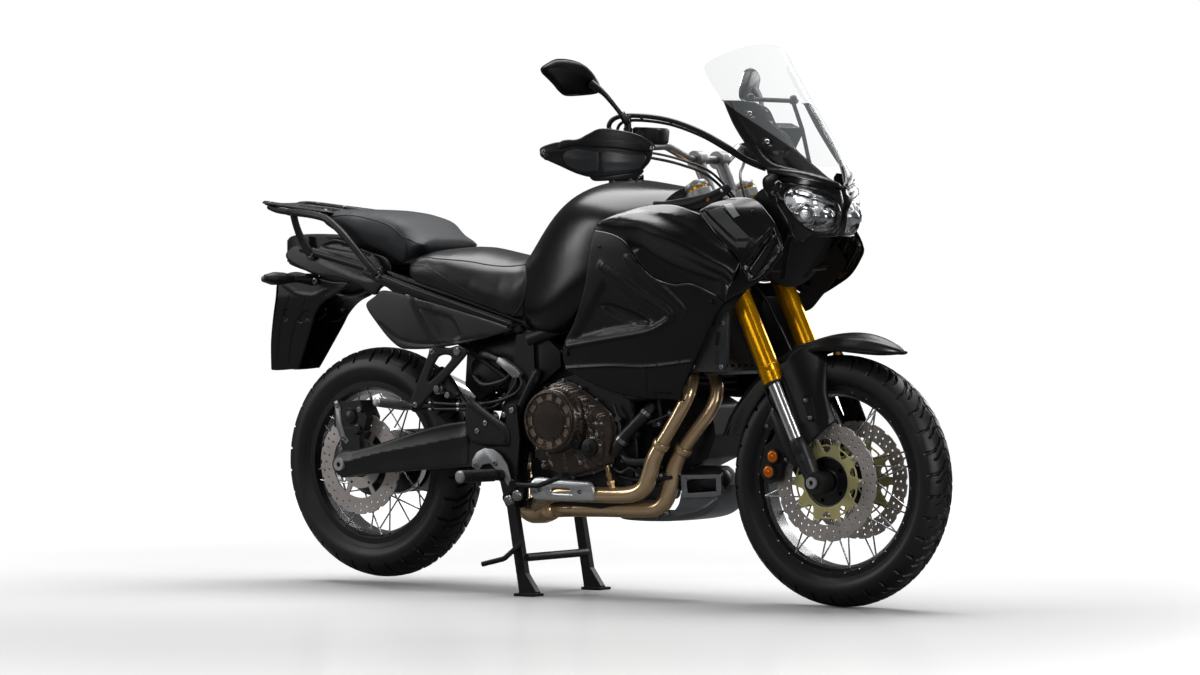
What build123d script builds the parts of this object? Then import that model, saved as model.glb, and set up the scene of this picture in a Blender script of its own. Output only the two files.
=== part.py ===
"""Adventure touring motorcycle, standing on its centre stand with the rear wheel just off the floor.

Millimetres. +X points forward, +Y to the rider's left, +Z up. The origin lies on the floor, under
the middle of the machine's length. Every sub-part is its own STEP file in parts/.
"""
from build123d import *
from math import atan, cos, radians, sin, tan
import os

os.makedirs("parts", exist_ok=True)

# ---------------------------------------------------------------- driving dimensions
LENGTH = 2255.0            # front of the front tyre to the end of the luggage rack
WHEELBASE = 1540.0
REAR_LIFT = 20.0           # rear tyre's height off the floor on the centre stand
RAKE = 26.0                # steering axis from the vertical, as parked
AXLE_TO_STEER = 50.0       # axle ahead of the steering axis, square to it
AXLE_TO_FORK = 12.0        # axle ahead of the fork legs' line, square to it
FORK_SPREAD = 216.0        # between the centres of the two fork legs

FRONT_TYRE_R, FRONT_TYRE_W = 329.0, 110.0
REAR_TYRE_R, REAR_TYRE_W = 321.0, 150.0
FRONT_RIM_R, REAR_RIM_R = 254.0, 228.0       # outside of the rim flanges
FRONT_RIM_W, REAR_RIM_W = 80.0, 116.0        # over the flanges
RIM_WALL = 5.0
BEAD_DEPTH = 11.0          # bead seat below the flange's edge
SPOKE_R = 2.3

FRONT_DISC_R, FRONT_DISC_Y = 155.0, 71.5
REAR_DISC_R, REAR_DISC_Y = 142.0, 109.0
DISC_THICK = 5.0

AXLE_R = 10.0
SHAFT_PLAY = 0.3           # radial, between an axle and its hub
AXLE_BORE = 7.0            # both axles are tubes
BEND_SHARE = 0.45          # of the shorter run beside it that a hose's bend takes up

# ---------------------------------------------------------------- places worked out from them
FRONT_AXLE = Vector(LENGTH / 2 - FRONT_TYRE_R, 0, FRONT_TYRE_R)
REAR_AXLE = Vector(FRONT_AXLE.X - WHEELBASE, 0, REAR_TYRE_R + REAR_LIFT)
STEER_UP = Vector(-sin(radians(RAKE)), 0, cos(radians(RAKE)))
STEER_FORWARD = Vector(cos(radians(RAKE)), 0, sin(radians(RAKE)))
STEER_FOOT = FRONT_AXLE - STEER_FORWARD * AXLE_TO_STEER
FORK_FOOT = FRONT_AXLE - STEER_FORWARD * AXLE_TO_FORK
SIDES = (-1, 1)            # right, left
Y_AXIS = Vector(0, 1, 0)


def save(piece, name):
    """Labels a finished piece and writes it."""
    piece.label = name
    export_step(piece, f"parts/{name}.step")


def wheel_plane(axle):
    """Half-plane that a wheel's profile is drawn on: x across the machine, y outwards from the axle."""
    return Plane(origin=axle, x_dir=(0, 1, 0), z_dir=(1, 0, 0))


def side_plane(y, at=Vector(0, 0, 0)):
    """Plane seen from the machine's right side, x forward and y up, at a distance y across."""
    return Plane(origin=(at.X, y, at.Z), x_dir=(1, 0, 0), z_dir=(0, -1, 0))


def fork_point(t, y=0.0, ahead=0.0):
    """Point t up the fork legs' line from the axle's height, y across, and ahead of that line."""
    return FORK_FOOT + STEER_UP * t + STEER_FORWARD * ahead + Y_AXIS * y


def steer_point(t, y=0.0, ahead=0.0):
    """Point t up the steering axis from the axle's height, y across, and ahead of the axis."""
    return STEER_FOOT + STEER_UP * t + STEER_FORWARD * ahead + Y_AXIS * y


def bar(points, radius, bend=0.0, bore=0.0):
    """Round bar along a bent line, or a pipe where there's a bore."""
    with BuildPart() as p:
        with BuildLine() as run:
            if len(points) > 2:
                FilletPolyline(*points, radius=bend)
            else:
                Line(*points)
        with BuildSketch(Plane(origin=run.line @ 0, z_dir=run.line % 0)):
            Circle(radius)
            if bore:
                Circle(bore, mode=Mode.SUBTRACT)
        sweep()
    return p.part


def hose(points, radius):
    """Hose or cable held along its route, each bend as large as the two runs beside it allow."""
    runs = [Vector(*b) - Vector(*a) for a, b in zip(points, points[1:])]
    bends = [BEND_SHARE * min(a.length, b.length) / tan(radians(a.get_angle(b)) / 2)
             for a, b in zip(runs, runs[1:])]
    return bar(points, radius, bends)


def rod(start, end, radius, end_radius=None):
    """Straight round rod or cone between two points."""
    start, end = Vector(*start), Vector(*end)
    with BuildPart() as p:
        with Locations(Location(Plane(origin=start, z_dir=end - start))):
            if end_radius:
                Cone(radius, end_radius, (end - start).length, align=(Align.CENTER, Align.CENTER, Align.MIN))
            else:
                Cylinder(radius, (end - start).length, align=(Align.CENTER, Align.CENTER, Align.MIN))
    return p.part


def cross_rod(x, z, y_from, y_to, radius):
    """Round rod lying across the machine."""
    return rod((x, y_from, z), (x, y_to, z), radius)


def plate(outline, y_from, y_to, corner=0.0):
    """Plate with a side-view outline of (x, z) points, from one distance across to another."""
    low, high = min(y_from, y_to), max(y_from, y_to)
    with BuildPart() as p:
        with BuildSketch(side_plane(high)):
            with BuildLine():
                if corner:
                    FilletPolyline(*outline, radius=corner, close=True)
                else:
                    Polyline(*outline, close=True)
            make_face()
        extrude(amount=high - low)
    return p.part


def block(x, y, z):
    """Box between two x, two y and two z values."""
    with BuildPart() as p:
        with Locations(((x[0] + x[1]) / 2, (y[0] + y[1]) / 2, (z[0] + z[1]) / 2)):
            Box(abs(x[1] - x[0]), abs(y[1] - y[0]), abs(z[1] - z[0]))
    return p.part


def sections_x(stations):
    """Smooth body through symmetrical cross sections: (x, [(y, z) up the left side, the last on the middle])."""
    with BuildPart() as p:
        for x, half in stations:
            with BuildSketch(Plane(origin=(x, 0, 0), x_dir=(0, 1, 0), z_dir=(1, 0, 0))):
                with BuildLine():
                    Spline(*[(-y, z) for y, z in half], *[(y, z) for y, z in reversed(half[:-1])])
                    Line(half[0], (-half[0][0], half[0][1]))
                make_face()
        loft()
    return p.part


def spring(start, end, radius, wire, turns):
    """Coil spring between two points."""
    start, end = Vector(*start), Vector(*end)
    length = (end - start).length
    with BuildPart() as p:
        with BuildLine() as coil:
            Helix(pitch=length / turns, height=length, radius=radius)
        with BuildSketch(Plane(origin=coil.line @ 0, z_dir=coil.line % 0)):
            Circle(wire)
        sweep(is_frenet=True)
    return p.part.moved(Location(Plane(origin=start, z_dir=end - start)))


# ================================================================ wheels
def tyre(axle, radius, width, rim_radius, rim_width):
    """Hollow tyre: a round crown, bulging side walls and two beads that sit on the rim."""
    bead_r = rim_radius - BEAD_DEPTH
    shoulder_y, shoulder_r = 0.46 * width, radius - 0.28 * width
    belly_y, belly_r = 0.5 * width, radius - 0.46 * width
    bead_out = rim_width / 2 - RIM_WALL
    bead_in = bead_out - 12.0
    wall = 9.0
    half = [(0.27 * width, radius - 0.085 * width), (shoulder_y, shoulder_r), (belly_y, belly_r),
            (belly_y - 3, (belly_r + rim_radius) / 2), (bead_out, rim_radius + 1)]
    inner = [(bead_in, rim_radius + 3), (belly_y - wall - 4, (belly_r + rim_radius) / 2),
             (belly_y - wall, belly_r), (0.27 * width, radius - 0.085 * width - wall - 2)]
    with BuildPart() as p:
        with BuildSketch(wheel_plane(axle)):
            with BuildLine():
                Spline(*[(-y, r) for y, r in reversed(half)], (0, radius), *half)
                Polyline(half[-1], (bead_out, bead_r), (bead_in, bead_r), inner[0])
                Spline(*inner, (0, radius - wall - 3), *[(-y, r) for y, r in reversed(inner)])
                Polyline((-bead_in, rim_radius + 3), (-bead_in, bead_r), (-bead_out, bead_r),
                         (-bead_out, rim_radius + 1))
            make_face()
        revolve(axis=Axis(axle, (0, 1, 0)))
    return p.part


def rim_and_hub(axle, rim_radius, rim_width, hub_profile, flanges, spoke_count, spoke_r, skew):
    """Spoked wheel less its tyre: rolled rim, turned hub, and crossed spokes laced to the rim's edges."""
    bead_r = rim_radius - BEAD_DEPTH
    half = rim_width / 2
    well_half = 0.42 * half
    well_r = bead_r - 17.0
    with BuildPart() as p:
        with BuildSketch(wheel_plane(axle)):
            with BuildLine():
                Polyline((-half, rim_radius), (-half, bead_r - 7), (-well_half - 5, well_r - RIM_WALL),
                         (well_half + 5, well_r - RIM_WALL), (half, bead_r - 7), (half, rim_radius),
                         (half - RIM_WALL, rim_radius), (half - RIM_WALL, bead_r), (well_half + 8, bead_r),
                         (well_half, well_r), (-well_half, well_r), (-well_half - 8, bead_r),
                         (-half + RIM_WALL, bead_r), (-half + RIM_WALL, rim_radius), close=True)
            make_face()
        revolve(axis=Axis(axle, (0, 1, 0)))
        with BuildSketch(wheel_plane(axle)):
            with BuildLine():
                Polyline(*hub_profile, close=True)
            make_face()
        revolve(axis=Axis(axle, (0, 1, 0)))
        step = 360 / spoke_count
        spokes = []
        for i in range(spoke_count):
            side = SIDES[i % 2]
            lean = skew if (i // 2) % 2 else -skew
            a_hub = radians(i * step)
            a_rim = a_hub + radians(lean)
            hub_y, hub_r = flanges[0] * side, flanges[1] - 5
            rim_y, rim_r = (half - 9) * side, bead_r - 9
            start = axle + Vector(hub_r * cos(a_hub), hub_y, hub_r * sin(a_hub))
            end = axle + Vector(rim_r * cos(a_rim), rim_y, rim_r * sin(a_rim))
            spokes.append(rod(start, end, spoke_r))
        add(spokes)
    return p.part


FRONT_HUB_HALF = 52.0
FRONT_HUB = [(-FRONT_HUB_HALF, AXLE_R + SHAFT_PLAY), (FRONT_HUB_HALF, AXLE_R + SHAFT_PLAY),
             (FRONT_HUB_HALF, 30), (69, 30), (69, 68), (63, 68), (55, 58), (48, 58), (46, 64), (38, 64),
             (34, 30), (-34, 30), (-38, 64), (-46, 64), (-48, 58), (-55, 58), (-63, 68), (-69, 68),
             (-69, 30), (-FRONT_HUB_HALF, 30)]
save(tyre(FRONT_AXLE, FRONT_TYRE_R, FRONT_TYRE_W, FRONT_RIM_R, FRONT_RIM_W), "front_tyre")
save(rim_and_hub(FRONT_AXLE, FRONT_RIM_R, FRONT_RIM_W, FRONT_HUB, (42, 64), 32, SPOKE_R, 34), "front_rim")

REAR_HUB_HALF = 60.0
REAR_HUB = [(-REAR_HUB_HALF, AXLE_R + SHAFT_PLAY), (REAR_HUB_HALF, AXLE_R + SHAFT_PLAY),
            (REAR_HUB_HALF, 32), (84, 32), (88, 78), (76, 88), (58, 92), (50, 92), (42, 40), (-38, 40),
            (-50, 92), (-58, 92), (-74, 82), (-106.5, 70), (-106.5, 34), (-REAR_HUB_HALF, 32)]
save(tyre(REAR_AXLE, REAR_TYRE_R, REAR_TYRE_W, REAR_RIM_R, REAR_RIM_W), "rear_tyre")
save(rim_and_hub(REAR_AXLE, REAR_RIM_R, REAR_RIM_W, REAR_HUB, (54, 92), 32, SPOKE_R, 30), "rear_rim")

REAR_FLANGE_Y = REAR_DISC_Y - DISC_THICK / 2
FRONT_FLANGE_Y = FRONT_DISC_Y - DISC_THICK / 2
FRONT_DISC_INNER, REAR_DISC_INNER = 112.0, 96.0


def wave_disc(axle, radius, y, inner, lobes, rows):
    """Wave-edged brake disc with scallops round both edges and rows of drilled holes."""
    with BuildPart() as p:
        with BuildSketch(side_plane(y + DISC_THICK / 2, axle)):
            Circle(radius)
            with PolarLocations(radius + 6, lobes):
                Circle(10, mode=Mode.SUBTRACT)
            Circle(inner, mode=Mode.SUBTRACT)
            for ring, turn in rows:
                with PolarLocations(ring, lobes, start_angle=turn * 360 / lobes):
                    Circle(3.2, mode=Mode.SUBTRACT)
        extrude(amount=DISC_THICK)
    return p.part


def disc_carrier(axle, y, hub_r, inner, outer, arms, thick):
    """Spider that carries a disc: a bolted ring on the hub, with arms out to the disc's inner edge."""
    with BuildPart() as p:
        with BuildSketch(side_plane(y + thick / 2, axle)):
            Circle(hub_r)
            with PolarLocations((hub_r + outer) / 2, arms):
                Rectangle(outer - hub_r + 8, 13)
            with BuildSketch(mode=Mode.INTERSECT):
                Circle(outer)
            Circle(inner, mode=Mode.SUBTRACT)
            with PolarLocations(hub_r - 9, 6):
                Circle(4, mode=Mode.SUBTRACT)
        extrude(amount=thick)
    return p.part


FRONT_ROWS = ((FRONT_DISC_R - 11, 0.5), (FRONT_DISC_R - 19, 0.0), (FRONT_DISC_R - 28, 0.5), (119, 0.0))
with BuildPart() as front_discs:
    add([wave_disc(FRONT_AXLE, FRONT_DISC_R, s * FRONT_DISC_Y, FRONT_DISC_INNER, 20, FRONT_ROWS)
         for s in SIDES])
save(front_discs.part, "front_discs")
with BuildPart() as front_carriers:
    add([disc_carrier(FRONT_AXLE, s * FRONT_DISC_Y, 66, 42, FRONT_DISC_INNER, 10, DISC_THICK) for s in SIDES])
save(front_carriers.part, "front_carriers")
REAR_ROWS = ((REAR_DISC_R - 11, 0.5), (REAR_DISC_R - 20, 0.0), (REAR_DISC_R - 29, 0.5))
with BuildPart() as rear_disc:
    add(wave_disc(REAR_AXLE, REAR_DISC_R, -REAR_DISC_Y, REAR_DISC_INNER, 18, REAR_ROWS))
    add(disc_carrier(REAR_AXLE, -REAR_DISC_Y, 70, 40, REAR_DISC_INNER + 2, 6, DISC_THICK))
save(rear_disc.part, "rear_disc")

# ================================================================ front end
LEG_TOP, GOLD_FOOT, CHROME_FOOT = 862.0, 306.0, 125.0     # up the fork legs' line
GOLD_R, CHROME_R, LUG_R = 28.0, 21.5, 26.0
LOWER_YOKE, UPPER_YOKE = (612.0, 648.0), (822.0, 846.0)   # along the steering axis
STEM_R = 15.0
LEG_Y = FORK_SPREAD / 2
LEG_AHEAD = AXLE_TO_STEER - AXLE_TO_FORK

with BuildPart() as fork_tubes:
    for s in SIDES:
        add([rod(fork_point(GOLD_FOOT, s * LEG_Y), fork_point(LEG_TOP, s * LEG_Y), GOLD_R),
             rod(fork_point(GOLD_FOOT - 14, s * LEG_Y), fork_point(GOLD_FOOT + 26, s * LEG_Y), GOLD_R + 2),
             rod(fork_point(LEG_TOP, s * LEG_Y), fork_point(LEG_TOP + 9, s * LEG_Y), 21),
             rod(fork_point(LEG_TOP + 9, s * LEG_Y), fork_point(LEG_TOP + 16, s * LEG_Y), 9)])
        add(rod(fork_point(GOLD_FOOT - 15, s * LEG_Y), fork_point(GOLD_FOOT + 8, s * LEG_Y), CHROME_R),
            mode=Mode.SUBTRACT)
save(fork_tubes.part, "fork_tubes")

with BuildPart() as front_axle:
    add([cross_rod(FRONT_AXLE.X, FRONT_AXLE.Z, -138, 132, AXLE_R),
         cross_rod(FRONT_AXLE.X, FRONT_AXLE.Z, -146, -138, 15)])
    for s in SIDES:
        add(cross_rod(FRONT_AXLE.X, FRONT_AXLE.Z, s * (FRONT_HUB_HALF + 2), s * 81, 16))
    add(cross_rod(FRONT_AXLE.X, FRONT_AXLE.Z, -150, 140, AXLE_BORE), mode=Mode.SUBTRACT)
save(front_axle.part, "front_axle")

with BuildPart() as fork_legs:
    for s in SIDES:
        add([rod(fork_point(CHROME_FOOT - 30, s * LEG_Y), fork_point(GOLD_FOOT + 8, s * LEG_Y), CHROME_R),
             rod(fork_point(CHROME_FOOT - 60, s * LEG_Y), fork_point(CHROME_FOOT, s * LEG_Y), LUG_R),
             rod(fork_point(-12, s * LEG_Y), fork_point(CHROME_FOOT - 50, s * LEG_Y), 20, LUG_R),
             cross_rod(FRONT_AXLE.X, FRONT_AXLE.Z, s * 81, s * 134, 29)])
    add(cross_rod(FRONT_AXLE.X, FRONT_AXLE.Z, -140, 140, AXLE_R), mode=Mode.SUBTRACT)
save(fork_legs.part, "fork_legs")


def yoke(low, high, leg_r, centre_r):
    """Clamp plate across the two legs, square to the steering axis."""
    with BuildPart() as p:
        with BuildSketch(Plane(origin=steer_point(low), x_dir=STEER_FORWARD, z_dir=STEER_UP)):
            with BuildLine():
                Polyline((-centre_r, -40), (-centre_r, 40), (LEG_AHEAD - 25, LEG_Y + 12),
                         (LEG_AHEAD + 20, LEG_Y), (LEG_AHEAD + 12, 40), (LEG_AHEAD + 12, -40),
                         (LEG_AHEAD + 20, -LEG_Y), (LEG_AHEAD - 25, -LEG_Y - 12), close=True)
            make_face()
            with Locations((LEG_AHEAD, LEG_Y), (LEG_AHEAD, -LEG_Y)):
                Circle(leg_r)
            Circle(STEM_R, mode=Mode.SUBTRACT)
            with Locations((LEG_AHEAD, LEG_Y), (LEG_AHEAD, -LEG_Y)):
                Circle(GOLD_R, mode=Mode.SUBTRACT)
        extrude(amount=high - low)
    return p.part


BAR_T, BAR_AHEAD = 943.0, 35.0
BAR_R = 11.0
with BuildPart() as yokes:
    add([yoke(*LOWER_YOKE, 36, 30), yoke(*UPPER_YOKE, 36, 32)])
    add([rod(steer_point(LOWER_YOKE[0] - 6), steer_point(UPPER_YOKE[1]), STEM_R),
         rod(steer_point(UPPER_YOKE[1]), steer_point(UPPER_YOKE[1] + 12), 21)])
    for s in SIDES:
        add([rod(steer_point(UPPER_YOKE[1], s * 50, BAR_AHEAD), steer_point(BAR_T, s * 50, BAR_AHEAD), 17),
             rod(steer_point(BAR_T, s * 34, BAR_AHEAD), steer_point(BAR_T, s * 66, BAR_AHEAD), 24)])
    add(rod(steer_point(BAR_T, -70, BAR_AHEAD), steer_point(BAR_T, 70, BAR_AHEAD), BAR_R), mode=Mode.SUBTRACT)
save(yokes.part, "yokes")

bar_mid = steer_point(BAR_T, 0, BAR_AHEAD)
BAR_KNEE, BAR_ELBOW, BAR_END = (352.0, 165.0, 1206.0), (300.0, 262.0, 1200.0), (205.0, 470.0, 1180.0)
bar_line = [(BAR_END[0], -BAR_END[1], BAR_END[2]), (BAR_ELBOW[0], -BAR_ELBOW[1], BAR_ELBOW[2]),
            (BAR_KNEE[0], -BAR_KNEE[1], BAR_KNEE[2]), (bar_mid.X, -85, bar_mid.Z), (bar_mid.X, 85, bar_mid.Z),
            BAR_KNEE, BAR_ELBOW, BAR_END]
with BuildPart() as handlebar:
    add(bar(bar_line, BAR_R, 30))
save(handlebar.part, "handlebar")


def along_grip(k):
    """Point k along the straight end of the right handlebar, 0 at the elbow and 1 at the tip."""
    return Vector(BAR_ELBOW[0] + k * (BAR_END[0] - BAR_ELBOW[0]), -BAR_ELBOW[1] - k * (BAR_END[1] - BAR_ELBOW[1]),
                  BAR_ELBOW[2] + k * (BAR_END[2] - BAR_ELBOW[2]))


def both_sides(right_piece):
    """A right-hand piece and its mirror image."""
    return [right_piece, right_piece.mirror(Plane.XZ)]


LEVER_REACH, LEVER_R = 55.0, 5.5       # lever ahead of the grip's centre
grip_right = rod(along_grip(0.36), along_grip(0.86), 16.5)
with BuildPart() as grips:
    add(both_sides(grip_right))
    add(both_sides(rod(along_grip(0.30), along_grip(0.36), 21)))
    add(both_sides(rod(along_grip(0.87), along_grip(1.03), 17)))
    add(handlebar.part, mode=Mode.SUBTRACT)
save(grips.part, "grips")

with BuildPart() as controls:
    pod = rod(along_grip(0.10), along_grip(0.29), 24)
    perch = rod(along_grip(-0.02), along_grip(0.08), 20)
    add(both_sides(pod))
    add(both_sides(perch))
    lever_root = along_grip(0.06) + Vector(36, 4, 0)
    add(both_sides(rod(along_grip(0.03) + Vector(12, 0, 0), lever_root + Vector(6, 0, 0), 11)))
    add(both_sides(bar([lever_root, along_grip(0.3) + Vector(LEVER_REACH + 8, 0, -4),
                        along_grip(0.85) + Vector(LEVER_REACH, 0, -6)], LEVER_R, 40)))
    cup = block((345, 385), (-272, -226), (1214, 1246))
    add(both_sides(cup))
    add(both_sides(rod((345, -246, 1216), (318, -262, 1208), 8)))
    add(handlebar.part, mode=Mode.SUBTRACT)
save(controls.part, "controls")

GUARD_WALL = 4.0
GUARD_CENTRE, GUARD_RADIUS = (185.0, -275.0), 217.0     # plan of the hand guard's bend, right side


def guard_shell():
    """Right hand guard: a wall bent round the front of the grip, taller in the middle."""
    with BuildPart() as p:
        with BuildSketch(Plane(origin=(*GUARD_CENTRE, 1105))):
            Circle(GUARD_RADIUS)
            Circle(GUARD_RADIUS - GUARD_WALL, mode=Mode.SUBTRACT)
        extrude(amount=160)
        with BuildSketch(side_plane(-262)):
            with BuildLine():
                FilletPolyline((420, 1150), (420, 1204), (336, 1254), (250, 1240), (168, 1206), (168, 1170),
                               (240, 1116), (336, 1118), radius=12, close=True)
            make_face()
        extrude(amount=300, mode=Mode.INTERSECT)
    return p.part


with BuildPart() as hand_guards:
    add(both_sides(guard_shell()))
    add(both_sides(rod((196, -488, 1182), along_grip(1.03) + Vector(2, 0, 0), 9)))
    add(grips.part, mode=Mode.SUBTRACT)
save(hand_guards.part, "hand_guards")

MIRROR_C = Vector(222, -408, 1386)
MIRROR_DIR = Vector(-0.36, -0.93, 0.06)
with BuildPart() as mirrors:
    head_plane = Plane(origin=MIRROR_C - Vector(0.93, -0.36, 0) * 18, x_dir=MIRROR_DIR, z_dir=(0.93, -0.36, 0.05))
    with BuildSketch(head_plane):
        with BuildLine():
            FilletPolyline((-92, -34), (-72, 30), (0, 50), (84, 34), (96, 6), (52, -46), (-40, -50),
                           radius=16, close=True)
        make_face()
    extrude(amount=38, taper=18)
    add(rod(MIRROR_C + Vector(10, 60, -30), (322, -300, 1236), 7))
    add(rod((322, -300, 1236), (312, -288, 1222), 10))
    mirror(about=Plane.XZ)
save(mirrors.part, "mirrors")

# ---------------------------------------------------------------- front fender and brakes
FENDER_IN, FENDER_WALL, FENDER_HALF = FRONT_TYRE_R + 27, 4.0, 70.0


def fender_profile():
    """Arched section of the front fender: a flat crown with turned-down sides."""
    r, h, w = FENDER_IN, FENDER_HALF, FENDER_WALL
    with BuildPart() as p:
        with BuildSketch(wheel_plane(FRONT_AXLE)):
            with BuildLine():
                Polyline((-h, r - 34), (-h, r + 4), (-h + 22, r + 24), (0, r + 30), (h - 22, r + 24), (h, r + 4),
                         (h, r - 34), (h - w, r - 34), (h - w, r + 2), (h - 24, r + 20), (0, r + 26),
                         (-h + 24, r + 20), (-h + w, r + 2), (-h + w, r - 34), close=True)
            make_face()
        revolve(axis=Axis(FRONT_AXLE, (0, 1, 0)))
    return p.part


def leg_guard():
    """Right fork leg guard: a thin wall bent round the front of the bright tube, pointed at its foot."""
    with BuildPart() as p:
        with BuildSketch(Plane(origin=steer_point(GUARD_SPAN[0]), x_dir=STEER_FORWARD, z_dir=STEER_UP)):
            with BuildLine():
                Spline((LEG_AHEAD + 6, -LEG_Y - 31), (LEG_AHEAD + 40, -LEG_Y - 20), (LEG_AHEAD + 58, -LEG_Y + 14),
                       (LEG_AHEAD + 44, -LEG_Y + 28))
                Line((LEG_AHEAD + 44, -LEG_Y + 28), (LEG_AHEAD + 41, -LEG_Y + 28))
                Spline((LEG_AHEAD + 41, -LEG_Y + 28), (LEG_AHEAD + 54, -LEG_Y + 14), (LEG_AHEAD + 38, -LEG_Y - 17),
                       (LEG_AHEAD + 6, -LEG_Y - 28))
                Line((LEG_AHEAD + 6, -LEG_Y - 28), (LEG_AHEAD + 6, -LEG_Y - 31))
            make_face()
        extrude(amount=GUARD_SPAN[1] - GUARD_SPAN[0])
        add(plate([(640, 720), (700, 560), (762, 424), (790, 436), (800, 500), (792, 600), (770, 690),
                   (700, 740)], -160, -60), mode=Mode.INTERSECT)
    return p.part


GUARD_SPAN = (90.0, 420.0)             # leg guards, along the fork legs' line
with BuildPart() as front_fender:
    add(fender_profile())
    wedge = plate([(FRONT_AXLE.X - 20, FRONT_AXLE.Z + 60), (462, 430), (420, 560), (600, 800), (900, 800),
                   (1010, 690), (986, 640), (900, 560)], -90, 90)
    add(wedge, mode=Mode.INTERSECT)
    stay = plate([(700, 640), (640, 600), (690, 510), (760, 500), (792, 560), (792, 660)], -76, -69, 8)
    add(both_sides(stay))
    for s in SIDES:
        add(rod(fork_point(240, s * 72), fork_point(240, s * 88), 9))
    add(both_sides(leg_guard()))
    add(both_sides(cross_rod(755, 560, -92, -70, 8)))
    add([fork_legs.part, fork_tubes.part], mode=Mode.SUBTRACT)
save(front_fender.part, "front_fender")

CALIPER_R = FRONT_DISC_R + 4
with BuildPart() as front_calipers:
    for s in SIDES:
        body = plate([(676, 452), (622, 420), (606, 350), (628, 318), (664, 330), (676, 380), (700, 420)],
                     s * 50, s * 100, 8)
        add(body)
        add(cross_rod(651, 394, s * 60, s * 108, 18))
        add(cross_rod(638, 355, s * 60, s * 108, 18))
        add(plate([(660, 440), (700, 470), (735, 440), (760, 400), (742, 380), (700, 400)], s * 81, s * 96, 4))
        slot = cross_rod(FRONT_AXLE.X, FRONT_AXLE.Z, s * (FRONT_DISC_Y - 7), s * (FRONT_DISC_Y + 7), CALIPER_R)
        add(slot, mode=Mode.SUBTRACT)
    add(fork_legs.part, mode=Mode.SUBTRACT)
save(front_calipers.part, "front_calipers")

# ================================================================ frame, engine and swingarm
PIVOT = (-200.0, 400.0)                # swingarm pivot, x and z
HEAD_TUBE_R = 30.0
SPAR_R = 19.0
SEAT_RAIL_R = 12.0
STAND_PIVOT = (-182.0, 264.0)          # centre stand hinge, x and z
STAND_PIN_R = 9.0
PLATE_Y = (118.0, 130.0)               # pivot plates, across

head_low, head_high = steer_point(LOWER_YOKE[1] + 3), steer_point(UPPER_YOKE[0] - 3)
with BuildPart() as main_frame:
    add(rod(head_low, head_high, HEAD_TUBE_R))
    for s in SIDES:
        add(bar([steer_point(704, s * 22), (330, s * 62, 858), (90, s * 104, 760), (-136, s * 122, 690)],
                SPAR_R, 60))
        add(rod((318, s * 66, 850), (352, s * 92, 735), 13))
        add(plate([(-118, 705), (-176, 705), (-186, 600), (-236, 470), (-252, 380), (-232, 300), (-214, 236),
                   (-150, 236), (-150, 330), (-138, 420), (-112, 560)], s * PLATE_Y[0], s * PLATE_Y[1], 10))
    add([cross_rod(-150, 660, -118, 118, 14), cross_rod(-212, 300, -118, 118, 12),
         cross_rod(210, 801, -84, 84, 13)])
    add(rod(steer_point(600), steer_point(900), STEM_R + SHAFT_PLAY), mode=Mode.SUBTRACT)
    add([cross_rod(*PIVOT, -140, 140, 11), cross_rod(*STAND_PIVOT, -140, 140, STAND_PIN_R)], mode=Mode.SUBTRACT)
save(main_frame.part, "main_frame")

with BuildPart() as subframe:
    for s in SIDES:
        add(bar([(-130, s * 108, 726), (-400, s * 112, 806), (-660, s * 112, 872), (-960, s * 100, 938)],
                SEAT_RAIL_R, 60))
        add(bar([(-180, s * 108, 560), (-420, s * 110, 700), (-640, s * 112, 840)], 9, 60))
    add([cross_rod(-420, 811, -112, 112, 9), cross_rod(-940, 934, -100, 100, 9),
         cross_rod(-700, 881, -112, 112, 9)])
    add(main_frame.part, mode=Mode.SUBTRACT)
save(subframe.part, "subframe")

# ---------------------------------------------------------------- engine
with BuildPart() as engine:
    add(plate([(-138, 560), (-140, 330), (-96, 252), (96, 240), (196, 262), (214, 470), (200, 560), (60, 610)],
              -112, 112, 20))
    add(plate([(190, 290), (400, 380), (424, 440), (410, 520), (330, 560), (190, 560)], -44, 96, 16))
    add(plate([(-10, 590), (150, 520), (330, 545), (384, 640), (352, 742), (120, 690)], -112, 112, 16))
    for k in range(7):
        z = 575 + 16 * k
        add(block((80 + 4 * k, 378 - 2 * k), (-120, 120), (z, z + 6)))
    add(rod((300, -30, 330), (396, -30, 300), 36))
    add(main_frame.part, mode=Mode.SUBTRACT)
    add(cross_rod(*PIVOT, -112, 112, 48), mode=Mode.SUBTRACT)
save(engine.part, "engine")

CLUTCH = (-18.0, 473.0)
with BuildPart() as clutch_cover:
    with BuildSketch(side_plane(-112)):
        with BuildLine():
            FilletPolyline((-132, 520), (-112, 560), (-40, 590), (60, 572), (150, 500), (150, 440), (96, 350),
                           (40, 322), (-60, 330), (-130, 400), radius=18, close=True)
        make_face()
    extrude(amount=46, taper=8)
    add(cross_rod(*CLUTCH, -150, -192, 84))
    add(cross_rod(*CLUTCH, -185, -200, 64))
    add(cross_rod(96, 407, -150, -166, 26))
    with BuildSketch(side_plane(-185, Vector(CLUTCH[0], 0, CLUTCH[1]))):
        with PolarLocations(66, 12):
            SlotOverall(34, 11, rotation=90)
    extrude(amount=20, mode=Mode.SUBTRACT)
    with BuildSketch(side_plane(-100)):
        with Locations((-118, 535), (-50, 578), (60, 562), (138, 480), (80, 342), (-50, 340), (-122, 410)):
            Circle(7)
    extrude(amount=62)
    add([engine.part, main_frame.part], mode=Mode.SUBTRACT)
with BuildPart() as generator_cover:
    with BuildSketch(side_plane(160)):
        with BuildLine():
            FilletPolyline((-120, 520), (-60, 560), (60, 556), (150, 480), (140, 380), (60, 310), (-60, 310),
                           (-120, 380), radius=24, close=True)
        make_face()
    extrude(amount=48, taper=-8)
    add(cross_rod(20, 440, 150, 174, 78))
    add([engine.part, main_frame.part], mode=Mode.SUBTRACT)
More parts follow.
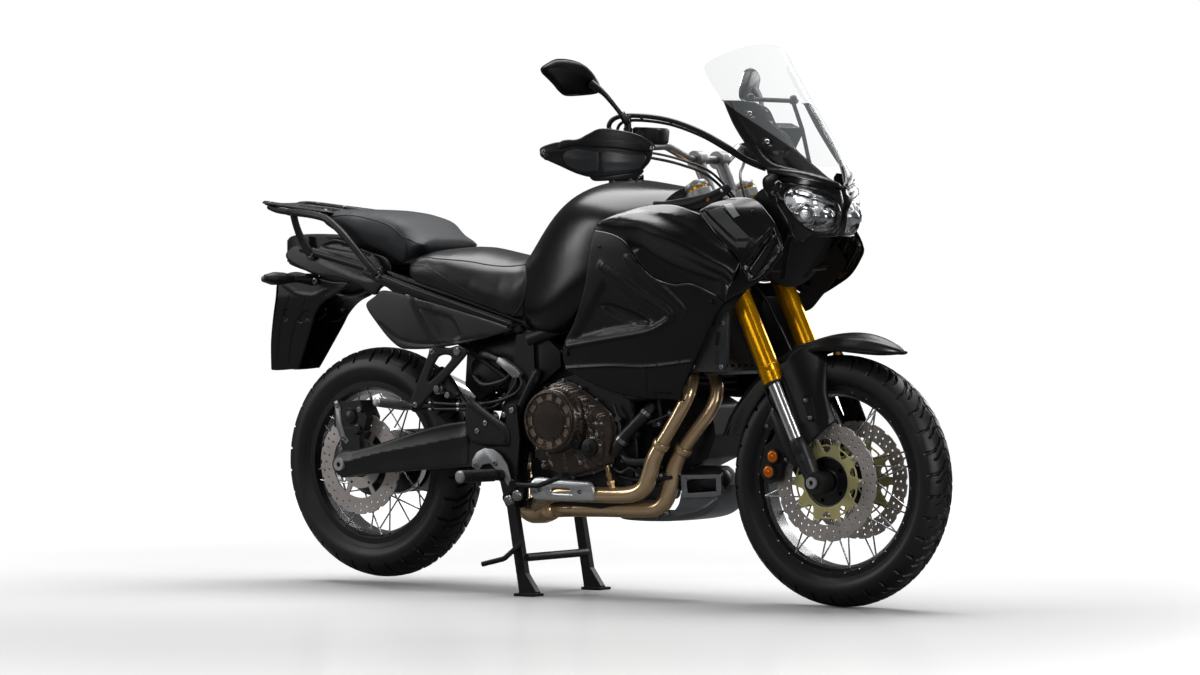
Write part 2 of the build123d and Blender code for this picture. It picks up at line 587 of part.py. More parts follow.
with BuildPart() as engine_covers:
    add([clutch_cover.part, generator_cover.part])
save(engine_covers.part, "engine_covers")

# ---------------------------------------------------------------- exhaust
HEADER_R, OUTLET_R = 22.0, 25.0
with BuildPart() as exhaust_pipes:
    add(bar([(372, -68, 620), (384, -100, 548), (370, -120, 490), (298, -122, 405), (252, -122, 296),
             (90, -122, 277), (-60, -122, 277), (-150, -80, 236)], HEADER_R, 32))
    add(bar([(384, -22, 620), (432, -36, 540), (420, -56, 490), (340, -82, 390), (300, -88, 250),
             (70, -88, 238), (-130, -60, 226)], HEADER_R, 32))
    add(plate([(-100, 204), (-112, 250), (-186, 250), (-206, 240), (-206, 204)], -104, -20, 10))
    add(bar([(-196, -50, 228), (-232, -30, 228), (-296, 60, 304), (-330, 150, 308), (-450, 222, 366),
             (-596, 238, 436)], OUTLET_R - 3, 34))
    add([engine.part, main_frame.part], mode=Mode.SUBTRACT)
save(exhaust_pipes.part, "exhaust_pipes")

with BuildPart() as exhaust_guard:
    add(plate([(-118, 304), (-108, 262), (84, 262), (96, 272), (90, 306)], -148, -144, 10))
    add([block((-100, 80), (-148, -130), (301, 306)), block((-100, 80), (-148, -130), (262, 266))])
    with BuildSketch(side_plane(-140, Vector(-10, 0, 284))):
        SlotOverall(96, 7)
    extrude(amount=20, mode=Mode.SUBTRACT)
    add(exhaust_pipes.part, mode=Mode.SUBTRACT)
save(exhaust_guard.part, "exhaust_guard")

with BuildPart() as muffler:
    with BuildSketch(Plane(origin=(-590, 240, 470), x_dir=(0, 1, 0), z_dir=(-0.94, 0, 0.34))):
        with BuildLine():
            FilletPolyline((-46, -70), (42, -56), (48, 66), (-42, 78), radius=26, close=True)
        make_face()
    extrude(amount=330)
    add(rod((-890, 240, 578), (-926, 240, 591), 26))
    add(rod((-894, 240, 579), (-940, 240, 596), 21), mode=Mode.SUBTRACT)
    add(exhaust_pipes.part, mode=Mode.SUBTRACT)
save(muffler.part, "muffler")

# ---------------------------------------------------------------- swingarm and shaft drive
ARM_OUTER = 192.0
with BuildPart() as swingarm:
    add(plate([(-176, 438), (-160, 400), (-176, 362), (-335, 343), (-677, 314), (-741, 303), (-779, 341),
               (-741, 379), (-694, 381), (-600, 404), (-452, 446), (-338, 467)], -ARM_OUTER, -96, 14))
    with BuildSketch(Plane.XY.offset(250)):
        with BuildLine():
            FilletPolyline((-150, -132), (-150, -153), (-340, -158), (-690, -ARM_OUTER), (-800, -ARM_OUTER),
                           (-800, -152), (-690, -150), (-560, -132), (-420, -112), (-252, -96),
                           (-258, -132), radius=8, close=True)
        make_face()
    extrude(amount=300, mode=Mode.INTERSECT)
    add(cross_rod(*PIVOT, -150, -60, 40))
    add(cross_rod(*PIVOT, 60, 150, 40))
    add(cross_rod(*PIVOT, -60, 60, 34))
    add(plate([(-216, 446), (-330, 452), (-392, 420), (-392, 372), (-330, 356), (-216, 360)], -112, 120, 12))
    add(block((-470, -240), (-74, 74), (330, 480)), mode=Mode.SUBTRACT)
    add(rod((-216, 120, 404), (-640, 132, 352), 46))
    add(main_frame.part, mode=Mode.SUBTRACT)
    for s in SIDES:
        add(cross_rod(*PIVOT, s * (PLATE_Y[0] - 1), s * (PLATE_Y[1] + 1), 60), mode=Mode.SUBTRACT)
    add(cross_rod(*PIVOT, -200, 200, 11), mode=Mode.SUBTRACT)
    add(cross_rod(REAR_AXLE.X, REAR_AXLE.Z, -200, -100, AXLE_R), mode=Mode.SUBTRACT)
save(swingarm.part, "swingarm")

with BuildPart() as final_drive:
    add([cross_rod(REAR_AXLE.X, REAR_AXLE.Z, 96, 178, 88), cross_rod(REAR_AXLE.X, REAR_AXLE.Z, 178, 188, 52)])
    add(swingarm.part, mode=Mode.SUBTRACT)
    add(cross_rod(REAR_AXLE.X, REAR_AXLE.Z, 60, 190, AXLE_R), mode=Mode.SUBTRACT)
save(final_drive.part, "final_drive")

with BuildPart() as rear_axle:
    add([cross_rod(REAR_AXLE.X, REAR_AXLE.Z, -ARM_OUTER - 4, 190, AXLE_R),
         cross_rod(REAR_AXLE.X, REAR_AXLE.Z, -ARM_OUTER - 14, -ARM_OUTER - 4, 17),
         cross_rod(REAR_AXLE.X, REAR_AXLE.Z, -126, -113, 18)])
    add(cross_rod(REAR_AXLE.X, REAR_AXLE.Z, -210, 200, AXLE_BORE), mode=Mode.SUBTRACT)
save(rear_axle.part, "rear_axle")

with BuildPart() as rear_caliper:
    add(plate([(-812, 440), (-800, 510), (-716, 518), (-690, 470), (-704, 430), (-750, 440)], -144, -84, 10))
    add(plate([(-770, 341), (-741, 313), (-712, 341), (-716, 440), (-790, 440)], -146, -128, 8))
    add(cross_rod(-752, 474, -152, -144, 22))
    slot = cross_rod(REAR_AXLE.X, REAR_AXLE.Z, -REAR_DISC_Y - 7, -REAR_DISC_Y + 7, REAR_DISC_R + 5)
    add(slot, mode=Mode.SUBTRACT)
    add(cross_rod(REAR_AXLE.X, REAR_AXLE.Z, -REAR_DISC_Y + 7, -70, REAR_DISC_R - 30), mode=Mode.SUBTRACT)
    add(cross_rod(REAR_AXLE.X, REAR_AXLE.Z, -160, -112, 18), mode=Mode.SUBTRACT)
    add(swingarm.part, mode=Mode.SUBTRACT)
save(rear_caliper.part, "rear_caliper")

SHOCK_LOW, SHOCK_HIGH = (-372.0, 0.0, 470.0), (-340.0, 0.0, 740.0)
with BuildPart() as rear_shock:
    add([rod(SHOCK_LOW, SHOCK_HIGH, 12), cross_rod(SHOCK_LOW[0], SHOCK_LOW[2], -22, 22, 18),
         cross_rod(SHOCK_HIGH[0], SHOCK_HIGH[2], -22, 22, 18)])
    add([rod((-369, 0, 496), (-367, 0, 510), 40), rod((-348, 0, 675), (-346, 0, 690), 40)])
    add(spring((-367, 0, 512), (-348, 0, 673), 32, 6.5, 6))
    add(rod((-356, 0, 610), (-342, 0, 722), 22))
save(rear_shock.part, "rear_shock")

# ---------------------------------------------------------------- tank
TANK_FLOOR = [(-260, 676), (-90, 712), (90, 784), (330, 882), (420, 920), (420, 600), (-260, 500)]
tank_stations = [
    (-186, [(60, 742), (104, 760), (112, 820), (84, 890), (40, 924), (0, 934)]),
    (-120, [(90, 700), (136, 730), (142, 830), (118, 930), (60, 992), (0, 1008)]),
    (-30, [(110, 700), (158, 740), (168, 860), (152, 980), (90, 1060), (0, 1076)]),
    (80, [(120, 760), (174, 800), (187, 900), (178, 990), (112, 1086), (0, 1117)]),
    (200, [(120, 820), (178, 850), (190, 930), (180, 1000), (114, 1084), (0, 1114)]),
    (312, [(100, 870), (150, 890), (168, 950), (160, 1010), (100, 1070), (0, 1098)]),
]
tank_tunnel = plate(TANK_FLOOR, -126, 126)
FILLER_X, FILLER_TOP, FILLER_R = 98.0, 1125.0, 38.0
CAP_HINGE, CAP_PIN_R = (FILLER_X + FILLER_R + 6, FILLER_TOP + 5), 1.6     # x and z of the pin
with BuildPart() as fuel_tank:
    add(sections_x(tank_stations))
    add(tank_tunnel, mode=Mode.SUBTRACT)
    add(rod((FILLER_X, 0, FILLER_TOP - 40), (FILLER_X, 0, FILLER_TOP), FILLER_R + 8))
    add(rod((FILLER_X, 0, FILLER_TOP - 15), (FILLER_X, 0, FILLER_TOP + 1), FILLER_R), mode=Mode.SUBTRACT)
    for s in SIDES:
        add(cross_rod(*CAP_HINGE, s * 11.5, s * 16, 4.5))
        add(block((CAP_HINGE[0] - 4.5, CAP_HINGE[0] + 4.5), (s * 11.5, s * 16), (FILLER_TOP - 12, CAP_HINGE[1])))
    add(cross_rod(*CAP_HINGE, -16, 16, CAP_PIN_R))
    add([main_frame.part, subframe.part, engine.part], mode=Mode.SUBTRACT)
save(fuel_tank.part, "fuel_tank")

with BuildPart() as fuel_cap:
    add(rod((FILLER_X, 0, FILLER_TOP - 11), (FILLER_X, 0, FILLER_TOP + 1), FILLER_R - 7))
    add(rod((FILLER_X, 0, FILLER_TOP + 0.8), (FILLER_X, 0, FILLER_TOP + 6), FILLER_R + 2, FILLER_R))
    add(block((FILLER_X + 30, CAP_HINGE[0]), (-8, 8), (FILLER_TOP + 1.8, FILLER_TOP + 6)))
    add(cross_rod(*CAP_HINGE, -10.5, 10.5, 3.6))
    add(cross_rod(*CAP_HINGE, -20, 20, CAP_PIN_R + 0.2), mode=Mode.SUBTRACT)
save(fuel_cap.part, "fuel_cap")

# ---------------------------------------------------------------- seats
rider_stations = [
    (-548, [(110, 851), (132, 862), (136, 880), (118, 898), (60, 904), (0, 905)]),
    (-460, [(120, 834), (148, 850), (150, 890), (128, 920), (64, 930), (0, 930)]),
    (-380, [(120, 812), (150, 832), (150, 890), (126, 930), (64, 944), (0, 944)]),
    (-290, [(100, 782), (128, 800), (132, 870), (104, 918), (54, 930), (0, 930)]),
    (-210, [(74, 752), (98, 770), (102, 840), (80, 892), (40, 908), (0, 908)]),
]
with BuildPart() as rider_seat:
    add(sections_x(rider_stations))
    add([subframe.part, fuel_tank.part], mode=Mode.SUBTRACT)
save(rider_seat.part, "rider_seat")

passenger_stations = [
    (-900, [(70, 986), (92, 994), (98, 1014), (86, 1036), (44, 1044), (0, 1044)]),
    (-800, [(90, 944), (116, 958), (120, 1000), (104, 1036), (54, 1046), (0, 1046)]),
    (-700, [(100, 918), (130, 932), (136, 980), (118, 1028), (60, 1042), (0, 1042)]),
    (-580, [(110, 908), (142, 916), (148, 960), (128, 1008), (66, 1022), (0, 1022)]),
    (-480, [(110, 934), (136, 942), (140, 964), (120, 990), (60, 1000), (0, 1002)]),
    (-410, [(70, 947), (96, 950), (100, 956), (84, 964), (44, 968), (0, 968)]),
]
with BuildPart() as passenger_seat:
    add(sections_x(passenger_stations))
    add([subframe.part, rider_seat.part], mode=Mode.SUBTRACT)
save(passenger_seat.part, "passenger_seat")

# ================================================================ stands
STAND_LEG_Y = (134.0, 156.0)

with BuildPart() as centre_stand:
    for s in SIDES:
        add(plate([(-196, 268), (-168, 268), (-128, 60), (-92, 12), (-92, 0), (-150, 0), (-150, 12)],
                  s * (STAND_LEG_Y[0] + 1), s * (STAND_LEG_Y[1] - 1)))
        add(cross_rod(*STAND_PIVOT, s * STAND_LEG_Y[0], s * STAND_LEG_Y[1], 20))
        add(block((-152, -88), (s * 126, s * 176), (0, 7)))
    add(cross_rod(-141, 102, -136, 136, 11))
    add(bar([(-146, -150, 140), (-176, -186, 100), (-236, -206, 84)], 7, 20))
    for s in SIDES:
        add(cross_rod(*STAND_PIVOT, s * 120, s * 170, STAND_PIN_R + SHAFT_PLAY), mode=Mode.SUBTRACT)
save(centre_stand.part, "centre_stand")

with BuildPart() as stand_pins:
    for s in SIDES:
        add([cross_rod(*STAND_PIVOT, s * 118, s * 160, STAND_PIN_R), cross_rod(*STAND_PIVOT, s * 160, s * 166, 15)])

SIDE_PIVOT = Vector(-40, 196, 262)
SIDE_FOLDED = Vector(-1, 0.0, -0.05).normalized()          # along the leg, folded
SIDE_DOWN = Vector(0.25, 0.42, -0.87).normalized()         # along the leg, swung down
SIDE_AXIS = SIDE_FOLDED.cross(SIDE_DOWN).normalized()
SIDE_BOSS, SIDE_PIN_R = 10.0, 7.0


def side_pivot(t):
    """Point t in from the side stand's pivot, along its pin."""
    return SIDE_PIVOT + SIDE_AXIS * t


with BuildPart() as side_stand:
    add(rod(SIDE_PIVOT, SIDE_PIVOT + SIDE_FOLDED * 236, 9.5, 8))
    add(rod(side_pivot(-SIDE_BOSS), side_pivot(SIDE_BOSS), 17))
    add(rod(SIDE_PIVOT + SIDE_FOLDED * 236, SIDE_PIVOT + SIDE_FOLDED * 244, 28))
    add(rod(side_pivot(-30), side_pivot(30), SIDE_PIN_R + SHAFT_PLAY), mode=Mode.SUBTRACT)
save(side_stand.part, "side_stand")
with BuildPart() as side_stand_bracket:
    add(plate([(-18, 306), (-62, 306), (-60, 240), (-20, 240)], 164, 172, 6))
    add(plate([(10, 306), (-62, 306), (-62, 290), (10, 290)], 112, 172, 3))
    add(rod(side_pivot(SIDE_BOSS + 1), side_pivot(SIDE_BOSS + 18), 15))
    add(rod(side_pivot(SIDE_BOSS + 4), side_pivot(-SIDE_BOSS - 1), SIDE_PIN_R))
    add(rod(side_pivot(-SIDE_BOSS - 1), side_pivot(-SIDE_BOSS - 6), 11))
    add([engine.part, generator_cover.part], mode=Mode.SUBTRACT)
with BuildPart() as stand_brackets:
    add([stand_pins.part, side_stand_bracket.part])
save(stand_brackets.part, "stand_brackets")

# ================================================================ bodywork
PANEL = 4.0


def arc_screen(inset, wall):
    """Sheet bent round the rider's view and leant back, the surface of the windscreen or one inside it."""
    front, side, half = 785.0 - inset, 672.0 - inset, 196.0
    lean = Vector(-230, 0, 338).normalized()
    with BuildPart() as p:
        with BuildSketch(Plane.XY.offset(1080)):
            with BuildLine():
                ThreePointArc((side + 41, -half), (front + 41, 0), (side + 41, half))
            trace(line_width=wall)
        extrude(amount=500, dir=lean)
    return p.part


def front_outline(points, corner):
    """Prism that runs fore and aft, with a front-view outline of (y, z) points for the left half."""
    with BuildPart() as p:
        with BuildSketch(Plane(origin=(300, 0, 0), x_dir=(0, 1, 0), z_dir=(1, 0, 0))):
            with BuildLine():
                FilletPolyline(*points, *[(-y, z) for y, z in reversed(points)], radius=corner, close=True)
            make_face()
        extrude(amount=600)
    return p.part


with BuildPart() as windscreen:
    add(arc_screen(0, 4.0))
    add(front_outline([(58, 1152), (150, 1262), (190, 1330), (188, 1400), (132, 1474)], 20), mode=Mode.INTERSECT)
save(windscreen.part, "windscreen")

with BuildPart() as screen_cowl:
    add(arc_screen(10, 4.0))
    add(front_outline([(70, 1120), (132, 1180), (160, 1250), (184, 1318), (76, 1318), (76, 1236), (60, 1226)], 8),
        mode=Mode.INTERSECT)
save(screen_cowl.part, "screen_cowl")


def nose(inset):
    """Solid form of the nose that holds the lamps, drawn in by an inset all over."""
    with BuildPart() as p:
        for z, front, side, half in ((948, 778, 640, 150), (1000, 802, 640, 176), (1060, 806, 640, 182),
                                     (1110, 790, 640, 164), (1160, 772, 640, 122)):
            with BuildSketch(Plane.XY.offset(z)):
                h = half - inset
                f = front - inset
                with BuildLine():
                    Spline((side + 30, -h), (f - 40, -0.72 * h), (f, 0), (f - 40, 0.72 * h), (side + 30, h))
                    Polyline((side + 30, h), (side - 40, h), (side - 40, -h), (side + 30, -h))
                make_face()
        loft()
    return p.part


lamp_windows = [plate([(690, 1080), (742, 1096), (812, 1060), (822, 1010), (800, 972), (752, 980), (700, 1036)],
                      s * 22, s * 190, 8) for s in SIDES]
with BuildPart() as front_cowl:
    add(nose(0))
    add(nose(PANEL), mode=Mode.SUBTRACT)
    add(block((500, 700), (-139, 139), (900, 1200)), mode=Mode.SUBTRACT)
    add(lamp_windows, mode=Mode.SUBTRACT)
    add([windscreen.part, screen_cowl.part], mode=Mode.SUBTRACT)
save(front_cowl.part, "front_cowl")

with BuildPart() as headlights:
    add(nose(1.0))
    add(nose(40), mode=Mode.SUBTRACT)
    add(lamp_windows[0] + lamp_windows[1], mode=Mode.INTERSECT)
save(headlights.part, "headlights")


# ---------------------------------------------------------------- side panels
cowl_stations = [
    (-30, [(150, 500), (180, 600), (192, 760), (196, 880), (188, 980), (150, 1050), (0, 1090)]),
    (200, [(150, 480), (178, 600), (198, 760), (212, 900), (206, 1000), (160, 1066), (0, 1090)]),
    (450, [(140, 480), (172, 600), (196, 760), (210, 900), (204, 1000), (166, 1066), (0, 1090)]),
    (760, [(130, 480), (164, 600), (178, 760), (186, 900), (180, 1000), (146, 1062), (0, 1090)]),
]


def cowl_form(inset):
    """Outer form of the side panels, drawn in by an inset."""
    return sections_x([(x, [(y - inset, z) for y, z in half[:-1]] + [(0, half[-1][1] - inset)])
                       for x, half in cowl_stations])


outer_form, inner_form = cowl_form(0), cowl_form(PANEL)
wide_open = block((-60, 800), (-150, 150), (400, 1200))


def side_panels(outline, corner):
    """Pair of panels cut from the side form by a side-view outline."""
    with BuildPart() as p:
        add(outer_form)
        add(inner_form, mode=Mode.SUBTRACT)
        add(wide_open, mode=Mode.SUBTRACT)
        add(plate(outline, -260, 260, corner), mode=Mode.INTERSECT)
    return p.part


SEAM = 3.0
with BuildPart() as side_cowls:
    add(side_panels([(140, 986), (251, 942), (300, 896), (364, 850), (459, 844), (556, 792), (532, 768),
                     (499, 710), (463, 670), (437, 628), (390, 530), (279, 534), (145, 573), (29, 625),
                     (18, 668), (71, 751), (100, 826), (128, 930)], 8))
save(side_cowls.part, "side_cowls")
with BuildPart() as tank_covers:
    add(side_panels([(92, 996), (157, 1030), (240, 1050), (338, 1060), (456, 1046), (614, 896), (565, 806),
                     (461, 848 + SEAM), (366, 854 + SEAM), (303, 900 + SEAM), (254, 946 + SEAM), (160, 986)], 8))
with BuildPart() as shoulder_cowls:
    add(side_panels([(462, 1048), (520, 1062), (570, 1074), (640, 1061), (693, 1029), (733, 978), (750, 944),
                     (702, 879), (658, 841), (576, 808), (624, 896)], 6))
    add([front_cowl.part, headlights.part, tank_covers.part], mode=Mode.SUBTRACT)
with BuildPart() as upper_cowls:
    add([tank_covers.part, shoulder_cowls.part])
save(upper_cowls.part, "upper_cowls")

with BuildPart() as side_covers:
    add(both_sides(plate([(-698, 792), (-660, 838), (-560, 800), (-188, 722), (-184, 704), (-330, 664),
                          (-556, 666), (-584, 668)], -152, -147, 6)))
    add([main_frame.part, fuel_tank.part], mode=Mode.SUBTRACT)
save(side_covers.part, "side_covers")

# ---------------------------------------------------------------- nose fittings
with BuildPart() as cowl_stay:
    add(rod((650, -125, 1012), (650, 125, 1012), 8))
    for s in SIDES:
        add(rod(steer_point(740, s * 14, 24), (652, s * 14, 1013), 6.5))
        add(bar([(651, s * 98, 1008), (640, s * 98, 1120), (606, s * 98, 1250), (578, s * 98, 1320)], 5.5, 40))
        add(rod((578, s * 98, 1316), (578, s * 98, 1334), 9))
    add(rod((578, -114, 1325), (578, 114, 1325), 6))
    add(main_frame.part, mode=Mode.SUBTRACT)
save(cowl_stay.part, "cowl_stay")

with BuildPart() as instrument_panel:
    with BuildSketch(Plane(origin=(596, 0, 1206), x_dir=(0, 1, 0), z_dir=(-0.86, 0, 0.5))):
        RectangleRounded(178, 104, 20)
    extrude(amount=34, taper=6)
    add(cowl_stay.part, mode=Mode.SUBTRACT)
save(instrument_panel.part, "instrument_panel")

# ---------------------------------------------------------------- radiator and skid plate
with BuildPart() as radiator:
    add(plate([(498, 612), (428, 800), (396, 790), (466, 602)], -148, 148))
    for k in range(9):
        add(block((392, 520), (-128 + 30 * k, -114 + 30 * k), (624, 630)), mode=Mode.SUBTRACT)
    add([main_frame.part, engine.part, exhaust_pipes.part], mode=Mode.SUBTRACT)
with BuildPart() as radiator_guards:
    add(both_sides(plate([(470, 800), (545, 760), (534, 612), (424, 614), (436, 690)], -157, -152, 8)))
    for z in (650, 690, 730):
        add(block((505, 514), (-170, 170), (z, z + 26)), mode=Mode.SUBTRACT)
    add(both_sides(rod((455, -153, 640), (455, -140, 640), 8)))
    add(side_cowls.part, mode=Mode.SUBTRACT)
    add(radiator.part)
save(radiator_guards.part, "radiator")

with BuildPart() as skid_plate:
    add(plate([(127, 207), (384, 216), (432, 286), (436, 326), (431, 326), (428, 288), (381, 221), (127, 212)],
              -104, 104))
    add(plate([(340, 222), (384, 221), (428, 288), (434, 330), (352, 330), (336, 290)], -104, -100))
    add(plate([(127, 212), (384, 221), (428, 288), (434, 330), (200, 262), (127, 240)], 100, 104))
    add([engine.part, exhaust_pipes.part], mode=Mode.SUBTRACT)
    add(block((425, 440), (-60, 60), (292, 318)), mode=Mode.SUBTRACT)
save(skid_plate.part, "skid_plate")

# ---------------------------------------------------------------- footrests
with BuildPart() as hangers:
    hanger = plate([(-146, 516), (-134, 420), (-146, 330), (-160, 286), (-178, 290), (-230, 326), (-291, 350),
                    (-286, 362), (-226, 396), (-186, 420), (-176, 516)], -170, -162, 5)
    add(both_sides(hanger))
    add(both_sides(cross_rod(-160, 500, -162, -130, 9)))
    add(both_sides(cross_rod(-160, 306, -162, -130, 8)))
    add(both_sides(rod((-182, -170, 326), (-190, -200, 326), 15)))
    add([centre_stand.part, swingarm.part, main_frame.part], mode=Mode.SUBTRACT)
save(hangers.part, "hangers")
with BuildPart() as rider_pegs:
    add(both_sides(rod((-190, -201, 326), (-216, -330, 325), 13)))
    add(hangers.part, mode=Mode.SUBTRACT)

with BuildPart() as passenger_hangers:
    bracket = plate([(-370, 676), (-352, 656), (-512, 482), (-548, 488), (-540, 520), (-486, 672), (-466, 672),
                     (-508, 540), (-386, 664)], -146, -138, 3)
    add(both_sides(bracket))
    add(both_sides(cross_rod(-372, 662, -138, -117, 9)))
    add([side_covers.part, subframe.part], mode=Mode.SUBTRACT)
save(passenger_hangers.part, "passenger_hangers")
with BuildPart() as footpegs:
    add(rider_pegs.part)
    add(both_sides(rod((-530, -146, 502), (-530, -310, 522), 11)))
    add(passenger_hangers.part, mode=Mode.SUBTRACT)
save(footpegs.part, "footpegs")

with BuildPart() as brake_pedal:
    add(bar([(-146, -180, 300), (-60, -186, 300), (40, -200, 330)], 7, 30))
    add(cross_rod(-146, 300, -188, -171, 12))
    add(cross_rod(42, 331, -222, -190, 9))
    add(hangers.part, mode=Mode.SUBTRACT)
with BuildPart() as gear_lever:
    add(bar([(-150, 180, 330), (-60, 200, 352), (40, 206, 350)], 6, 30))
    add(cross_rod(-150, 330, 171, 188, 11))
    add(cross_rod(44, 350, 196, 232, 9))
    add([hangers.part, rider_pegs.part], mode=Mode.SUBTRACT)
with BuildPart() as foot_controls:
    add([brake_pedal.part, gear_lever.part])
save(foot_controls.part, "foot_controls")

# ---------------------------------------------------------------- rack and tail
RACK_PLANE = Plane(origin=(-836, 0, 1049), x_dir=(-292, 0, 17), z_dir=(17, 0, 292))
RACK_LENGTH = (LENGTH / 2 - 836) / cos(atan(17 / 292))
RACK_HOLES = (248.0, 120.0)            # case bolts, along and across
RACK_HOLE_X, RACK_HOLE_R = -1112.0 + RACK_HOLES[0] / 2, 3.3
CASE_SEAT_Z = 1076.0                   # level seat that four bosses on the sloping rack give a top case
CASE_BOSS_R, CASE_BOSS_LENGTH = 9.0, 20.0
with BuildPart() as luggage_rack:
    with BuildSketch(RACK_PLANE):
        with BuildLine():
            FilletPolyline((0, -116), (148, -130), (RACK_LENGTH, -84), (RACK_LENGTH, 84), (148, 130), (0, 116),
                           radius=10, close=True)
        make_face()
        with Locations((158, -62), (158, 0), (158, 62)):
            SlotOverall(190, 34, mode=Mode.SUBTRACT)
    extrude(amount=10)
    with BuildSketch(RACK_PLANE.offset(10)):
        with Locations((150, -31), (150, 31)):
            SlotOverall(236, 14)
    extrude(amount=5)
    for s in SIDES:
        add(plate([(-985, 1060), (-1000, 1026), (-1088, 1026), (-1102, 1066)], s * 20, s * 42))
    with Locations((RACK_HOLE_X, 0, CASE_SEAT_Z)):
        with GridLocations(*RACK_HOLES, 2, 2):
            Cylinder(CASE_BOSS_R, CASE_BOSS_LENGTH, align=(Align.CENTER, Align.CENTER, Align.MAX))
            Cylinder(RACK_HOLE_R, 200, mode=Mode.SUBTRACT)
    add(passenger_seat.part, mode=Mode.SUBTRACT)
save(luggage_rack.part, "luggage_rack")

with BuildPart() as grab_bars:
    add(both_sides(bar([(-985, -128, 1046), (-940, -146, 1036), (-830, -154, 1026), (-650, -150, 862)], 9, 24)))
    add(both_sides(bar([(-946, -142, 1030), (-940, -130, 990), (-919, -112, 924)], 9, 20)))
    add(both_sides(rod((-654, -158, 866), (-654, -116, 866), 12)))
    add([luggage_rack.part, passenger_seat.part, subframe.part, side_covers.part], mode=Mode.SUBTRACT)
save(grab_bars.part, "grab_bars")

with BuildPart() as tail_lamp:
    add(block((-1056, -1010), (-52, 52), (900, 962)))
save(tail_lamp.part, "tail_lamp")
with BuildPart() as tail_cover:
    add(plate([(-880, 842), (-1010, 884), (-1046, 915), (-1044, 976), (-960, 984), (-900, 974), (-720, 902),
               (-700, 868)], -88, 88, 8))
    add([tail_lamp.part, subframe.part, passenger_seat.part], mode=Mode.SUBTRACT)
with BuildPart() as plate_holder:
    add(plate([(-886, 852), (-1000, 876), (-1060, 800), (-1122, 606), (-1112, 594), (-1070, 598), (-980, 770)],
              -88, 88, 8))
    add(plate([(-900, 850), (-990, 860), (-1044, 790), (-1100, 610), (-1080, 600), (-976, 780)], -78, 78),
        mode=Mode.SUBTRACT)
    add(plate([(-900, 862), (-1004, 872), (-1062, 800), (-1118, 600), (-1100, 600), (-1040, 800), (-990, 850)],
              -79, 79))
    add(tail_cover.part)
save(plate_holder.part, "plate_holder")
with BuildPart() as rear_indicators:
    add(both_sides(rod((-950, -88, 852), (-976, -160, 856), 9)))
    add(both_sides(rod((-972, -158, 856), (-986, -232, 858), 19, 14)))
    add(plate_holder.part, mode=Mode.SUBTRACT)
save(rear_indicators.part, "rear_indicators")

# ================================================================ hoses and cables
LOOM_R, CABLE_R, BRAKE_HOSE_R = 6.0, 3.5, 3.5
with BuildPart() as control_cables:
    add(hose([(284, -292, 1220), (266, -300, 1256), (296, -300, 1280), (352, -274, 1282), (420, -238, 1270),
              (488, -196, 1240), (546, -156, 1200), (584, -124, 1168), (628, -102, 1150)], LOOM_R))
    throttle = hose([(310, -262, 1180), (344, -206, 1172), (384, -142, 1156), (424, -72, 1126), (458, -48, 1056),
                     (470, -38, 996)], CABLE_R)
    add(both_sides(throttle))
    add([controls.part, handlebar.part, cowl_stay.part, main_frame.part], mode=Mode.SUBTRACT)
save(control_cables.part, "control_cables")

with BuildPart() as brake_hoses:
    for s in SIDES:
        add(hose([steer_point(600, s * 46, -8), fork_point(556, s * 78, -48), fork_point(430, s * 92, -46),
                  fork_point(300, s * 92, -44), (648, s * 92, 500), (656, s * 92, 440)], BRAKE_HOSE_R))
    add([yokes.part, front_calipers.part, fork_tubes.part], mode=Mode.SUBTRACT)
save(brake_hoses.part, "brake_hoses")
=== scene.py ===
"""Adventure touring motorcycle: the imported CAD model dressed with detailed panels, seats, tyres and finishes."""
from math import atan, cos, pi, radians, sin
import bpy
import numpy as np
from mathutils import Matrix, Vector, geometry


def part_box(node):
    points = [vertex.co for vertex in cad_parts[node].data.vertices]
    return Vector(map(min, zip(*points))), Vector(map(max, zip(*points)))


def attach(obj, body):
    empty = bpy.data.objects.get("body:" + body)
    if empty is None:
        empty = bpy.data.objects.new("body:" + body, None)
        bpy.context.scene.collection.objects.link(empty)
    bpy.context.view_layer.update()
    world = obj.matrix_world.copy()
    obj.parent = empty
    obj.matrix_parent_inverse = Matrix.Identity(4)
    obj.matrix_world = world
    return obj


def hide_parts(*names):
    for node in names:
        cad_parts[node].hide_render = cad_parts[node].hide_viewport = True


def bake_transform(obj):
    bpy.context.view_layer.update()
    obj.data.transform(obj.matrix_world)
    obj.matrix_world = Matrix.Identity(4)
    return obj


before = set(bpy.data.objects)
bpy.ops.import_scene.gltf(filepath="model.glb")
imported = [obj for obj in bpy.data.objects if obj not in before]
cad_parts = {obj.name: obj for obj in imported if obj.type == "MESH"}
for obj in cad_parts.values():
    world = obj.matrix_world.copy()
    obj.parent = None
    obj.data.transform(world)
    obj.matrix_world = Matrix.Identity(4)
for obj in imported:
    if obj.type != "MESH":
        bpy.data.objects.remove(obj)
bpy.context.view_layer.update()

# ---------------------------------------------------------------- camera
# A long lens at the front right of the machine, a little above the axles. The machine was leant
# forward about its front axle when it was lifted on its stand, and the camera goes with it.
VIEW_AZIMUTH, VIEW_ELEVATION, VIEW_ROLL = radians(36.91), radians(1.544), radians(0.438)
VIEW_DISTANCE, VIEW_TARGET, VIEW_LENS = 13.0526, Vector((-0.0235, 0, 0.6851)), 144.91
WHEELBASE, REAR_LIFT = 1.540, 0.020
front_low, front_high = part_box("front_tyre")
FRONT_HUB = (front_low + front_high) / 2
view_back = Vector((sin(VIEW_AZIMUTH) * cos(VIEW_ELEVATION), -cos(VIEW_AZIMUTH) * cos(VIEW_ELEVATION),
                    sin(VIEW_ELEVATION)))
view_right = Vector((0, 0, 1)).cross(view_back).normalized()
view_up = view_back.cross(view_right)
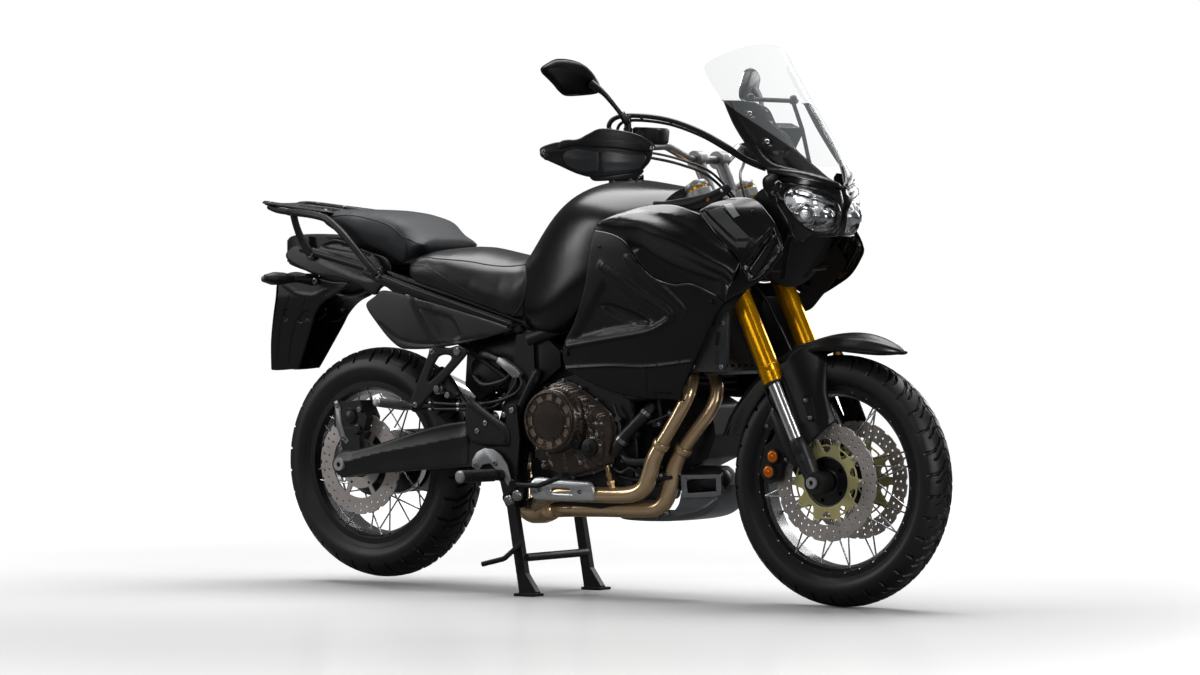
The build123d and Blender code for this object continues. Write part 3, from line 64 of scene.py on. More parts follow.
rolled_right = view_right * cos(VIEW_ROLL) + view_up * sin(VIEW_ROLL)
rolled_up = view_up * cos(VIEW_ROLL) - view_right * sin(VIEW_ROLL)
level_hub = Vector((WHEELBASE / 2, 0, FRONT_HUB.z))
lean = (Matrix.Translation(FRONT_HUB) @ Matrix.Rotation(atan(REAR_LIFT / WHEELBASE), 4, "Y")
        @ Matrix.Translation(-level_hub))
bpy.ops.object.camera_add()
camera = bpy.context.object
turn = Matrix((rolled_right, rolled_up, view_back)).transposed().to_4x4()
camera.matrix_world = lean @ Matrix.Translation(VIEW_TARGET + view_back * VIEW_DISTANCE) @ turn
camera.data.lens = VIEW_LENS
camera.data.sensor_width = 36
camera.data.clip_end = 200
bpy.context.scene.camera = camera


# ---------------------------------------------------------------- studio
# A pale seamless floor, one large softbox overhead, a strip light behind each shoulder and a
# white surround that the lacquer sees only dimly.
def linear(code):
    """An sRGB hex colour as linear red, green, blue and alpha."""
    channels = [int(code[i:i + 2], 16) / 255 for i in (1, 3, 5)]
    return (*[c / 12.92 if c < 0.04045 else ((c + 0.055) / 1.055) ** 2.4 for c in channels], 1)


def node(tree, kind, links=None, **settings):
    """Adds a node to a tree with its settings, then links or sets its inputs by name or number."""
    made = tree.nodes.new(kind)
    for key, value in settings.items():
        setattr(made, key, value)
    for key, value in (links or {}).items():
        if isinstance(value, bpy.types.NodeSocket):
            tree.links.new(value, made.inputs[key])
        else:
            made.inputs[key].default_value = value
    return made


bpy.context.scene.view_settings.view_transform = "Standard"
world = bpy.data.worlds.new("studio_surround")
bpy.context.scene.world = world
world.use_nodes = True
sky = world.node_tree
sky.nodes.clear()
rays = node(sky, "ShaderNodeLightPath")
seen = node(sky, "ShaderNodeMath", {0: rays.outputs["Is Camera Ray"], 1: rays.outputs["Is Transmission Ray"]},
            operation="MAXIMUM")
level = node(sky, "ShaderNodeMapRange", {"Value": seen.outputs[0], "To Min": 0.10, "To Max": 1.0})
surround = node(sky, "ShaderNodeBackground", {"Color": linear("#ffffff"), "Strength": level.outputs[0]})
node(sky, "ShaderNodeOutputWorld", {"Surface": surround.outputs[0]})

bpy.ops.mesh.primitive_plane_add(size=60, location=(0, 0, -0.0005))
floor = bpy.context.object
floor.name = "studio_floor"
floor_paint = bpy.data.materials.new("white_seamless_paper")
floor_paint.use_nodes = True
paper = floor_paint.node_tree
paper.nodes.clear()
place = node(paper, "ShaderNodeTexCoord")
mottle = node(paper, "ShaderNodeTexNoise", {"Vector": place.outputs["Object"], "Scale": 0.6})
paper_tone = node(paper, "ShaderNodeMapRange", {"Value": mottle.outputs[0], "To Min": 0.16, "To Max": 0.22})
away = node(paper, "ShaderNodeVectorMath", {0: place.outputs["Object"]}, operation="LENGTH")
lit = node(paper, "ShaderNodeMapRange", {"Value": away.outputs["Value"], "From Min": 1.2, "From Max": 5.0,
                                         "To Min": 0.0, "To Max": 0.93}, interpolation_type="SMOOTHSTEP")
sheen = node(paper, "ShaderNodeBsdfPrincipled", {"Base Color": linear("#f4f4f4"), "Roughness": paper_tone.outputs[0],
                                                  "Specular IOR Level": 0.25, "Emission Color": linear("#ffffff"),
                                                  "Emission Strength": lit.outputs[0]})
shade = node(paper, "ShaderNodeBsdfDiffuse", {"Color": linear("#6c6c6c")})
direct = node(paper, "ShaderNodeLightPath")
either = node(paper, "ShaderNodeMixShader", {0: direct.outputs["Is Camera Ray"], 1: shade.outputs[0],
                                             2: sheen.outputs[0]})
node(paper, "ShaderNodeOutputMaterial", {"Surface": either.outputs[0]})
floor.data.materials.append(floor_paint)

for name, place_at, aim, size, power in (
        ("softbox_overhead", (-0.4, 0.6, 3.6), (0, 0, 0.6), (4.6, 2.2), 290),
        ("strip_right_rear", (-3.4, -2.6, 2.2), (-0.3, 0, 0.7), (0.6, 2.6), 48),
        ("strip_front", (4.2, -1.4, 1.8), (0.6, 0, 0.7), (0.7, 2.4), 55),
        ("fill_right", (0.6, -5.2, 2.4), (0, 0, 0.5), (3.0, 0.5), 22),
        ("strip_left", (0.5, 4.5, 2.0), (0, 0, 0.7), (2.6, 1.6), 90)):
    bpy.ops.object.light_add(type="AREA", location=place_at)
    lamp = bpy.context.object
    lamp.name = name
    lamp.data.shape = "RECTANGLE"
    lamp.data.size, lamp.data.size_y = size
    lamp.data.energy = power
    lamp.rotation_euler = (Vector(aim) - Vector(place_at)).to_track_quat("-Z", "Y").to_euler()


# ---------------------------------------------------------------- frame and stands
# Welded steel tube and pressed plate, sandblasted and powder coated satin black. The coat has a
# faint orange peel a couple of millimetres across and is rubbed a little paler on its edges.
def coat(name, colour, second, roughness, metal=0.0, grain=2.0, peel=0.03, edge=None, lacquer=0.0, edge_width=0.0012,
         spread=90.0, shine=0.5):
    """A painted, moulded or cast finish: two close colours in soft patches, a grain in mm, and worn edges."""
    made = bpy.data.materials.new(name)
    made.use_nodes = True
    tree = made.node_tree
    tree.nodes.clear()
    here = node(tree, "ShaderNodeTexCoord").outputs["Object"]
    patches = node(tree, "ShaderNodeTexNoise", {"Vector": here, "Scale": 1000 / spread, "Detail": 4})
    tone = node(tree, "ShaderNodeValToRGB", {"Fac": patches.outputs[0]})
    tone.color_ramp.elements[0].color, tone.color_ramp.elements[1].color = linear(colour), linear(second)
    tone.color_ramp.elements[0].position, tone.color_ramp.elements[1].position = 0.35, 0.7
    fine = node(tree, "ShaderNodeTexNoise", {"Vector": here, "Scale": 1000 / grain, "Detail": 2})
    gloss = node(tree, "ShaderNodeMapRange", {"Value": patches.outputs[0], "To Min": roughness * 0.85,
                                              "To Max": roughness * 1.15})
    rounded = node(tree, "ShaderNodeBevel", {"Radius": edge_width}, samples=4)
    relief = node(tree, "ShaderNodeBump", {"Height": fine.outputs[0], "Strength": peel, "Distance": 0.001,
                                           "Normal": rounded.outputs[0]})
    colour_out = tone.outputs[0]
    if edge:
        flat = node(tree, "ShaderNodeNewGeometry")
        turned = node(tree, "ShaderNodeVectorMath", {0: rounded.outputs[0], 1: flat.outputs["Normal"]},
                      operation="DOT_PRODUCT")
        worn = node(tree, "ShaderNodeMapRange", {"Value": turned.outputs["Value"], "From Min": 0.97, "From Max": 0.80,
                                                 "To Min": 0.0, "To Max": 0.65})
        mixed = node(tree, "ShaderNodeMix", {"Factor": worn.outputs[0], 6: colour_out, 7: linear(edge)},
                     data_type="RGBA")
        colour_out = mixed.outputs[2]
    surface = node(tree, "ShaderNodeBsdfPrincipled", {"Base Color": colour_out, "Roughness": gloss.outputs[0],
                                                      "Metallic": metal, "Coat Weight": lacquer,
                                                      "Coat Roughness": 0.03, "Specular IOR Level": shine,
                                                      "Normal": relief.outputs[0]})
    node(tree, "ShaderNodeOutputMaterial", {"Surface": surface.outputs[0]})
    return made


def finish_node(material, *names):
    """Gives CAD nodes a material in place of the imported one."""
    for name in names:
        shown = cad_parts[name]
        shown.data.materials.clear()
        shown.data.materials.append(material)


powder_coat = coat("satin_black_powder_coat", "#0f0f10", "#151516", 0.42, grain=2.2, peel=0.10, edge="#3a3b3d",
                   shine=0.3)
finish_node(powder_coat, "main_frame", "subframe", "centre_stand", "side_stand", "stand_brackets", "cowl_stay",
            "foot_controls", "rear_shock")

# ---------------------------------------------------------------- engine
# A parallel twin lying under the tank: cast aluminium crankcase and head painted black, with the
# clutch and generator covers in a bronze-brown casting paint.
casting_paint = coat("black_paint_on_sand_casting", "#0e0e10", "#161618", 0.46, grain=1.6, peel=0.35, edge="#343436",
                     shine=0.3)
finish_node(casting_paint, "engine", "radiator")

# ---------------------------------------------------------------- exhaust
# Stainless header tubes that heat has turned champagne gold, a brushed heat guard and a muffler.
champagne = coat("heat_tinted_stainless_tube", "#a08660", "#c6ab82", 0.30, metal=0.92, grain=3.0, peel=0.05,
                 spread=60)
brushed = coat("brushed_stainless_steel", "#bcbdbf", "#c6c7c9", 0.28, metal=0.7, grain=2.5, peel=0.02)
finish_node(brushed, "muffler", "rear_axle", "front_axle")

# ---------------------------------------------------------------- swingarm and shaft drive
# Cast aluminium under a dark grey satin paint.
dark_paint = coat("dark_grey_paint_on_alloy", "#151617", "#1c1d1e", 0.36, metal=0.1, grain=2.0, peel=0.08,
                  edge="#55565a", shine=0.4)
finish_node(dark_paint, "swingarm", "final_drive", "rear_caliper", "front_calipers")

# ---------------------------------------------------------------- wheels
# Black-lacquered aluminium rims and ground stainless discs, which ride on the CAD's own nodes; the
# carriers between them are anodised a pale gold.
rim_lacquer = coat("black_lacquered_rim", "#0d0d0e", "#141415", 0.22, grain=4.0, peel=0.03, edge="#8d8e90")
finish_node(rim_lacquer, "front_rim", "rear_rim")
disc_steel = coat("ground_disc_steel", "#b3aca8", "#c8c1bc", 0.38, metal=0.75, grain=0.7, peel=0.08)
finish_node(disc_steel, "front_discs", "rear_disc")
carrier_gold = coat("pale_gold_anodised_carrier", "#c3bc80", "#d6d096", 0.40, metal=0.55, grain=1.0, peel=0.05)

# ---------------------------------------------------------------- fork and controls
# Gold-anodised outer tubes over hard-chromed legs, bead-blasted alloy yokes and bar, and moulded
# nylon switchgear clamped to the bar.
gold_anodise = coat("gold_anodised_aluminium", "#dc9a00", "#eaa80c", 0.24, metal=0.8, grain=0.6, peel=0.03)
finish_node(gold_anodise, "fork_tubes")
hard_chrome = coat("hard_chromed_steel", "#d9dadc", "#e6e7e8", 0.10, metal=1.0, grain=1.0, peel=0.01)
finish_node(hard_chrome, "fork_legs")
cast_alloy = coat("bead_blasted_alloy", "#8f9092", "#a6a7a9", 0.40, metal=0.85, grain=0.9, peel=0.10)
finish_node(cast_alloy, "yokes", "handlebar", "hangers", "fuel_cap")
moulded_black = coat("moulded_black_polypropylene", "#0e0e0f", "#141415", 0.44, grain=0.9, peel=0.14, edge="#2c2c2e",
                     shine=0.3)
finish_node(moulded_black, "controls", "instrument_panel", "brake_hoses")
tank_lacquer = coat("black_lacquer_over_pressed_steel", "#030303", "#050505", 0.24, grain=9.0, peel=0.004, shine=0.32)
finish_node(tank_lacquer, "fuel_tank")
red_lens = coat("red_polycarbonate_lens", "#8a0a0a", "#a01010", 0.12, lacquer=0.8)
finish_node(red_lens, "tail_lamp")

# ---------------------------------------------------------------- side cowls
# Injection-moulded nylon panels, 3 mm thick, satin black, one each side below the tank. Each has a
# V-shaped rib round an oval dent, and is held by socket screws at its corners.
def curve_through(corners, step, closed=True):
    """Smooth line through plan points, with a point every step; a corner given twice stays sharp."""
    p = np.asarray(corners, float)
    n = len(p)
    runs = n if closed else n - 1
    out = []
    for i in range(runs):
        a = p[(i - 1) % n] if closed or i else p[0]
        b, c = p[i], p[(i + 1) % n]
        d = p[(i + 2) % n] if closed or i + 2 < n else p[-1]
        t = np.linspace(0, 1, 24, endpoint=False)[:, None]
        out.append(0.5 * (2 * b + (c - a) * t + (2 * a - 5 * b + 4 * c - d) * t ** 2
                          + (3 * b - a - 3 * c + d) * t ** 3))
    out = np.vstack(out + [p[:1] if closed else p[-1:]])
    along = np.concatenate([[0], np.cumsum(np.linalg.norm(np.diff(out, axis=0), axis=1))])
    count = max(3, int(round(along[-1] / step)))
    at = np.linspace(0, along[-1], count + 1)
    even = np.stack([np.interp(at, along, out[:, k]) for k in range(out.shape[1])], 1)
    return even[:-1] if closed else even


def gap_to(points, line, closed=False):
    """Distance from each plan point to a line."""
    a = np.asarray(line, float)
    b = np.roll(a, -1, axis=0) if closed else a[1:]
    a = a if closed else a[:-1]
    run_x, run_y = (b - a).T
    long = np.maximum(run_x ** 2 + run_y ** 2, 1e-9)
    out = []
    for some in np.array_split(points, max(1, len(points) * len(a) // 400000)):
        x, y = some[:, :1] - a[:, 0], some[:, 1:] - a[:, 1]
        t = np.clip((x * run_x + y * run_y) / long, 0, 1)
        out.append(np.sqrt(((x - t * run_x) ** 2 + (y - t * run_y) ** 2).min(1)))
    return np.concatenate(out)


def within(points, ring):
    """True for each plan point inside a ring."""
    a, b = np.asarray(ring), np.roll(ring, -1, axis=0)
    rise = np.where(a[:, 1] == b[:, 1], 1e-9, b[:, 1] - a[:, 1])
    out = []
    for some in np.array_split(points, max(1, len(points) * len(a) // 400000)):
        x, y = some[:, :1], some[:, 1:]
        cross = ((a[:, 1] > y) != (b[:, 1] > y)) & (x < (b[:, 0] - a[:, 0]) * (y - a[:, 1]) / rise + a[:, 0])
        out.append(cross.sum(1) % 2 == 1)
    return np.concatenate(out)


def ease(t):
    t = np.clip(t, 0, 1)
    return t * t * (3 - 2 * t)


def relief_of(points, features):
    """How far ribs, creases and dents stand out of a panel, in mm."""
    out = np.zeros(len(points))
    for kind, line, high, wide in features:
        if kind == "rib":
            out += high * (1 - ease(gap_to(points, line) / wide))
        elif kind == "crease":
            out += high * np.clip(1 - gap_to(points, line) / wide, 0, 1) ** 1.5
        else:
            gap = gap_to(points, line, True)
            out += high * ease(np.where(within(points, line), gap / wide, 0))
    return out


def moulded_panel(name, corners, form, features=(), roll=5.0, wall=3.0, cell=7.0, holes=(), mirror=True, back=1):
    """Panel trimmed from a form to an outline: rolled edges, ribs and dents in it, a wall behind, and its mirror."""
    ring = curve_through(corners, 4.0)
    low, high = ring.min(0), ring.max(0)
    rings = [ring] + [curve_through(h, 3.0) for h in holes]
    grid = np.stack(np.meshgrid(np.arange(low[0], high[0], cell), np.arange(low[1], high[1], cell)),
                    -1).reshape(-1, 2)
    grid[:, 0] += np.where((np.arange(len(grid)) // max(1, len(np.arange(low[0], high[0], cell)))) % 2, cell / 2, 0)
    keep = within(grid, ring)
    for r in rings:
        keep &= gap_to(grid, r, True) > (roll + 1.5 if roll else 2.0)
    for r in rings[1:]:
        keep &= ~within(grid, r)
    extra = []
    for r in rings:
        turn = np.roll(r, -1, axis=0) - np.roll(r, 1, axis=0)
        side = np.stack([-turn[:, 1], turn[:, 0]], 1) / np.linalg.norm(turn, axis=1)[:, None]
        for d in ((0.8, 2.0, 3.6, 5.4) if roll else ()):
            for sign in (1, -1):
                moved = r + side * sign * d * roll / 5.0
                ok = within(moved, ring) & (gap_to(moved, r, True) > 0.85 * d * roll / 5.0)
                for other in rings[1:]:
                    ok &= ~within(moved, other)
                extra.append(moved[ok])
    drawn = []
    for kind, line, _, wide in features:
        closed = kind == "dent"
        path = curve_through(line, 5.0, closed)
        drawn.append((kind, path, _, wide))
        turn = np.gradient(path, axis=0)
        side = np.stack([-turn[:, 1], turn[:, 0]], 1) / np.linalg.norm(turn, axis=1)[:, None]
        for share in ((-1, -0.5, 0, 0.5, 1) if not closed else (-1, -0.5, 0)):
            for sign in ((1,) if not closed else (1, -1)):
                moved = path + side * share * sign * wide
                ok = within(moved, ring) & (gap_to(moved, ring, True) > roll + 1)
                for other in rings[1:]:
                    ok &= ~within(moved, other) & (gap_to(moved, other, True) > roll)
                extra.append(moved[ok])
    loose = np.vstack([grid[keep]] + extra) if extra else grid[keep]
    edges, start = [], 0
    for r in rings:
        edges += [(start + i, start + (i + 1) % len(r)) for i in range(len(r))]
        start += len(r)
    every = np.vstack(rings + [loose])
    flat, _, faces, *_ = geometry.delaunay_2d_cdt([Vector(p) for p in every], edges, [], 0, 0.35)
    flat = np.array([tuple(p) for p in flat])
    middle = flat[np.array(faces)].mean(1)
    keep = within(middle, ring)
    for r in rings[1:]:
        keep &= ~within(middle, r)
    faces = [f for f, k in zip(faces, keep) if k]
    place, du, dv = form(flat), form(flat + (0.5, 0)), form(flat + (0, 0.5))
    normal = np.cross(du - place, dv - place)
    normal *= back / np.linalg.norm(normal, axis=1)[:, None]
    edge = np.min([gap_to(flat, r, True) for r in rings], axis=0)
    short = np.clip(roll - edge, 0, roll)
    sink = roll - np.sqrt(np.maximum(roll ** 2 - short ** 2, 0)) if roll else np.zeros(len(flat))
    place = place + normal * (relief_of(flat, drawn) - sink)[:, None]
    mesh = bpy.data.meshes.new(name)
    mesh.from_pydata([tuple(v) for v in place / 1000], [], faces)
    piece = bpy.data.objects.new(name, mesh)
    bpy.context.collection.objects.link(piece)
    if mesh.polygons[0].normal.dot(Vector(normal[mesh.polygons[0].vertices[0]])) < 0:
        mesh.flip_normals()
    mesh.shade_smooth()
    if wall:
        skin = piece.modifiers.new("wall", "SOLIDIFY")
        skin.thickness, skin.offset = wall / 1000, -1
        bpy.ops.object.select_all(action="DESELECT")
        bpy.context.view_layer.objects.active = piece
        bpy.ops.object.modifier_apply(modifier="wall")
        mesh.shade_smooth()
        mesh.set_sharp_from_angle(angle=radians(50))
    made = [piece]
    if mirror:
        twin = piece.copy()
        twin.data = mesh.copy()
        twin.name = name + "_left"
        bpy.context.collection.objects.link(twin)
        twin.data.transform(Matrix.Scale(-1, 4, (0, 1, 0)))
        twin.data.flip_normals()
        made.append(twin)
    return made


FLANK_X = (-60, 120, 300, 480, 640, 780)
FLANK_Z = (500, 580, 660, 740, 820, 900, 980, 1040, 1080)
FLANK_Y = ((150, 152, 152, 148, 142, 136),
           (170, 176, 177, 172, 164, 156),
           (180, 189, 191, 186, 176, 166),
           (188, 197, 200, 196, 186, 174),
           (194, 204, 208, 206, 195, 180),
           (196, 207, 213, 212, 200, 182),
           (190, 202, 210, 207, 192, 170),
           (168, 180, 186, 180, 166, 142),
           (130, 142, 148, 142, 128, 104))


def flank(plan, out=0.0):
    """Right flank of the bodywork: a smooth form through half widths on a coarse lattice, pushed out by a gap."""
    def line(values, at, knots):
        slope = np.gradient(values, knots, axis=-1)
        i = np.clip(np.searchsorted(knots, at) - 1, 0, len(knots) - 2)
        h = np.take(knots, i + 1) - np.take(knots, i)
        t = (at - np.take(knots, i)) / h
        rows = np.arange(len(at)) if values.ndim == 2 else None
        pick = (lambda a, k: a[rows, k]) if values.ndim == 2 else (lambda a, k: a[..., k])
        return (pick(values, i) * (2 * t ** 3 - 3 * t ** 2 + 1) + pick(values, i + 1) * (3 * t ** 2 - 2 * t ** 3)
                + pick(slope, i) * h * (t ** 3 - 2 * t ** 2 + t) + pick(slope, i + 1) * h * (t ** 3 - t ** 2))
    x, z = plan.T
    knots_x, knots_z = np.array(FLANK_X, float), np.array(FLANK_Z, float)
    by_row = np.stack([line(np.array(row, float), x, knots_x) for row in FLANK_Y], 1)
    y = line(by_row, z, knots_z)
    return np.stack([x, -(y + out), z], 1)


def low_turn(plan):
    """Flank whose foot turns in under a crease above the engine."""
    out = flank(plan, -3.0)
    crease = np.interp(plan[:, 0], (20, 180, 300, 450), (617, 625, 625, 640))
    out[:, 1] += np.clip(crease - plan[:, 1], 0, None) * 0.16
    return out


side_ribs = [
    ("dent", [(66, 694), (189, 712), (300, 730), (336, 752), (266, 799), (192, 846), (176, 856), (120, 780)], -8.0,
     16.0),
    ("rib", [(40, 676), (189, 698), (308, 716), (361, 735), (390, 756), (372, 778), (313, 808), (233, 860),
             (172, 890)], 9.5, 14.0),
    ("dent", [(153, 785), (180, 796), (240, 780), (300, 757), (324, 738), (300, 727), (240, 738), (180, 762)],
     -10.0, 14.0),
    ("crease", [(30, 617), (180, 625), (300, 625), (446, 640)], 4.0, 7.0),
    ("dent", [(303, 530), (303, 530), (303, 557), (303, 557), (366, 557), (366, 557), (358, 531), (358, 531)],
     -2.5, 3.0),
    ("crease", [(300, 620), (280, 534)], -1.6, 3.0),
    ("dent", [(255, 898), (420, 770), (436, 792), (285, 912)], 4.0, 9.0),
]
side_outline = [(140, 986), (140, 986), (200, 976), (246, 955), (268, 925), (300, 890), (345, 858), (400, 842),
                (459, 843), (520, 820), (563, 797), (563, 797), (531, 762), (490, 697), (447, 629), (404, 572),
                (385, 534), (385, 534), (282, 536), (170, 552), (90, 582), (24, 614), (24, 614), (18, 655), (30, 690),
                (62, 735), (90, 790), (112, 850), (128, 930)]
nylon = coat("satin_black_nylon_panel", "#060607", "#0a0a0b", 0.36, grain=0.8, peel=0.05, edge="#1c1c1e", shine=0.34)
for piece in moulded_panel("side_cowl", side_outline, low_turn, side_ribs, roll=5.0, cell=8.0):
    piece.data.materials.append(nylon)
    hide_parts("side_cowls")
    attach(piece, "frame")

# ---------------------------------------------------------------- tank covers and shoulders
# Lacquered covers over the tank's front corners, and the shoulders that carry them to the nose. Each
# shoulder laps the cover with a sharp edge and has a channel down its front for air.
cover_outline = [(152, 996), (152, 996), (184, 1010), (225, 1030), (268, 1045), (318, 1053), (382, 1053), (440, 1040),
                 (482, 1028), (482, 1028), (537, 979), (618, 899), (618, 899), (604, 860), (566, 797), (566, 797),
                 (520, 822), (459, 846), (400, 845), (345, 862), (302, 893), (270, 928), (249, 958), (203, 980)]
cover_ribs = [
    ("rib", [(176, 1000), (240, 1000), (320, 992), (435, 952), (560, 893), (600, 868)], 15.0, 44.0),
    ("rib", [(300, 940), (380, 900), (470, 872), (560, 850)], -12.0, 46.0),
    ("crease", [(170, 1000), (250, 1022), (330, 1030), (420, 1018), (476, 1004)], 2.5, 20.0),
]
lacquer_black = coat("black_lacquer_over_primer", "#030303", "#050505", 0.22, grain=9.0, peel=0.004, shine=0.5)
for piece in moulded_panel("tank_cover", cover_outline, lambda p: flank(p, 1.0), cover_ribs, roll=5.0):
    piece.data.materials.append(lacquer_black)
    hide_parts("upper_cowls")
    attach(piece, "frame")

shoulder_outline = [(474, 1034), (474, 1034), (505, 1056), (557, 1070), (605, 1070), (645, 1058), (687, 1026),
                    (712, 1000), (712, 1000), (735, 962), (743, 930), (728, 902), (694, 862), (643, 832), (566, 794),
                    (566, 794), (580, 836), (618, 897), (537, 977)]
shoulder_ribs = [
    ("dent", [(626, 893), (626, 893), (648, 914), (677, 960), (706, 994), (706, 994), (727, 962), (732, 931),
              (716, 905), (688, 872), (652, 852), (640, 864)], -11.0, 9.0),
    ("rib", [(650, 878), (684, 922), (712, 966)], 9.0, 13.0),
    ("rib", [(520, 1010), (640, 1002), (690, 985)], -3.0, 40.0),
]
for piece in moulded_panel("shoulder_cowl", shoulder_outline, lambda p: flank(p, 6.0), shoulder_ribs, roll=5.0):
    piece.data.materials.append(lacquer_black)
    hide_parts("upper_cowls")
    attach(piece, "frame")

# Stripes: grey vinyl film, half a millimetre thick, cut to a chevron that follows the shoulder's edge.
film = coat("grey_vinyl_film", "#3a3b3c", "#434445", 0.30, grain=3.0, peel=0.02, lacquer=0.5)
pale_film = coat("pale_grey_vinyl_film", "#77787a", "#868789", 0.30, grain=3.0, peel=0.02, lacquer=0.5)
for name, corners, colour in (
        ("stripe_wide", [(503, 1034), (503, 1034), (540, 1044), (540, 1044), (648, 963), (648, 963), (606, 961),
                         (606, 961)], film),
        ("stripe_chevron", [(487, 1026), (487, 1026), (496, 1031), (496, 1031), (604, 952), (604, 952), (644, 953),
                            (644, 953), (636, 938), (636, 938), (609, 938), (609, 938)], film),
        ("stripe_top", [(545, 1050), (545, 1050), (566, 1055), (566, 1055), (604, 1022), (604, 1022), (588, 1016),
                        (588, 1016)], pale_film)):
    for piece in moulded_panel(name, corners, lambda p: flank(p, 6.7), shoulder_ribs, roll=0, wall=0.5, cell=6.0):
        piece.data.materials.append(colour)
        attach(piece, "frame")

# ---------------------------------------------------------------- nose and lamps
# Lacquered nose cowl with two lamp windows. Each lamp is a clear lens over a vacuum-metallised bowl
# with a projector outboard and a round reflector inboard, set in the cowl from behind.
def fit(piece, material, body, slot, *stands_for):
    """Finishes a piece: its material, the body it rides on, and the CAD nodes it stands for; the slot argument is not
    used.
    """
    piece.data.materials.clear()
    piece.data.materials.append(material)
    if stands_for:
        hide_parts(*stands_for)
    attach(piece, body)
    return piece


def turned(name, profile, at, axis, steps=32):
    """Turned piece: (radius, height) points in mm, spun about an axis through a point in mm."""
    mesh = bpy.data.meshes.new(name)
    mesh.from_pydata([(r / 1000, 0, h / 1000) for r, h in profile], [(i, i + 1) for i in range(len(profile) - 1)], [])
    piece = bpy.data.objects.new(name, mesh)
    bpy.context.collection.objects.link(piece)
    bpy.ops.object.select_all(action="DESELECT")
    bpy.context.view_layer.objects.active = piece
    piece.select_set(True)
    bpy.ops.object.mode_set(mode="EDIT")
    bpy.ops.mesh.select_all(action="SELECT")
    bpy.ops.mesh.spin(steps=steps, angle=2 * pi, center=(0, 0, 0), axis=(0, 0, 1))
    bpy.ops.mesh.select_all(action="SELECT")
    bpy.ops.mesh.remove_doubles(threshold=0.00001)
    bpy.ops.mesh.normals_make_consistent(inside=False)
    bpy.ops.object.mode_set(mode="OBJECT")
    mesh.shade_smooth()
    mesh.set_sharp_from_angle(angle=radians(35))
    aim = Vector((0, 0, 1)).rotation_difference(Vector(axis)).to_matrix().to_4x4()
    mesh.transform(Matrix.Translation(Vector(at) / 1000) @ aim)
    return piece


def joined(name, pieces):
    """One piece from several, each keeping its place."""
    bpy.ops.object.select_all(action="DESELECT")
    for piece in pieces:
        piece.select_set(True)
    bpy.context.view_layer.objects.active = pieces[0]
    if len(pieces) > 1:
        bpy.ops.object.join()
    pieces[0].name = name
    return pieces[0]


def mirrored(piece, name):
    """Left-hand twin of a right-hand piece, with its own mesh."""
    twin = piece.copy()
    twin.data = piece.data.copy()
    twin.name = name
    bpy.context.collection.objects.link(twin)
    twin.data.transform(Matrix.Scale(-1, 4, (0, 1, 0)))
    twin.data.flip_normals()
    return twin


SCREW = [(0, 1.2), (2.6, 1.2), (3.0, 1.6), (3.0, 3.2), (3.4, 3.5), (5.0, 3.2), (6.2, 2.2), (6.6, 0.6), (6.4, -2.5)]


def screws(name, places, size=1.0, body="frame", slot="frame_black", both=True, material=None):
    """Button-head socket screws at places on the right, each (point, outward direction), and their mirror images."""
    made = []
    for at, out in places:
        for side in ((1, -1) if both else (1,)):
            made.append(turned(name, [(r * size, h * size) for r, h in SCREW], (at[0], at[1] * side, at[2]),
                               (out[0], out[1] * side, out[2]), 20))
    return fit(joined(name, made), material or bright_screw, body, slot)


bright_screw = coat("zinc_plated_screw", "#77787a", "#9a9b9d", 0.30, metal=0.95, grain=0.6, peel=0.05)
black_screw = coat("black_oxide_screw", "#141415", "#202022", 0.35, metal=0.6, grain=0.6, peel=0.05)

NOSE_Z = (900, 948, 1000, 1060, 1110, 1160, 1200)
NOSE_FRONT = (744, 778, 802, 806, 790, 772, 760)
NOSE_HALF = (128, 150, 176, 182, 164, 122, 100)


def nose(plan, inset=0.0):
    """Nose form: plan is the distance round from the centre line, right positive, and the height."""
    around, z = plan.T
    knots = np.array(NOSE_Z, float)
    fine = np.linspace(900, 1200, 61)
    soft = np.array([0.25, 0.5, 0.25])
    front, half = (np.interp(fine, knots, row) for row in (NOSE_FRONT, NOSE_HALF))
    for _ in range(6):
        front[1:-1], half[1:-1] = np.convolve(front, soft, "valid"), np.convolve(half, soft, "valid")
    front, half = np.interp(z, fine, front) - inset, np.interp(z, fine, half) - inset
    turn = np.clip(around / 120, -1.57, 1.57)
    return np.stack([660 + (front - 660) * np.cos(turn) ** 0.8, -half * np.sin(turn), z], 1)


def both_ways(line):
    return [line, [(-a, z) for a, z in line]]


lamp_outline = [(137, 1068), (131, 1081), (117, 1089), (99, 1086), (69, 1075), (36, 1063), (19, 1050), (9.5, 1029),
                (8.5, 1007), (12, 984), (25, 976), (54, 977), (86, 988), (102, 1000), (113, 1014), (121, 1030),
                (132, 1048)]
nose_half = [(7, 1094), (66, 1109), (122, 1121), (166, 1130), (176, 1131), (176, 1131), (187, 1118), (186, 1100),
             (179, 1080), (164, 1056), (150, 1034), (138, 1004), (130, 976), (116, 958), (116, 958), (96, 954),
             (84, 968), (44, 966), (6, 968)]
nose_outline = nose_half + [(-a, z) for a, z in reversed(nose_half)]
nose_ribs = []
for line in both_ways([(146, 1108), (158, 1108), (164, 1096), (158, 1084), (146, 1084), (140, 1096)]):
    nose_ribs.append(("dent", line, -9.0, 7.0))
for line in both_ways([(160, 1072), (148, 1044), (132, 1008), (120, 978)]):
    nose_ribs.append(("rib", line, 5.0, 13.0))
for line in both_ways([(20, 1080), (66, 1094), (118, 1106), (142, 1112)]):
    nose_ribs.append(("rib", line, 4.0, 13.0))
nose_ribs.append(("crease", [(0, 1092), (0, 1060), (0, 1010), (0, 970)], 4.0, 11.0))
nose_cowl = moulded_panel("nose_cowl", nose_outline, nose, nose_ribs, roll=4.0, wall=3.0, cell=6.0,
                          holes=both_ways(lamp_outline), mirror=False)[0]
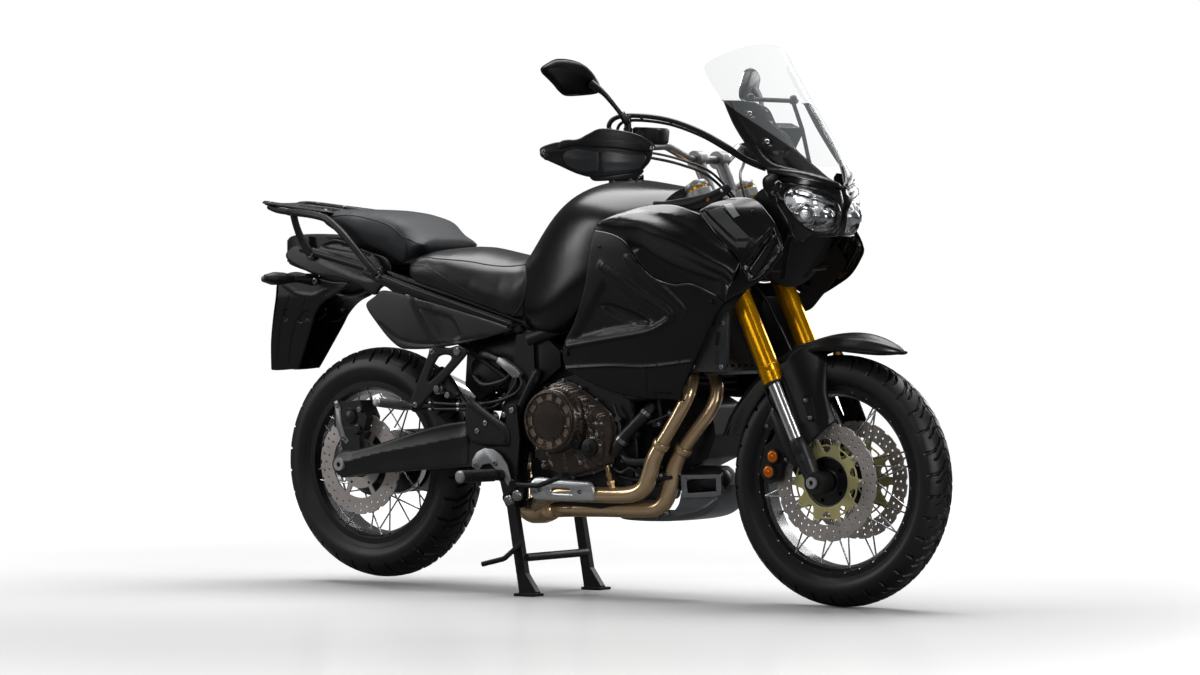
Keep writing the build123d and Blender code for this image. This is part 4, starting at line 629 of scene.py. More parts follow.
fit(nose_cowl, lacquer_black, "frame", "gloss_black", "front_cowl")

lens_plastic = bpy.data.materials.new("clear_polycarbonate_lens")
lens_plastic.use_nodes = True
lens_tree = lens_plastic.node_tree
lens_tree.nodes.clear()
lens_place = node(lens_tree, "ShaderNodeTexCoord")
lens_haze = node(lens_tree, "ShaderNodeTexNoise", {"Vector": lens_place.outputs["Object"], "Scale": 60})
lens_rough = node(lens_tree, "ShaderNodeMapRange", {"Value": lens_haze.outputs[0], "To Min": 0.01, "To Max": 0.035})
lens_skin = node(lens_tree, "ShaderNodeBsdfPrincipled", {"Base Color": linear("#f6f8fa"),
                 "Roughness": lens_rough.outputs[0], "Transmission Weight": 1.0, "IOR": 1.2, "Alpha": 0.45})
node(lens_tree, "ShaderNodeOutputMaterial", {"Surface": lens_skin.outputs[0]})

bowl_chrome = coat("metallised_lamp_bowl", "#a9abae", "#c9cacc", 0.20, metal=1.0, grain=5.0, peel=0.02)
lamp_black = coat("black_lamp_liner", "#0a0a0b", "#111112", 0.30, grain=2.0, peel=0.03)


def ring_of(a, z, r):
    return [(a + r * cos(k * pi / 8), z + r * sin(k * pi / 8)) for k in range(16)]


bowl_ribs = [("dent", ring_of(97, 1022, 33), -20.0, 20.0), ("dent", ring_of(46, 1017, 31), -24.0, 26.0),
             ("rib", [(72, 1072), (70, 1030), (72, 982)], 4.0, 6.0), ("dent", ring_of(124, 1076, 9), -10.0, 7.0),
             ("rib", [(20, 1045), (60, 1062), (110, 1080)], 3.0, 7.0), ("rib", [(18, 990), (60, 986), (92, 995)], 3.0,
                                                                        8.0)]
for piece in moulded_panel("lamp_bowl", lamp_outline, lambda p: nose(p, 13.0), bowl_ribs, roll=0, wall=0, cell=5.0):
    fit(piece, bowl_chrome, "frame", "chrome")
for piece in moulded_panel("lamp_lens", lamp_outline, lambda p: nose(p, 2.5), (), roll=0, wall=2.0, cell=9.0):
    fit(piece, lens_plastic, "frame", "lamp_lens", "headlights")


def on_nose(around, z, inset):
    """A point of the nose form and the direction out of it there, in mm."""
    at = nose(np.array([[around, z], [around + 1, z], [around, z + 1]], float), inset)
    out = -np.cross(at[1] - at[0], at[2] - at[0])
    out = out / np.linalg.norm(out)
    return at[0], out if out[0] > 0 else -out


for around, z, inset, profile, finish_of, name in (
        (97, 1022, 20, [(34, 2), (33, 6), (30, 9), (26, 7), (25, 2), (24, 0)], bowl_chrome, "projector_ring"),
        (97, 1022, 22, [(24.5, 0), (23.5, 6), (20, 11), (13, 15.5), (6, 17.5), (0, 18)], None, "projector_glass"),
        (97, 1022, 21, [(24, 0.5), (10, -2), (0, -2)], lamp_black, "projector_throat"),
        (46, 1017, 34, [(31, 15), (29, 11), (22, 5), (12, 1), (8, 0)], bowl_chrome, "reflector_dish"),
        (46, 1017, 33, [(8.5, 0), (8.5, 11), (7, 13), (0, 13.5)], bowl_chrome, "bulb_cap"),
        (46, 1017, 32, [(15, 4), (16, 6), (17, 4)], bowl_chrome, "dish_step")):
    at, out = on_nose(around, z, inset)
    out = np.array([0.97, -0.20, 0.0]) if "projector" in name else np.array([0.99, -0.10, 0.0])
    piece = turned(name, profile, at, out, 40)
    for one in (piece, mirrored(piece, name + "_left")):
        fit(one, finish_of or lens_plastic, "frame", "chrome" if finish_of else "lamp_lens")

at_a, out_a = on_nose(153, 1096, 7)
at_b, out_b = on_nose(108, 966, 1)
at_c = flank(np.array([[641.0, 1030.0]]), 6.0)[0]
screws("cowl_screws", [(at_a, out_a), (at_b, out_b), (at_c, (0.25, -0.93, 0.28)),
                       ((523, -202, 796), (0.1, -0.98, -0.2)), ((36, -186, 655), (0, -1, 0)),
                       ((164, -205, 940), (0, -0.99, 0.1))], 0.85, material=black_screw)

# ---------------------------------------------------------------- windscreen and its cowl
# A sheet of clear acrylic, 4 mm thick, heated and bent round a form. Its black cowl is held to the
# same stay by dome screws, and a round bar joins the two legs of the stay behind it.
def screen_form(plan, inset=0.0):
    """Bent sheet that leans back: plan is the distance to the left and the height."""
    y, z = plan.T
    flare = 0.00035 * np.clip(z - 1330, 0, None) ** 2
    return np.stack([599.5 - inset + np.sqrt(np.maximum(226.5 ** 2 - y ** 2, 1)) - 0.6805 * (z - 1080) + flare, y, z],
                    1)


screen_half = [(0, 1471), (60, 1467), (106, 1458), (150, 1442), (180, 1424), (191, 1412), (195, 1392), (194, 1350),
               (191, 1318), (178, 1288), (152, 1250), (112, 1200), (82, 1166), (62, 1150), (62, 1150), (30, 1150)]
screen_outline = screen_half + [(-y, z) for y, z in reversed(screen_half[1:])]
acrylic = bpy.data.materials.new("clear_acrylic_sheet")
acrylic.use_nodes = True
screen_tree = acrylic.node_tree
screen_tree.nodes.clear()
screen_place = node(screen_tree, "ShaderNodeTexCoord")
screen_haze = node(screen_tree, "ShaderNodeTexNoise", {"Vector": screen_place.outputs["Object"], "Scale": 12})
screen_rough = node(screen_tree, "ShaderNodeMapRange", {"Value": screen_haze.outputs[0], "To Min": 0.01,
                                                        "To Max": 0.04})
screen_skin = node(screen_tree, "ShaderNodeBsdfPrincipled", {"Base Color": linear("#cfd6da"),
                   "Roughness": screen_rough.outputs[0], "Alpha": 0.08})
node(screen_tree, "ShaderNodeOutputMaterial", {"Surface": screen_skin.outputs[0]})
windscreen = moulded_panel("clear_screen", screen_outline, screen_form, (), roll=0, wall=4.0, cell=12.0,
                           mirror=False)[0]
fit(windscreen, acrylic, "frame", "clear_screen", "windscreen")

visor_outline = [(-187, 1322), (-187, 1322), (-158, 1322), (-127, 1317), (-127, 1317), (-116, 1300), (-119, 1266),
                 (-106, 1240), (-97, 1200), (-70, 1150), (-40, 1120), (-8, 1102), (-3, 1094), (-3, 1090), (-25, 1094),
                 (-88, 1111), (-140, 1121), (-176, 1132), (-182, 1146), (-188, 1172), (-191, 1215), (-192, 1255),
                 (-190, 1290)]
visor_ribs = [
    ("dent", [(-176, 1204), (-153, 1186), (-110, 1196), (-132, 1166), (-118, 1140), (-160, 1150), (-174, 1170)],
     -7.0, 9.0),
    ("rib", [(-176, 1136), (-120, 1128), (-60, 1112), (-20, 1102)], 3.0, 9.0),
    ("dent", ring_of(-154, 1285, 11), -3.0, 5.0), ("dent", ring_of(-151, 1211, 11), -3.0, 5.0),
    ("crease", [(-178, 1318), (-180, 1260), (-176, 1214)], 2.0, 8.0),
]
satin_visor = coat("satin_black_moulded_visor", "#0c0c0d", "#111112", 0.33, grain=0.8, peel=0.05, edge="#262628",
                   shine=0.28)
for piece in moulded_panel("screen_visor", visor_outline, lambda p: screen_form(p, 10.0), visor_ribs, roll=3.5,
                           wall=3.0, cell=5.5):
    fit(piece, satin_visor, "frame", "black_plastic", "screen_cowl")


def on_screen(y, z, inset):
    at = screen_form(np.array([[y, z], [y + 1, z], [y, z + 1]], float), inset)
    out = np.cross(at[1] - at[0], at[2] - at[0])
    out = out / np.linalg.norm(out)
    return at[0], out if out[0] > 0 else -out


screws("visor_screws", [on_screen(-154, 1285, 12), on_screen(-151, 1211, 12)], 1.15)
screws("visor_small_screws", [on_screen(-112, 1292, 14), on_screen(-115, 1262, 14)], 0.6)

# Behind the visor a black bracket plate on each side carries the visor, the screen and the bar.
bracket_black = coat("black_glass_filled_nylon", "#0a0a0b", "#101011", 0.5, grain=0.9, peel=0.14, edge="#28282a",
                     shine=0.28)
for piece in moulded_panel("screen_bracket", [(-134, 1314), (-100, 1300), (-102, 1250), (-86, 1232), (-84, 1190),
                                              (-50, 1140), (-20, 1100), (-60, 1112), (-120, 1128), (-160, 1170),
                                              (-166, 1240), (-150, 1300)],
                           lambda p: screen_form(p, 17.0), (), roll=2.0, wall=3.0, cell=9.0):
    fit(piece, bracket_black, "frame", "black_plastic")
domes = [turned("bar_dome", [(10.5, -7), (10.5, 0), (9, 5), (5, 8.6), (0, 9.6)], (578, s * 98, 1331), (0, 0, 1), 28)
         for s in (-1, 1)]
fit(joined("bar_domes", domes), bracket_black, "frame", "frame_black")

# ---------------------------------------------------------------- tyres
# Road and trail tyres, 110 mm and 150 mm wide, moulded in black rubber: slanting grooves run out from
# a zigzag round the middle to each shoulder, and the sidewall has a rim guard and fine ribs.
def tread_depth(along, across, pitch, half):
    """Depth of the tread grooves in mm, from the distance along the tread and the distance across it."""
    out = np.zeros(len(along))
    for side in (1, -1):
        a = np.mod(along + (0 if side > 0 else pitch / 2), pitch)
        y = across * side
        for shift in (-pitch, 0, pitch):
            here = np.stack([a + shift, y], 1)
            for line, wide, deep in (
                    ([(0, 0.10 * half), (0.30 * pitch, 0.36 * half), (0.52 * pitch, 0.66 * half),
                      (0.58 * pitch, 1.15 * half)], 6.4, 7.0),
                    ([(0.52 * pitch, 0.24 * half), (0.80 * pitch, 0.50 * half), (0.92 * pitch, 0.72 * half)], 4.8,
                     6.0)):
                gap = gap_to(here, line)
                out = np.maximum(out, deep * (1 - ease((gap - wide * 0.35) / (wide * 0.3))))
    a = np.mod(along, pitch)
    for shift in (-pitch, 0, pitch):
        here = np.stack([a + shift, across], 1)
        gap = gap_to(here, [(0, -0.09 * half), (pitch / 2, 0.09 * half), (pitch, -0.09 * half)])
        out = np.maximum(out, 5.5 * (1 - ease((gap - 1.6) / 1.2)))
    return out


TREAD_ROWS, TREAD_DROP_LIMIT = 47, 60           # rows across the tread; no groove below this drop, in mm


def tread_tyre(name, node_name, body, side_profile, half, count, steps):
    """Tyre spun from its section, with the tread cut into it."""
    low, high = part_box(node_name)
    hub = (low + high) / 2 * 1000
    outer = (high.z - low.z) * 500
    crown = [(y, drop) for y, drop in side_profile[0]]
    tread_y = np.linspace(-half, half, TREAD_ROWS)
    tread_drop = np.interp(abs(tread_y), *zip(*crown))
    wall = np.array(side_profile[1], float)
    wall_line = curve_through(wall, 4.2, False)[1:]
    section = np.vstack([np.stack([-wall_line[::-1, 0], wall_line[::-1, 1]], 1), np.stack([tread_y, tread_drop], 1),
                         wall_line])
    pitch = 2 * pi * outer / count
    turn = np.arange(count * steps) * 2 * pi / (count * steps)
    grid_turn, grid_row = np.meshgrid(turn, np.arange(len(section)), indexing="ij")
    y, drop = section[grid_row, 0], section[grid_row, 1]
    slope = np.gradient(section, axis=0)
    out = np.stack([slope[:, 1], slope[:, 0]], 1)
    out /= np.linalg.norm(out, axis=1)[:, None]
    deep = tread_depth((grid_turn * outer).ravel(), y.ravel(), pitch, half).reshape(grid_turn.shape)
    reach = np.array([1.0 if abs(s[0]) <= half + 0.1 and s[1] < TREAD_DROP_LIMIT else 0.0 for s in section])
    edge = len(wall_line)
    reach[edge - 1] = reach[len(section) - edge] = 0.7
    deep = deep * reach[grid_row]
    r = outer - drop - deep * out[grid_row, 1]
    y = y - deep * out[grid_row, 0] * 0.6
    # Groove depth, kept on the mesh so that the rubber can paint the grooves darker: painted shade in the grooves.
    shade = (deep / 6.0).reshape(-1)
    verts = np.stack([hub.x + r * np.sin(grid_turn), hub.y + y, hub.z + r * np.cos(grid_turn)], -1).reshape(-1, 3)
    rows, turns = len(section), len(turn)
    i, j = np.meshgrid(np.arange(turns), np.arange(rows), indexing="ij")
    face = np.stack([i * rows + j, ((i + 1) % turns) * rows + j, ((i + 1) % turns) * rows + (j + 1) % rows,
                     i * rows + (j + 1) % rows], -1).reshape(-1, 4)
    mesh = bpy.data.meshes.new(name)
    mesh.from_pydata((verts / 1000).tolist(), [], face.tolist())
    piece = bpy.data.objects.new(name, mesh)
    bpy.context.collection.objects.link(piece)
    middle = mesh.polygons[len(section) // 2].center - Vector(hub) / 1000
    if mesh.polygons[len(section) // 2].normal.dot(middle) < 0:
        mesh.flip_normals()
    mesh.attributes.new("groove", "FLOAT", "POINT").data.foreach_set("value", shade.astype(np.float32))
    mesh.shade_smooth()
    mesh.set_sharp_from_angle(angle=radians(35))
    return fit(piece, rubber, body, "tyre_rubber", node_name)


rubber = coat("vulcanised_tyre_rubber_moulded", "#111213", "#18191a", 0.44, grain=1.6, peel=0.08, spread=140,
              shine=0.42)
# Painted shade: the rubber's colour is darkened towards near black by groove depth, standing in for the shade inside
# the grooves; the rubber itself is one colour.
for mix in [n for n in rubber.node_tree.nodes if n.type == "BSDF_PRINCIPLED"]:
    groove_shade_mask = node(rubber.node_tree, "ShaderNodeAttribute", attribute_name="groove")
    painted_groove_shade = node(rubber.node_tree, "ShaderNodeMix", {"Factor": groove_shade_mask.outputs["Fac"], 7: linear("#020202")},
                  data_type="RGBA")
    rubber.node_tree.links.new(mix.inputs["Base Color"].links[0].from_socket, painted_groove_shade.inputs[6])
    rubber.node_tree.links.new(painted_groove_shade.outputs[2], mix.inputs["Base Color"])
front_crown = [(0, 0), (8, 0.5), (16, 2.1), (24, 4.9), (32, 9.0), (40, 14.8), (46, 20.6), (50, 25.5)]
front_wall = [(50, 25.5), (51.8, 28.5), (51.6, 30), (53.4, 36), (54.6, 44), (54.4, 52), (52.4, 60), (49, 66.5),
              (48.8, 68.2), (46.2, 70), (44, 73), (41.5, 76), (39, 79), (38, 84)]
tread_tyre("front_tread_tyre", "front_tyre", "front_wheel", (front_crown, front_wall), 50, 34, 28)
rear_crown = [(0, 0), (12, 0.7), (24, 3.1), (36, 7.2), (48, 13.4), (58, 20.6), (66, 28.4), (69, 32.0)]
rear_wall = [(69, 32.0), (71, 35.5), (70.8, 37), (73, 44), (74.6, 53), (74.4, 62), (72, 71), (68, 78), (67.8, 80),
             (64.5, 83), (62, 88), (59.5, 92), (57, 95), (56, 101)]
tread_tyre("rear_tread_tyre", "rear_tyre", "rear_wheel", (rear_crown, rear_wall), 69, 30, 30)

# ---------------------------------------------------------------- rims, spokes and nipples
# Black-lacquered alloy rims laced with stainless spokes; each spoke ends in a bright nipple at the
# rim's edge. The hub is painted black with the rim.
def wheel_finish(name, node_name, rim_inner, hub_outer):
    """Black lacquer on rim and hub, bright steel on the spokes between two radii."""
    made = bpy.data.materials.new(name)
    made.use_nodes = True
    tree = made.node_tree
    tree.nodes.clear()
    low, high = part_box(node_name)
    middle = (low + high) / 2
    here = node(tree, "ShaderNodeTexCoord").outputs["Object"]
    away = node(tree, "ShaderNodeVectorMath", {0: here, 1: (middle.x, 0, middle.z)}, operation="SUBTRACT")
    flat = node(tree, "ShaderNodeVectorMath", {0: away.outputs[0], 1: (1, 0, 1)}, operation="MULTIPLY")
    radius = node(tree, "ShaderNodeVectorMath", {0: flat.outputs[0]}, operation="LENGTH").outputs["Value"]
    far = node(tree, "ShaderNodeMath", {0: radius, 1: rim_inner / 1000}, operation="LESS_THAN")
    near = node(tree, "ShaderNodeMath", {0: radius, 1: hub_outer / 1000}, operation="GREATER_THAN")
    spoke = node(tree, "ShaderNodeMath", {0: far.outputs[0], 1: near.outputs[0]}, operation="MULTIPLY").outputs[0]
    fine = node(tree, "ShaderNodeTexNoise", {"Vector": here, "Scale": 350, "Detail": 2})
    rounded = node(tree, "ShaderNodeBevel", {"Radius": 0.0012}, samples=4)
    relief = node(tree, "ShaderNodeBump", {"Height": fine.outputs[0], "Strength": 0.03, "Distance": 0.001,
                                           "Normal": rounded.outputs[0]})
    black = node(tree, "ShaderNodeMix", {"Factor": fine.outputs[0], 6: linear("#0a0a0b"), 7: linear("#121213")},
                 data_type="RGBA")
    steel = node(tree, "ShaderNodeMix", {"Factor": fine.outputs[0], 6: linear("#a2a3a5"), 7: linear("#c4c5c7")},
                 data_type="RGBA")
    tone = node(tree, "ShaderNodeMix", {"Factor": spoke, 6: black.outputs[2], 7: steel.outputs[2]}, data_type="RGBA")
    rough = node(tree, "ShaderNodeMapRange", {"Value": spoke, "To Min": 0.28, "To Max": 0.22})
    shine = node(tree, "ShaderNodeBsdfPrincipled", {"Base Color": tone.outputs[2], "Roughness": rough.outputs[0],
                                                    "Metallic": spoke, "Normal": relief.outputs[0]})
    node(tree, "ShaderNodeOutputMaterial", {"Surface": shine.outputs[0]})
    finish_node(made, node_name)


wheel_finish("black_rim_and_steel_spokes_front", "front_rim", 228.0, 62.0)
wheel_finish("black_rim_and_steel_spokes_rear", "rear_rim", 202.0, 88.0)
nipple_steel = coat("nickel_plated_nipple", "#9c9da0", "#c8c9cb", 0.22, metal=1.0, grain=0.6, peel=0.03)
for name, node_name, body, radius, across, count in (
        ("front_nipples", "front_rim", "front_wheel", 243.2, 33.5, 32), ("rear_nipples", "rear_rim", "rear_wheel",
                                                                         217.2, 50.5, 32)):
    low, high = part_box(node_name)
    hub = (low + high) / 2 * 1000
    made = []
    for k in range(count):
        for side in (-1, 1):
            angle = (k + (0.25 if side > 0 else 0.75)) * 2 * pi / count
            at = (hub.x + (radius - 3) * cos(angle), side * across, hub.z + (radius - 3) * sin(angle))
            made.append(turned(name, [(0, 7.5), (2.0, 7.2), (2.7, 6.0), (2.7, 0)], at,
                               (-0.5 * cos(angle), side, -0.5 * sin(angle)), 10))
    fit(joined(name, made), nipple_steel, body, "chrome")

# ---------------------------------------------------------------- front fender
# Moulded in one piece: a beaked guard over the tyre, a flap behind the fork, and a leg guard on each
# side in front of the bright tube, held by two screws in a slot.
def lofted(name, rows, wall=3.0, along=6.0, across=6.0, flip=False):
    """Moulded shell through rows of points in mm, smooth both ways, with a wall behind it."""
    rows = np.asarray(rows, float)
    fine = [curve_through(row, 1.0, False) for row in rows]
    wide = max(4, int(max(np.linalg.norm(np.diff(f, axis=0), axis=1).sum() for f in fine) / across))
    even = np.stack([np.stack([np.interp(np.linspace(0, len(f) - 1, wide + 1), np.arange(len(f)), f[:, k])
                               for k in range(3)], 1) for f in fine])
    long = max(4, int(np.linalg.norm(np.diff(even[:, wide // 2], axis=0), axis=1).sum() / along))
    lines = [curve_through(even[:, j], 1.0, False) for j in range(wide + 1)]
    grid = np.stack([np.stack([np.interp(np.linspace(0, len(f) - 1, long + 1), np.arange(len(f)), f[:, k])
                               for k in range(3)], 1) for f in lines], 1)
    verts = grid.reshape(-1, 3) / 1000
    n = wide + 1
    faces = [(i * n + j, (i + 1) * n + j, (i + 1) * n + j + 1,
              i * n + j + 1) for i in range(long) for j in range(wide)]
    mesh = bpy.data.meshes.new(name)
    mesh.from_pydata(verts.tolist(), [], faces)
    piece = bpy.data.objects.new(name, mesh)
    bpy.context.collection.objects.link(piece)
    if flip:
        mesh.flip_normals()
    bpy.ops.object.select_all(action="DESELECT")
    bpy.context.view_layer.objects.active = piece
    if wall:
        skin = piece.modifiers.new("wall", "SOLIDIFY")
        skin.thickness, skin.offset = wall / 1000, -1
        bpy.ops.object.modifier_apply(modifier="wall")
    mesh.shade_smooth()
    mesh.set_sharp_from_angle(angle=radians(50))
    return piece


hub_x, hub_z = 798.5, 329.0
fender_rows = []
for angle, ridge, shoulder, shoulder_y, edge, edge_y in (
        (-71, 361, 359, 42, 350, 60), (-58, 361, 359, 44, 342, 66), (-38, 363, 360, 46, 338, 68),
        (-18, 371, 366, 47, 339, 69), (-6, 380, 371, 47, 340, 69), (4, 388, 375, 46, 340, 68),
        (12, 394, 380, 42, 343, 65), (18, 396, 385, 36, 349, 59), (23, 396, 388, 28, 358, 48),
        (27, 394, 390, 18, 370, 33), (29.5, 391, 389, 8, 381, 15)):
    a = radians(angle)
    half = [(0, ridge), (shoulder_y * 0.55, ridge * 0.3 + shoulder * 0.7 + 1.5), (shoulder_y, shoulder),
            (shoulder_y + 5, shoulder - 5), (edge_y, edge + 10), (edge_y, edge)]
    row = [(hub_x + r * sin(a), -y, hub_z + r * cos(a)) for y, r in reversed(half)]
    row += [(hub_x + r * sin(a), y, hub_z + r * cos(a)) for y, r in half[1:]]
    fender_rows.append(row)
fender_black = coat("satin_black_moulded_fender", "#090909", "#0e0e0f", 0.32, grain=0.8, peel=0.05, edge="#242426",
                    shine=0.25)
beak = lofted("fender_beak", fender_rows, wall=4.0, along=7.0, across=5.0)
fit(beak, fender_black, "steering", "black_plastic", "front_fender")


def fork_line(z):
    """x of the fork legs' line at a height, mm."""
    return 787.71 - 0.48773 * (z - 323.74)


def guard_form(plan):
    x, z = plan.T
    ahead = x - fork_line(z)
    return np.stack([x, -(117 - 0.0052 * np.clip(ahead - 26, 0, None) ** 2), z], 1)


guard_outline = [(684, 616), (700, 652), (728, 682), (752, 690), (770, 672), (782, 640), (790, 600), (800, 556),
                 (824, 500), (826, 488), (800, 456), (774, 430), (766, 426), (752, 446), (738, 470), (712, 534),
                 (694, 580)]
guard_holes = [[(752, 546), (759, 550), (765, 545), (778, 506), (780, 492), (773, 488), (767, 493), (757, 522)]]
guard_ribs = [("crease", [(776, 660), (782, 610), (790, 560), (806, 510), (812, 484)], 3.0, 14.0),
              ("rib", [(700, 600), (722, 548), (748, 480)], 2.0, 12.0)]
for piece in moulded_panel("leg_guard", guard_outline, guard_form, guard_ribs, roll=4.0, wall=3.0, cell=7.0,
                           holes=guard_holes):
    fit(piece, fender_black, "steering", "black_plastic")
for piece in moulded_panel("guard_boss", [(748, 552), (764, 556), (772, 545), (786, 500), (784, 484), (768, 482),
                                          (760, 496), (748, 534)], lambda p: guard_form(p) + np.array([0, 4.5, 0]),
                                          (),
                           roll=0, wall=2.0, cell=8.0):
    fit(piece, bracket_black, "steering", "black_plastic")
screws("guard_screws", [((760, -112.5, 541), (0.05, -1, 0)), ((773, -111.5, 496), (0.05, -1, 0))], 0.95, "steering")

# ---------------------------------------------------------------- fork
# Gold-anodised outer tubes above, with two turned rings and a black dust seal at the foot; hard-chromed
# inner tubes below, clamped in black axle lugs.
up = Vector((-sin(radians(26)), 0, cos(radians(26))))
ahead = Vector((cos(radians(26)), 0, sin(radians(26))))
fork_foot = Vector((798.5, 0, 329)) - ahead * 12


def on_fork(t, y, forward=0.0):
    """Point t mm up the fork legs' line."""
    return fork_foot + up * t + ahead * forward + Vector((0, y, 0))


def fork_finish():
    """Chrome above the lug, black below it, by the height along the fork."""
    made = bpy.data.materials.new("hard_chrome_tube_in_black_lug")
    made.use_nodes = True
    tree = made.node_tree
    tree.nodes.clear()
    here = node(tree, "ShaderNodeTexCoord").outputs["Object"]
    along = node(tree, "ShaderNodeVectorMath", {0: here, 1: tuple(up)}, operation="DOT_PRODUCT")
    bright = node(tree, "ShaderNodeMath", {0: along.outputs["Value"], 1: (fork_foot.dot(up) + 126) / 1000},
                  operation="GREATER_THAN").outputs[0]
    fine = node(tree, "ShaderNodeTexNoise", {"Vector": here, "Scale": 700, "Detail": 2})
    rounded = node(tree, "ShaderNodeBevel", {"Radius": 0.0015}, samples=4)
    relief = node(tree, "ShaderNodeBump", {"Height": fine.outputs[0], "Strength": 0.02, "Distance": 0.001,
                                           "Normal": rounded.outputs[0]})
    black = node(tree, "ShaderNodeMix", {"Factor": fine.outputs[0], 6: linear("#121213"), 7: linear("#1d1d1e")},
                 data_type="RGBA")
    chrome = node(tree, "ShaderNodeMix", {"Factor": fine.outputs[0], 6: linear("#d8dadd"), 7: linear("#eceded")},
                  data_type="RGBA")
    tone = node(tree, "ShaderNodeMix", {"Factor": bright, 6: black.outputs[2], 7: chrome.outputs[2]},
                data_type="RGBA")
    rough = node(tree, "ShaderNodeMapRange", {"Value": bright, "To Min": 0.36, "To Max": 0.16})
    shine = node(tree, "ShaderNodeBsdfPrincipled", {"Base Color": tone.outputs[2], "Roughness": rough.outputs[0],
                                                    "Metallic": bright, "Normal": relief.outputs[0]})
    node(tree, "ShaderNodeOutputMaterial", {"Surface": shine.outputs[0]})
    finish_node(made, "fork_legs")


fork_finish()
seal_rubber = coat("black_nitrile_seal", "#0b0b0c", "#101011", 0.5, grain=0.8, peel=0.05)
parts_gold, parts_seal, parts_lug, parts_nut = [], [], [], []
for side in (-1, 1):
    y = side * 108
    parts_gold.append(turned("ring", [(28.2, 0), (30.6, 1), (30.6, 8), (29.0, 9), (29.0, 12), (30.6, 13), (30.6, 24),
                                      (29.2, 25.5), (29.2, 28), (30.2, 29.5), (30.2, 44), (28.2, 46)],
                             on_fork(292, y), up, 48))
    parts_seal.append(turned("seal", [(21.8, -4), (26.5, -4), (28.6, -2), (28.6, 2), (27.0, 3)], on_fork(290, y), up,
                             48))
    parts_lug.append(turned("lug_top", [(21.7, 4), (24.2, 4), (26.6, 1.5), (27.6, -2), (27.6, -36), (26, -40),
                                        (26, -46)],
                            on_fork(125, y), up, 48))
    parts_nut.append(turned("clamp", [(0, 5), (4.6, 5), (4.9, 4), (4.9, 0)], on_fork(100, y * 1.0, 27), ahead, 6))
fit(joined("fork_rings", parts_gold), gold_anodise, "steering", "gold_anodised")
fit(joined("fork_seals", parts_seal), seal_rubber, "steering", "grip_rubber")
fit(joined("fork_lugs", parts_lug), dark_paint, "steering", "frame_black")
fit(joined("fork_clamp_bolts", parts_nut), bright_screw, "steering", "bright_steel")

# Calipers: black castings with two round orange caps each, on a black bracket behind the right leg.
orange_cap = coat("orange_anodised_caliper_cap", "#c85e00", "#e07810", 0.28, metal=0.5, grain=1.2, peel=0.05)
caps, rims_black = [], []
for side in (-1, 1):
    for x, z in ((653, 393), (640, 353)):
        caps.append(turned("cap", [(0, 4.2), (10, 4.0), (13.5, 3.4), (15.5, 1.8), (16, 0), (16, -6)],
                           (x, side * 109, z), (0, side, 0), 32))
        caps.append(turned("cap_boss", [(0, 6.5), (4, 6.4), (5.4, 5.2), (6.2, 3.8)], (x, side * 109, z), (0, side, 0),
                           6))
        rims_black.append(turned("seat", [(16.2, 2.4), (18.5, 2.2), (19.5, 0), (19.5, -10)],
                                 (x, side * 109, z), (0, side, 0), 32))
fit(joined("caliper_caps", caps), orange_cap, "steering", "gold_anodised")
fit(joined("caliper_seats", rims_black), dark_paint, "steering", "frame_black")


def plate_part(name, outline, y_in, y_out, edge=2.0, both=True):
    """Cast or pressed plate with an outline in the side view, between two planes, its edges rounded."""
    ring = [(x / 1000, z / 1000) for x, z in outline]
    made = []
    for side in ((-1, 1) if both else (-1,)):
        mesh = bpy.data.meshes.new(name)
        mesh.from_pydata([(x, side * y_in / 1000, z) for x, z in ring], [], [tuple(range(len(ring)))])
        piece = bpy.data.objects.new(name, mesh)
        bpy.context.collection.objects.link(piece)
        bpy.ops.object.select_all(action="DESELECT")
        piece.select_set(True)
        bpy.context.view_layer.objects.active = piece
        bpy.ops.object.mode_set(mode="EDIT")
        bpy.ops.mesh.select_all(action="SELECT")
        bpy.ops.mesh.extrude_region_move(TRANSFORM_OT_translate={"value": (0, side * (y_out - y_in) / 1000, 0)})
        bpy.ops.mesh.select_all(action="SELECT")
        bpy.ops.mesh.normals_make_consistent(inside=False)
        bpy.ops.object.mode_set(mode="OBJECT")
        soften = piece.modifiers.new("edge", "BEVEL")
        soften.width, soften.segments, soften.limit_method, soften.angle_limit = edge / 1000, 2, "ANGLE", radians(30)
        bpy.ops.object.modifier_apply(modifier="edge")
        mesh.shade_smooth()
        mesh.set_sharp_from_angle(angle=radians(40))
        made.append(piece)
    return joined(name, made)


bracket = plate_part("caliper_bracket", [(652, 525), (644, 512), (622, 470), (634, 462), (650, 470), (692, 402),
                                         (700, 378), (722, 366), (742, 384), (732, 420), (700, 452), (668, 500)],
                     96, 106)
fit(bracket, dark_paint, "steering", "frame_black")
screws("bracket_screws", [((652, -107, 514), (0, -1, 0)), ((634, -107, 471), (0, -1, 0)),
                          ((694, -107, 386), (0, -1, 0))], 0.8, "steering")

# ---------------------------------------------------------------- engine covers
# Sand-cast covers in a bronze-brown paint, screwed round their flanges: the clutch cover on the right
# carries a turned ring with twelve windows and the oil filler cap, the generator cover is on the left.
def field_on_side(name, corners, height, side, cell=3.5):
    """Casting seen from the side: an outline filled with a grid, and a height in mm for every point."""
    def form(plan):
        return np.stack([plan[:, 0], side * height(plan), plan[:, 1]], 1)
    return moulded_panel(name, corners, form, (), roll=0, wall=0, cell=cell, mirror=False, back=-side)[0]


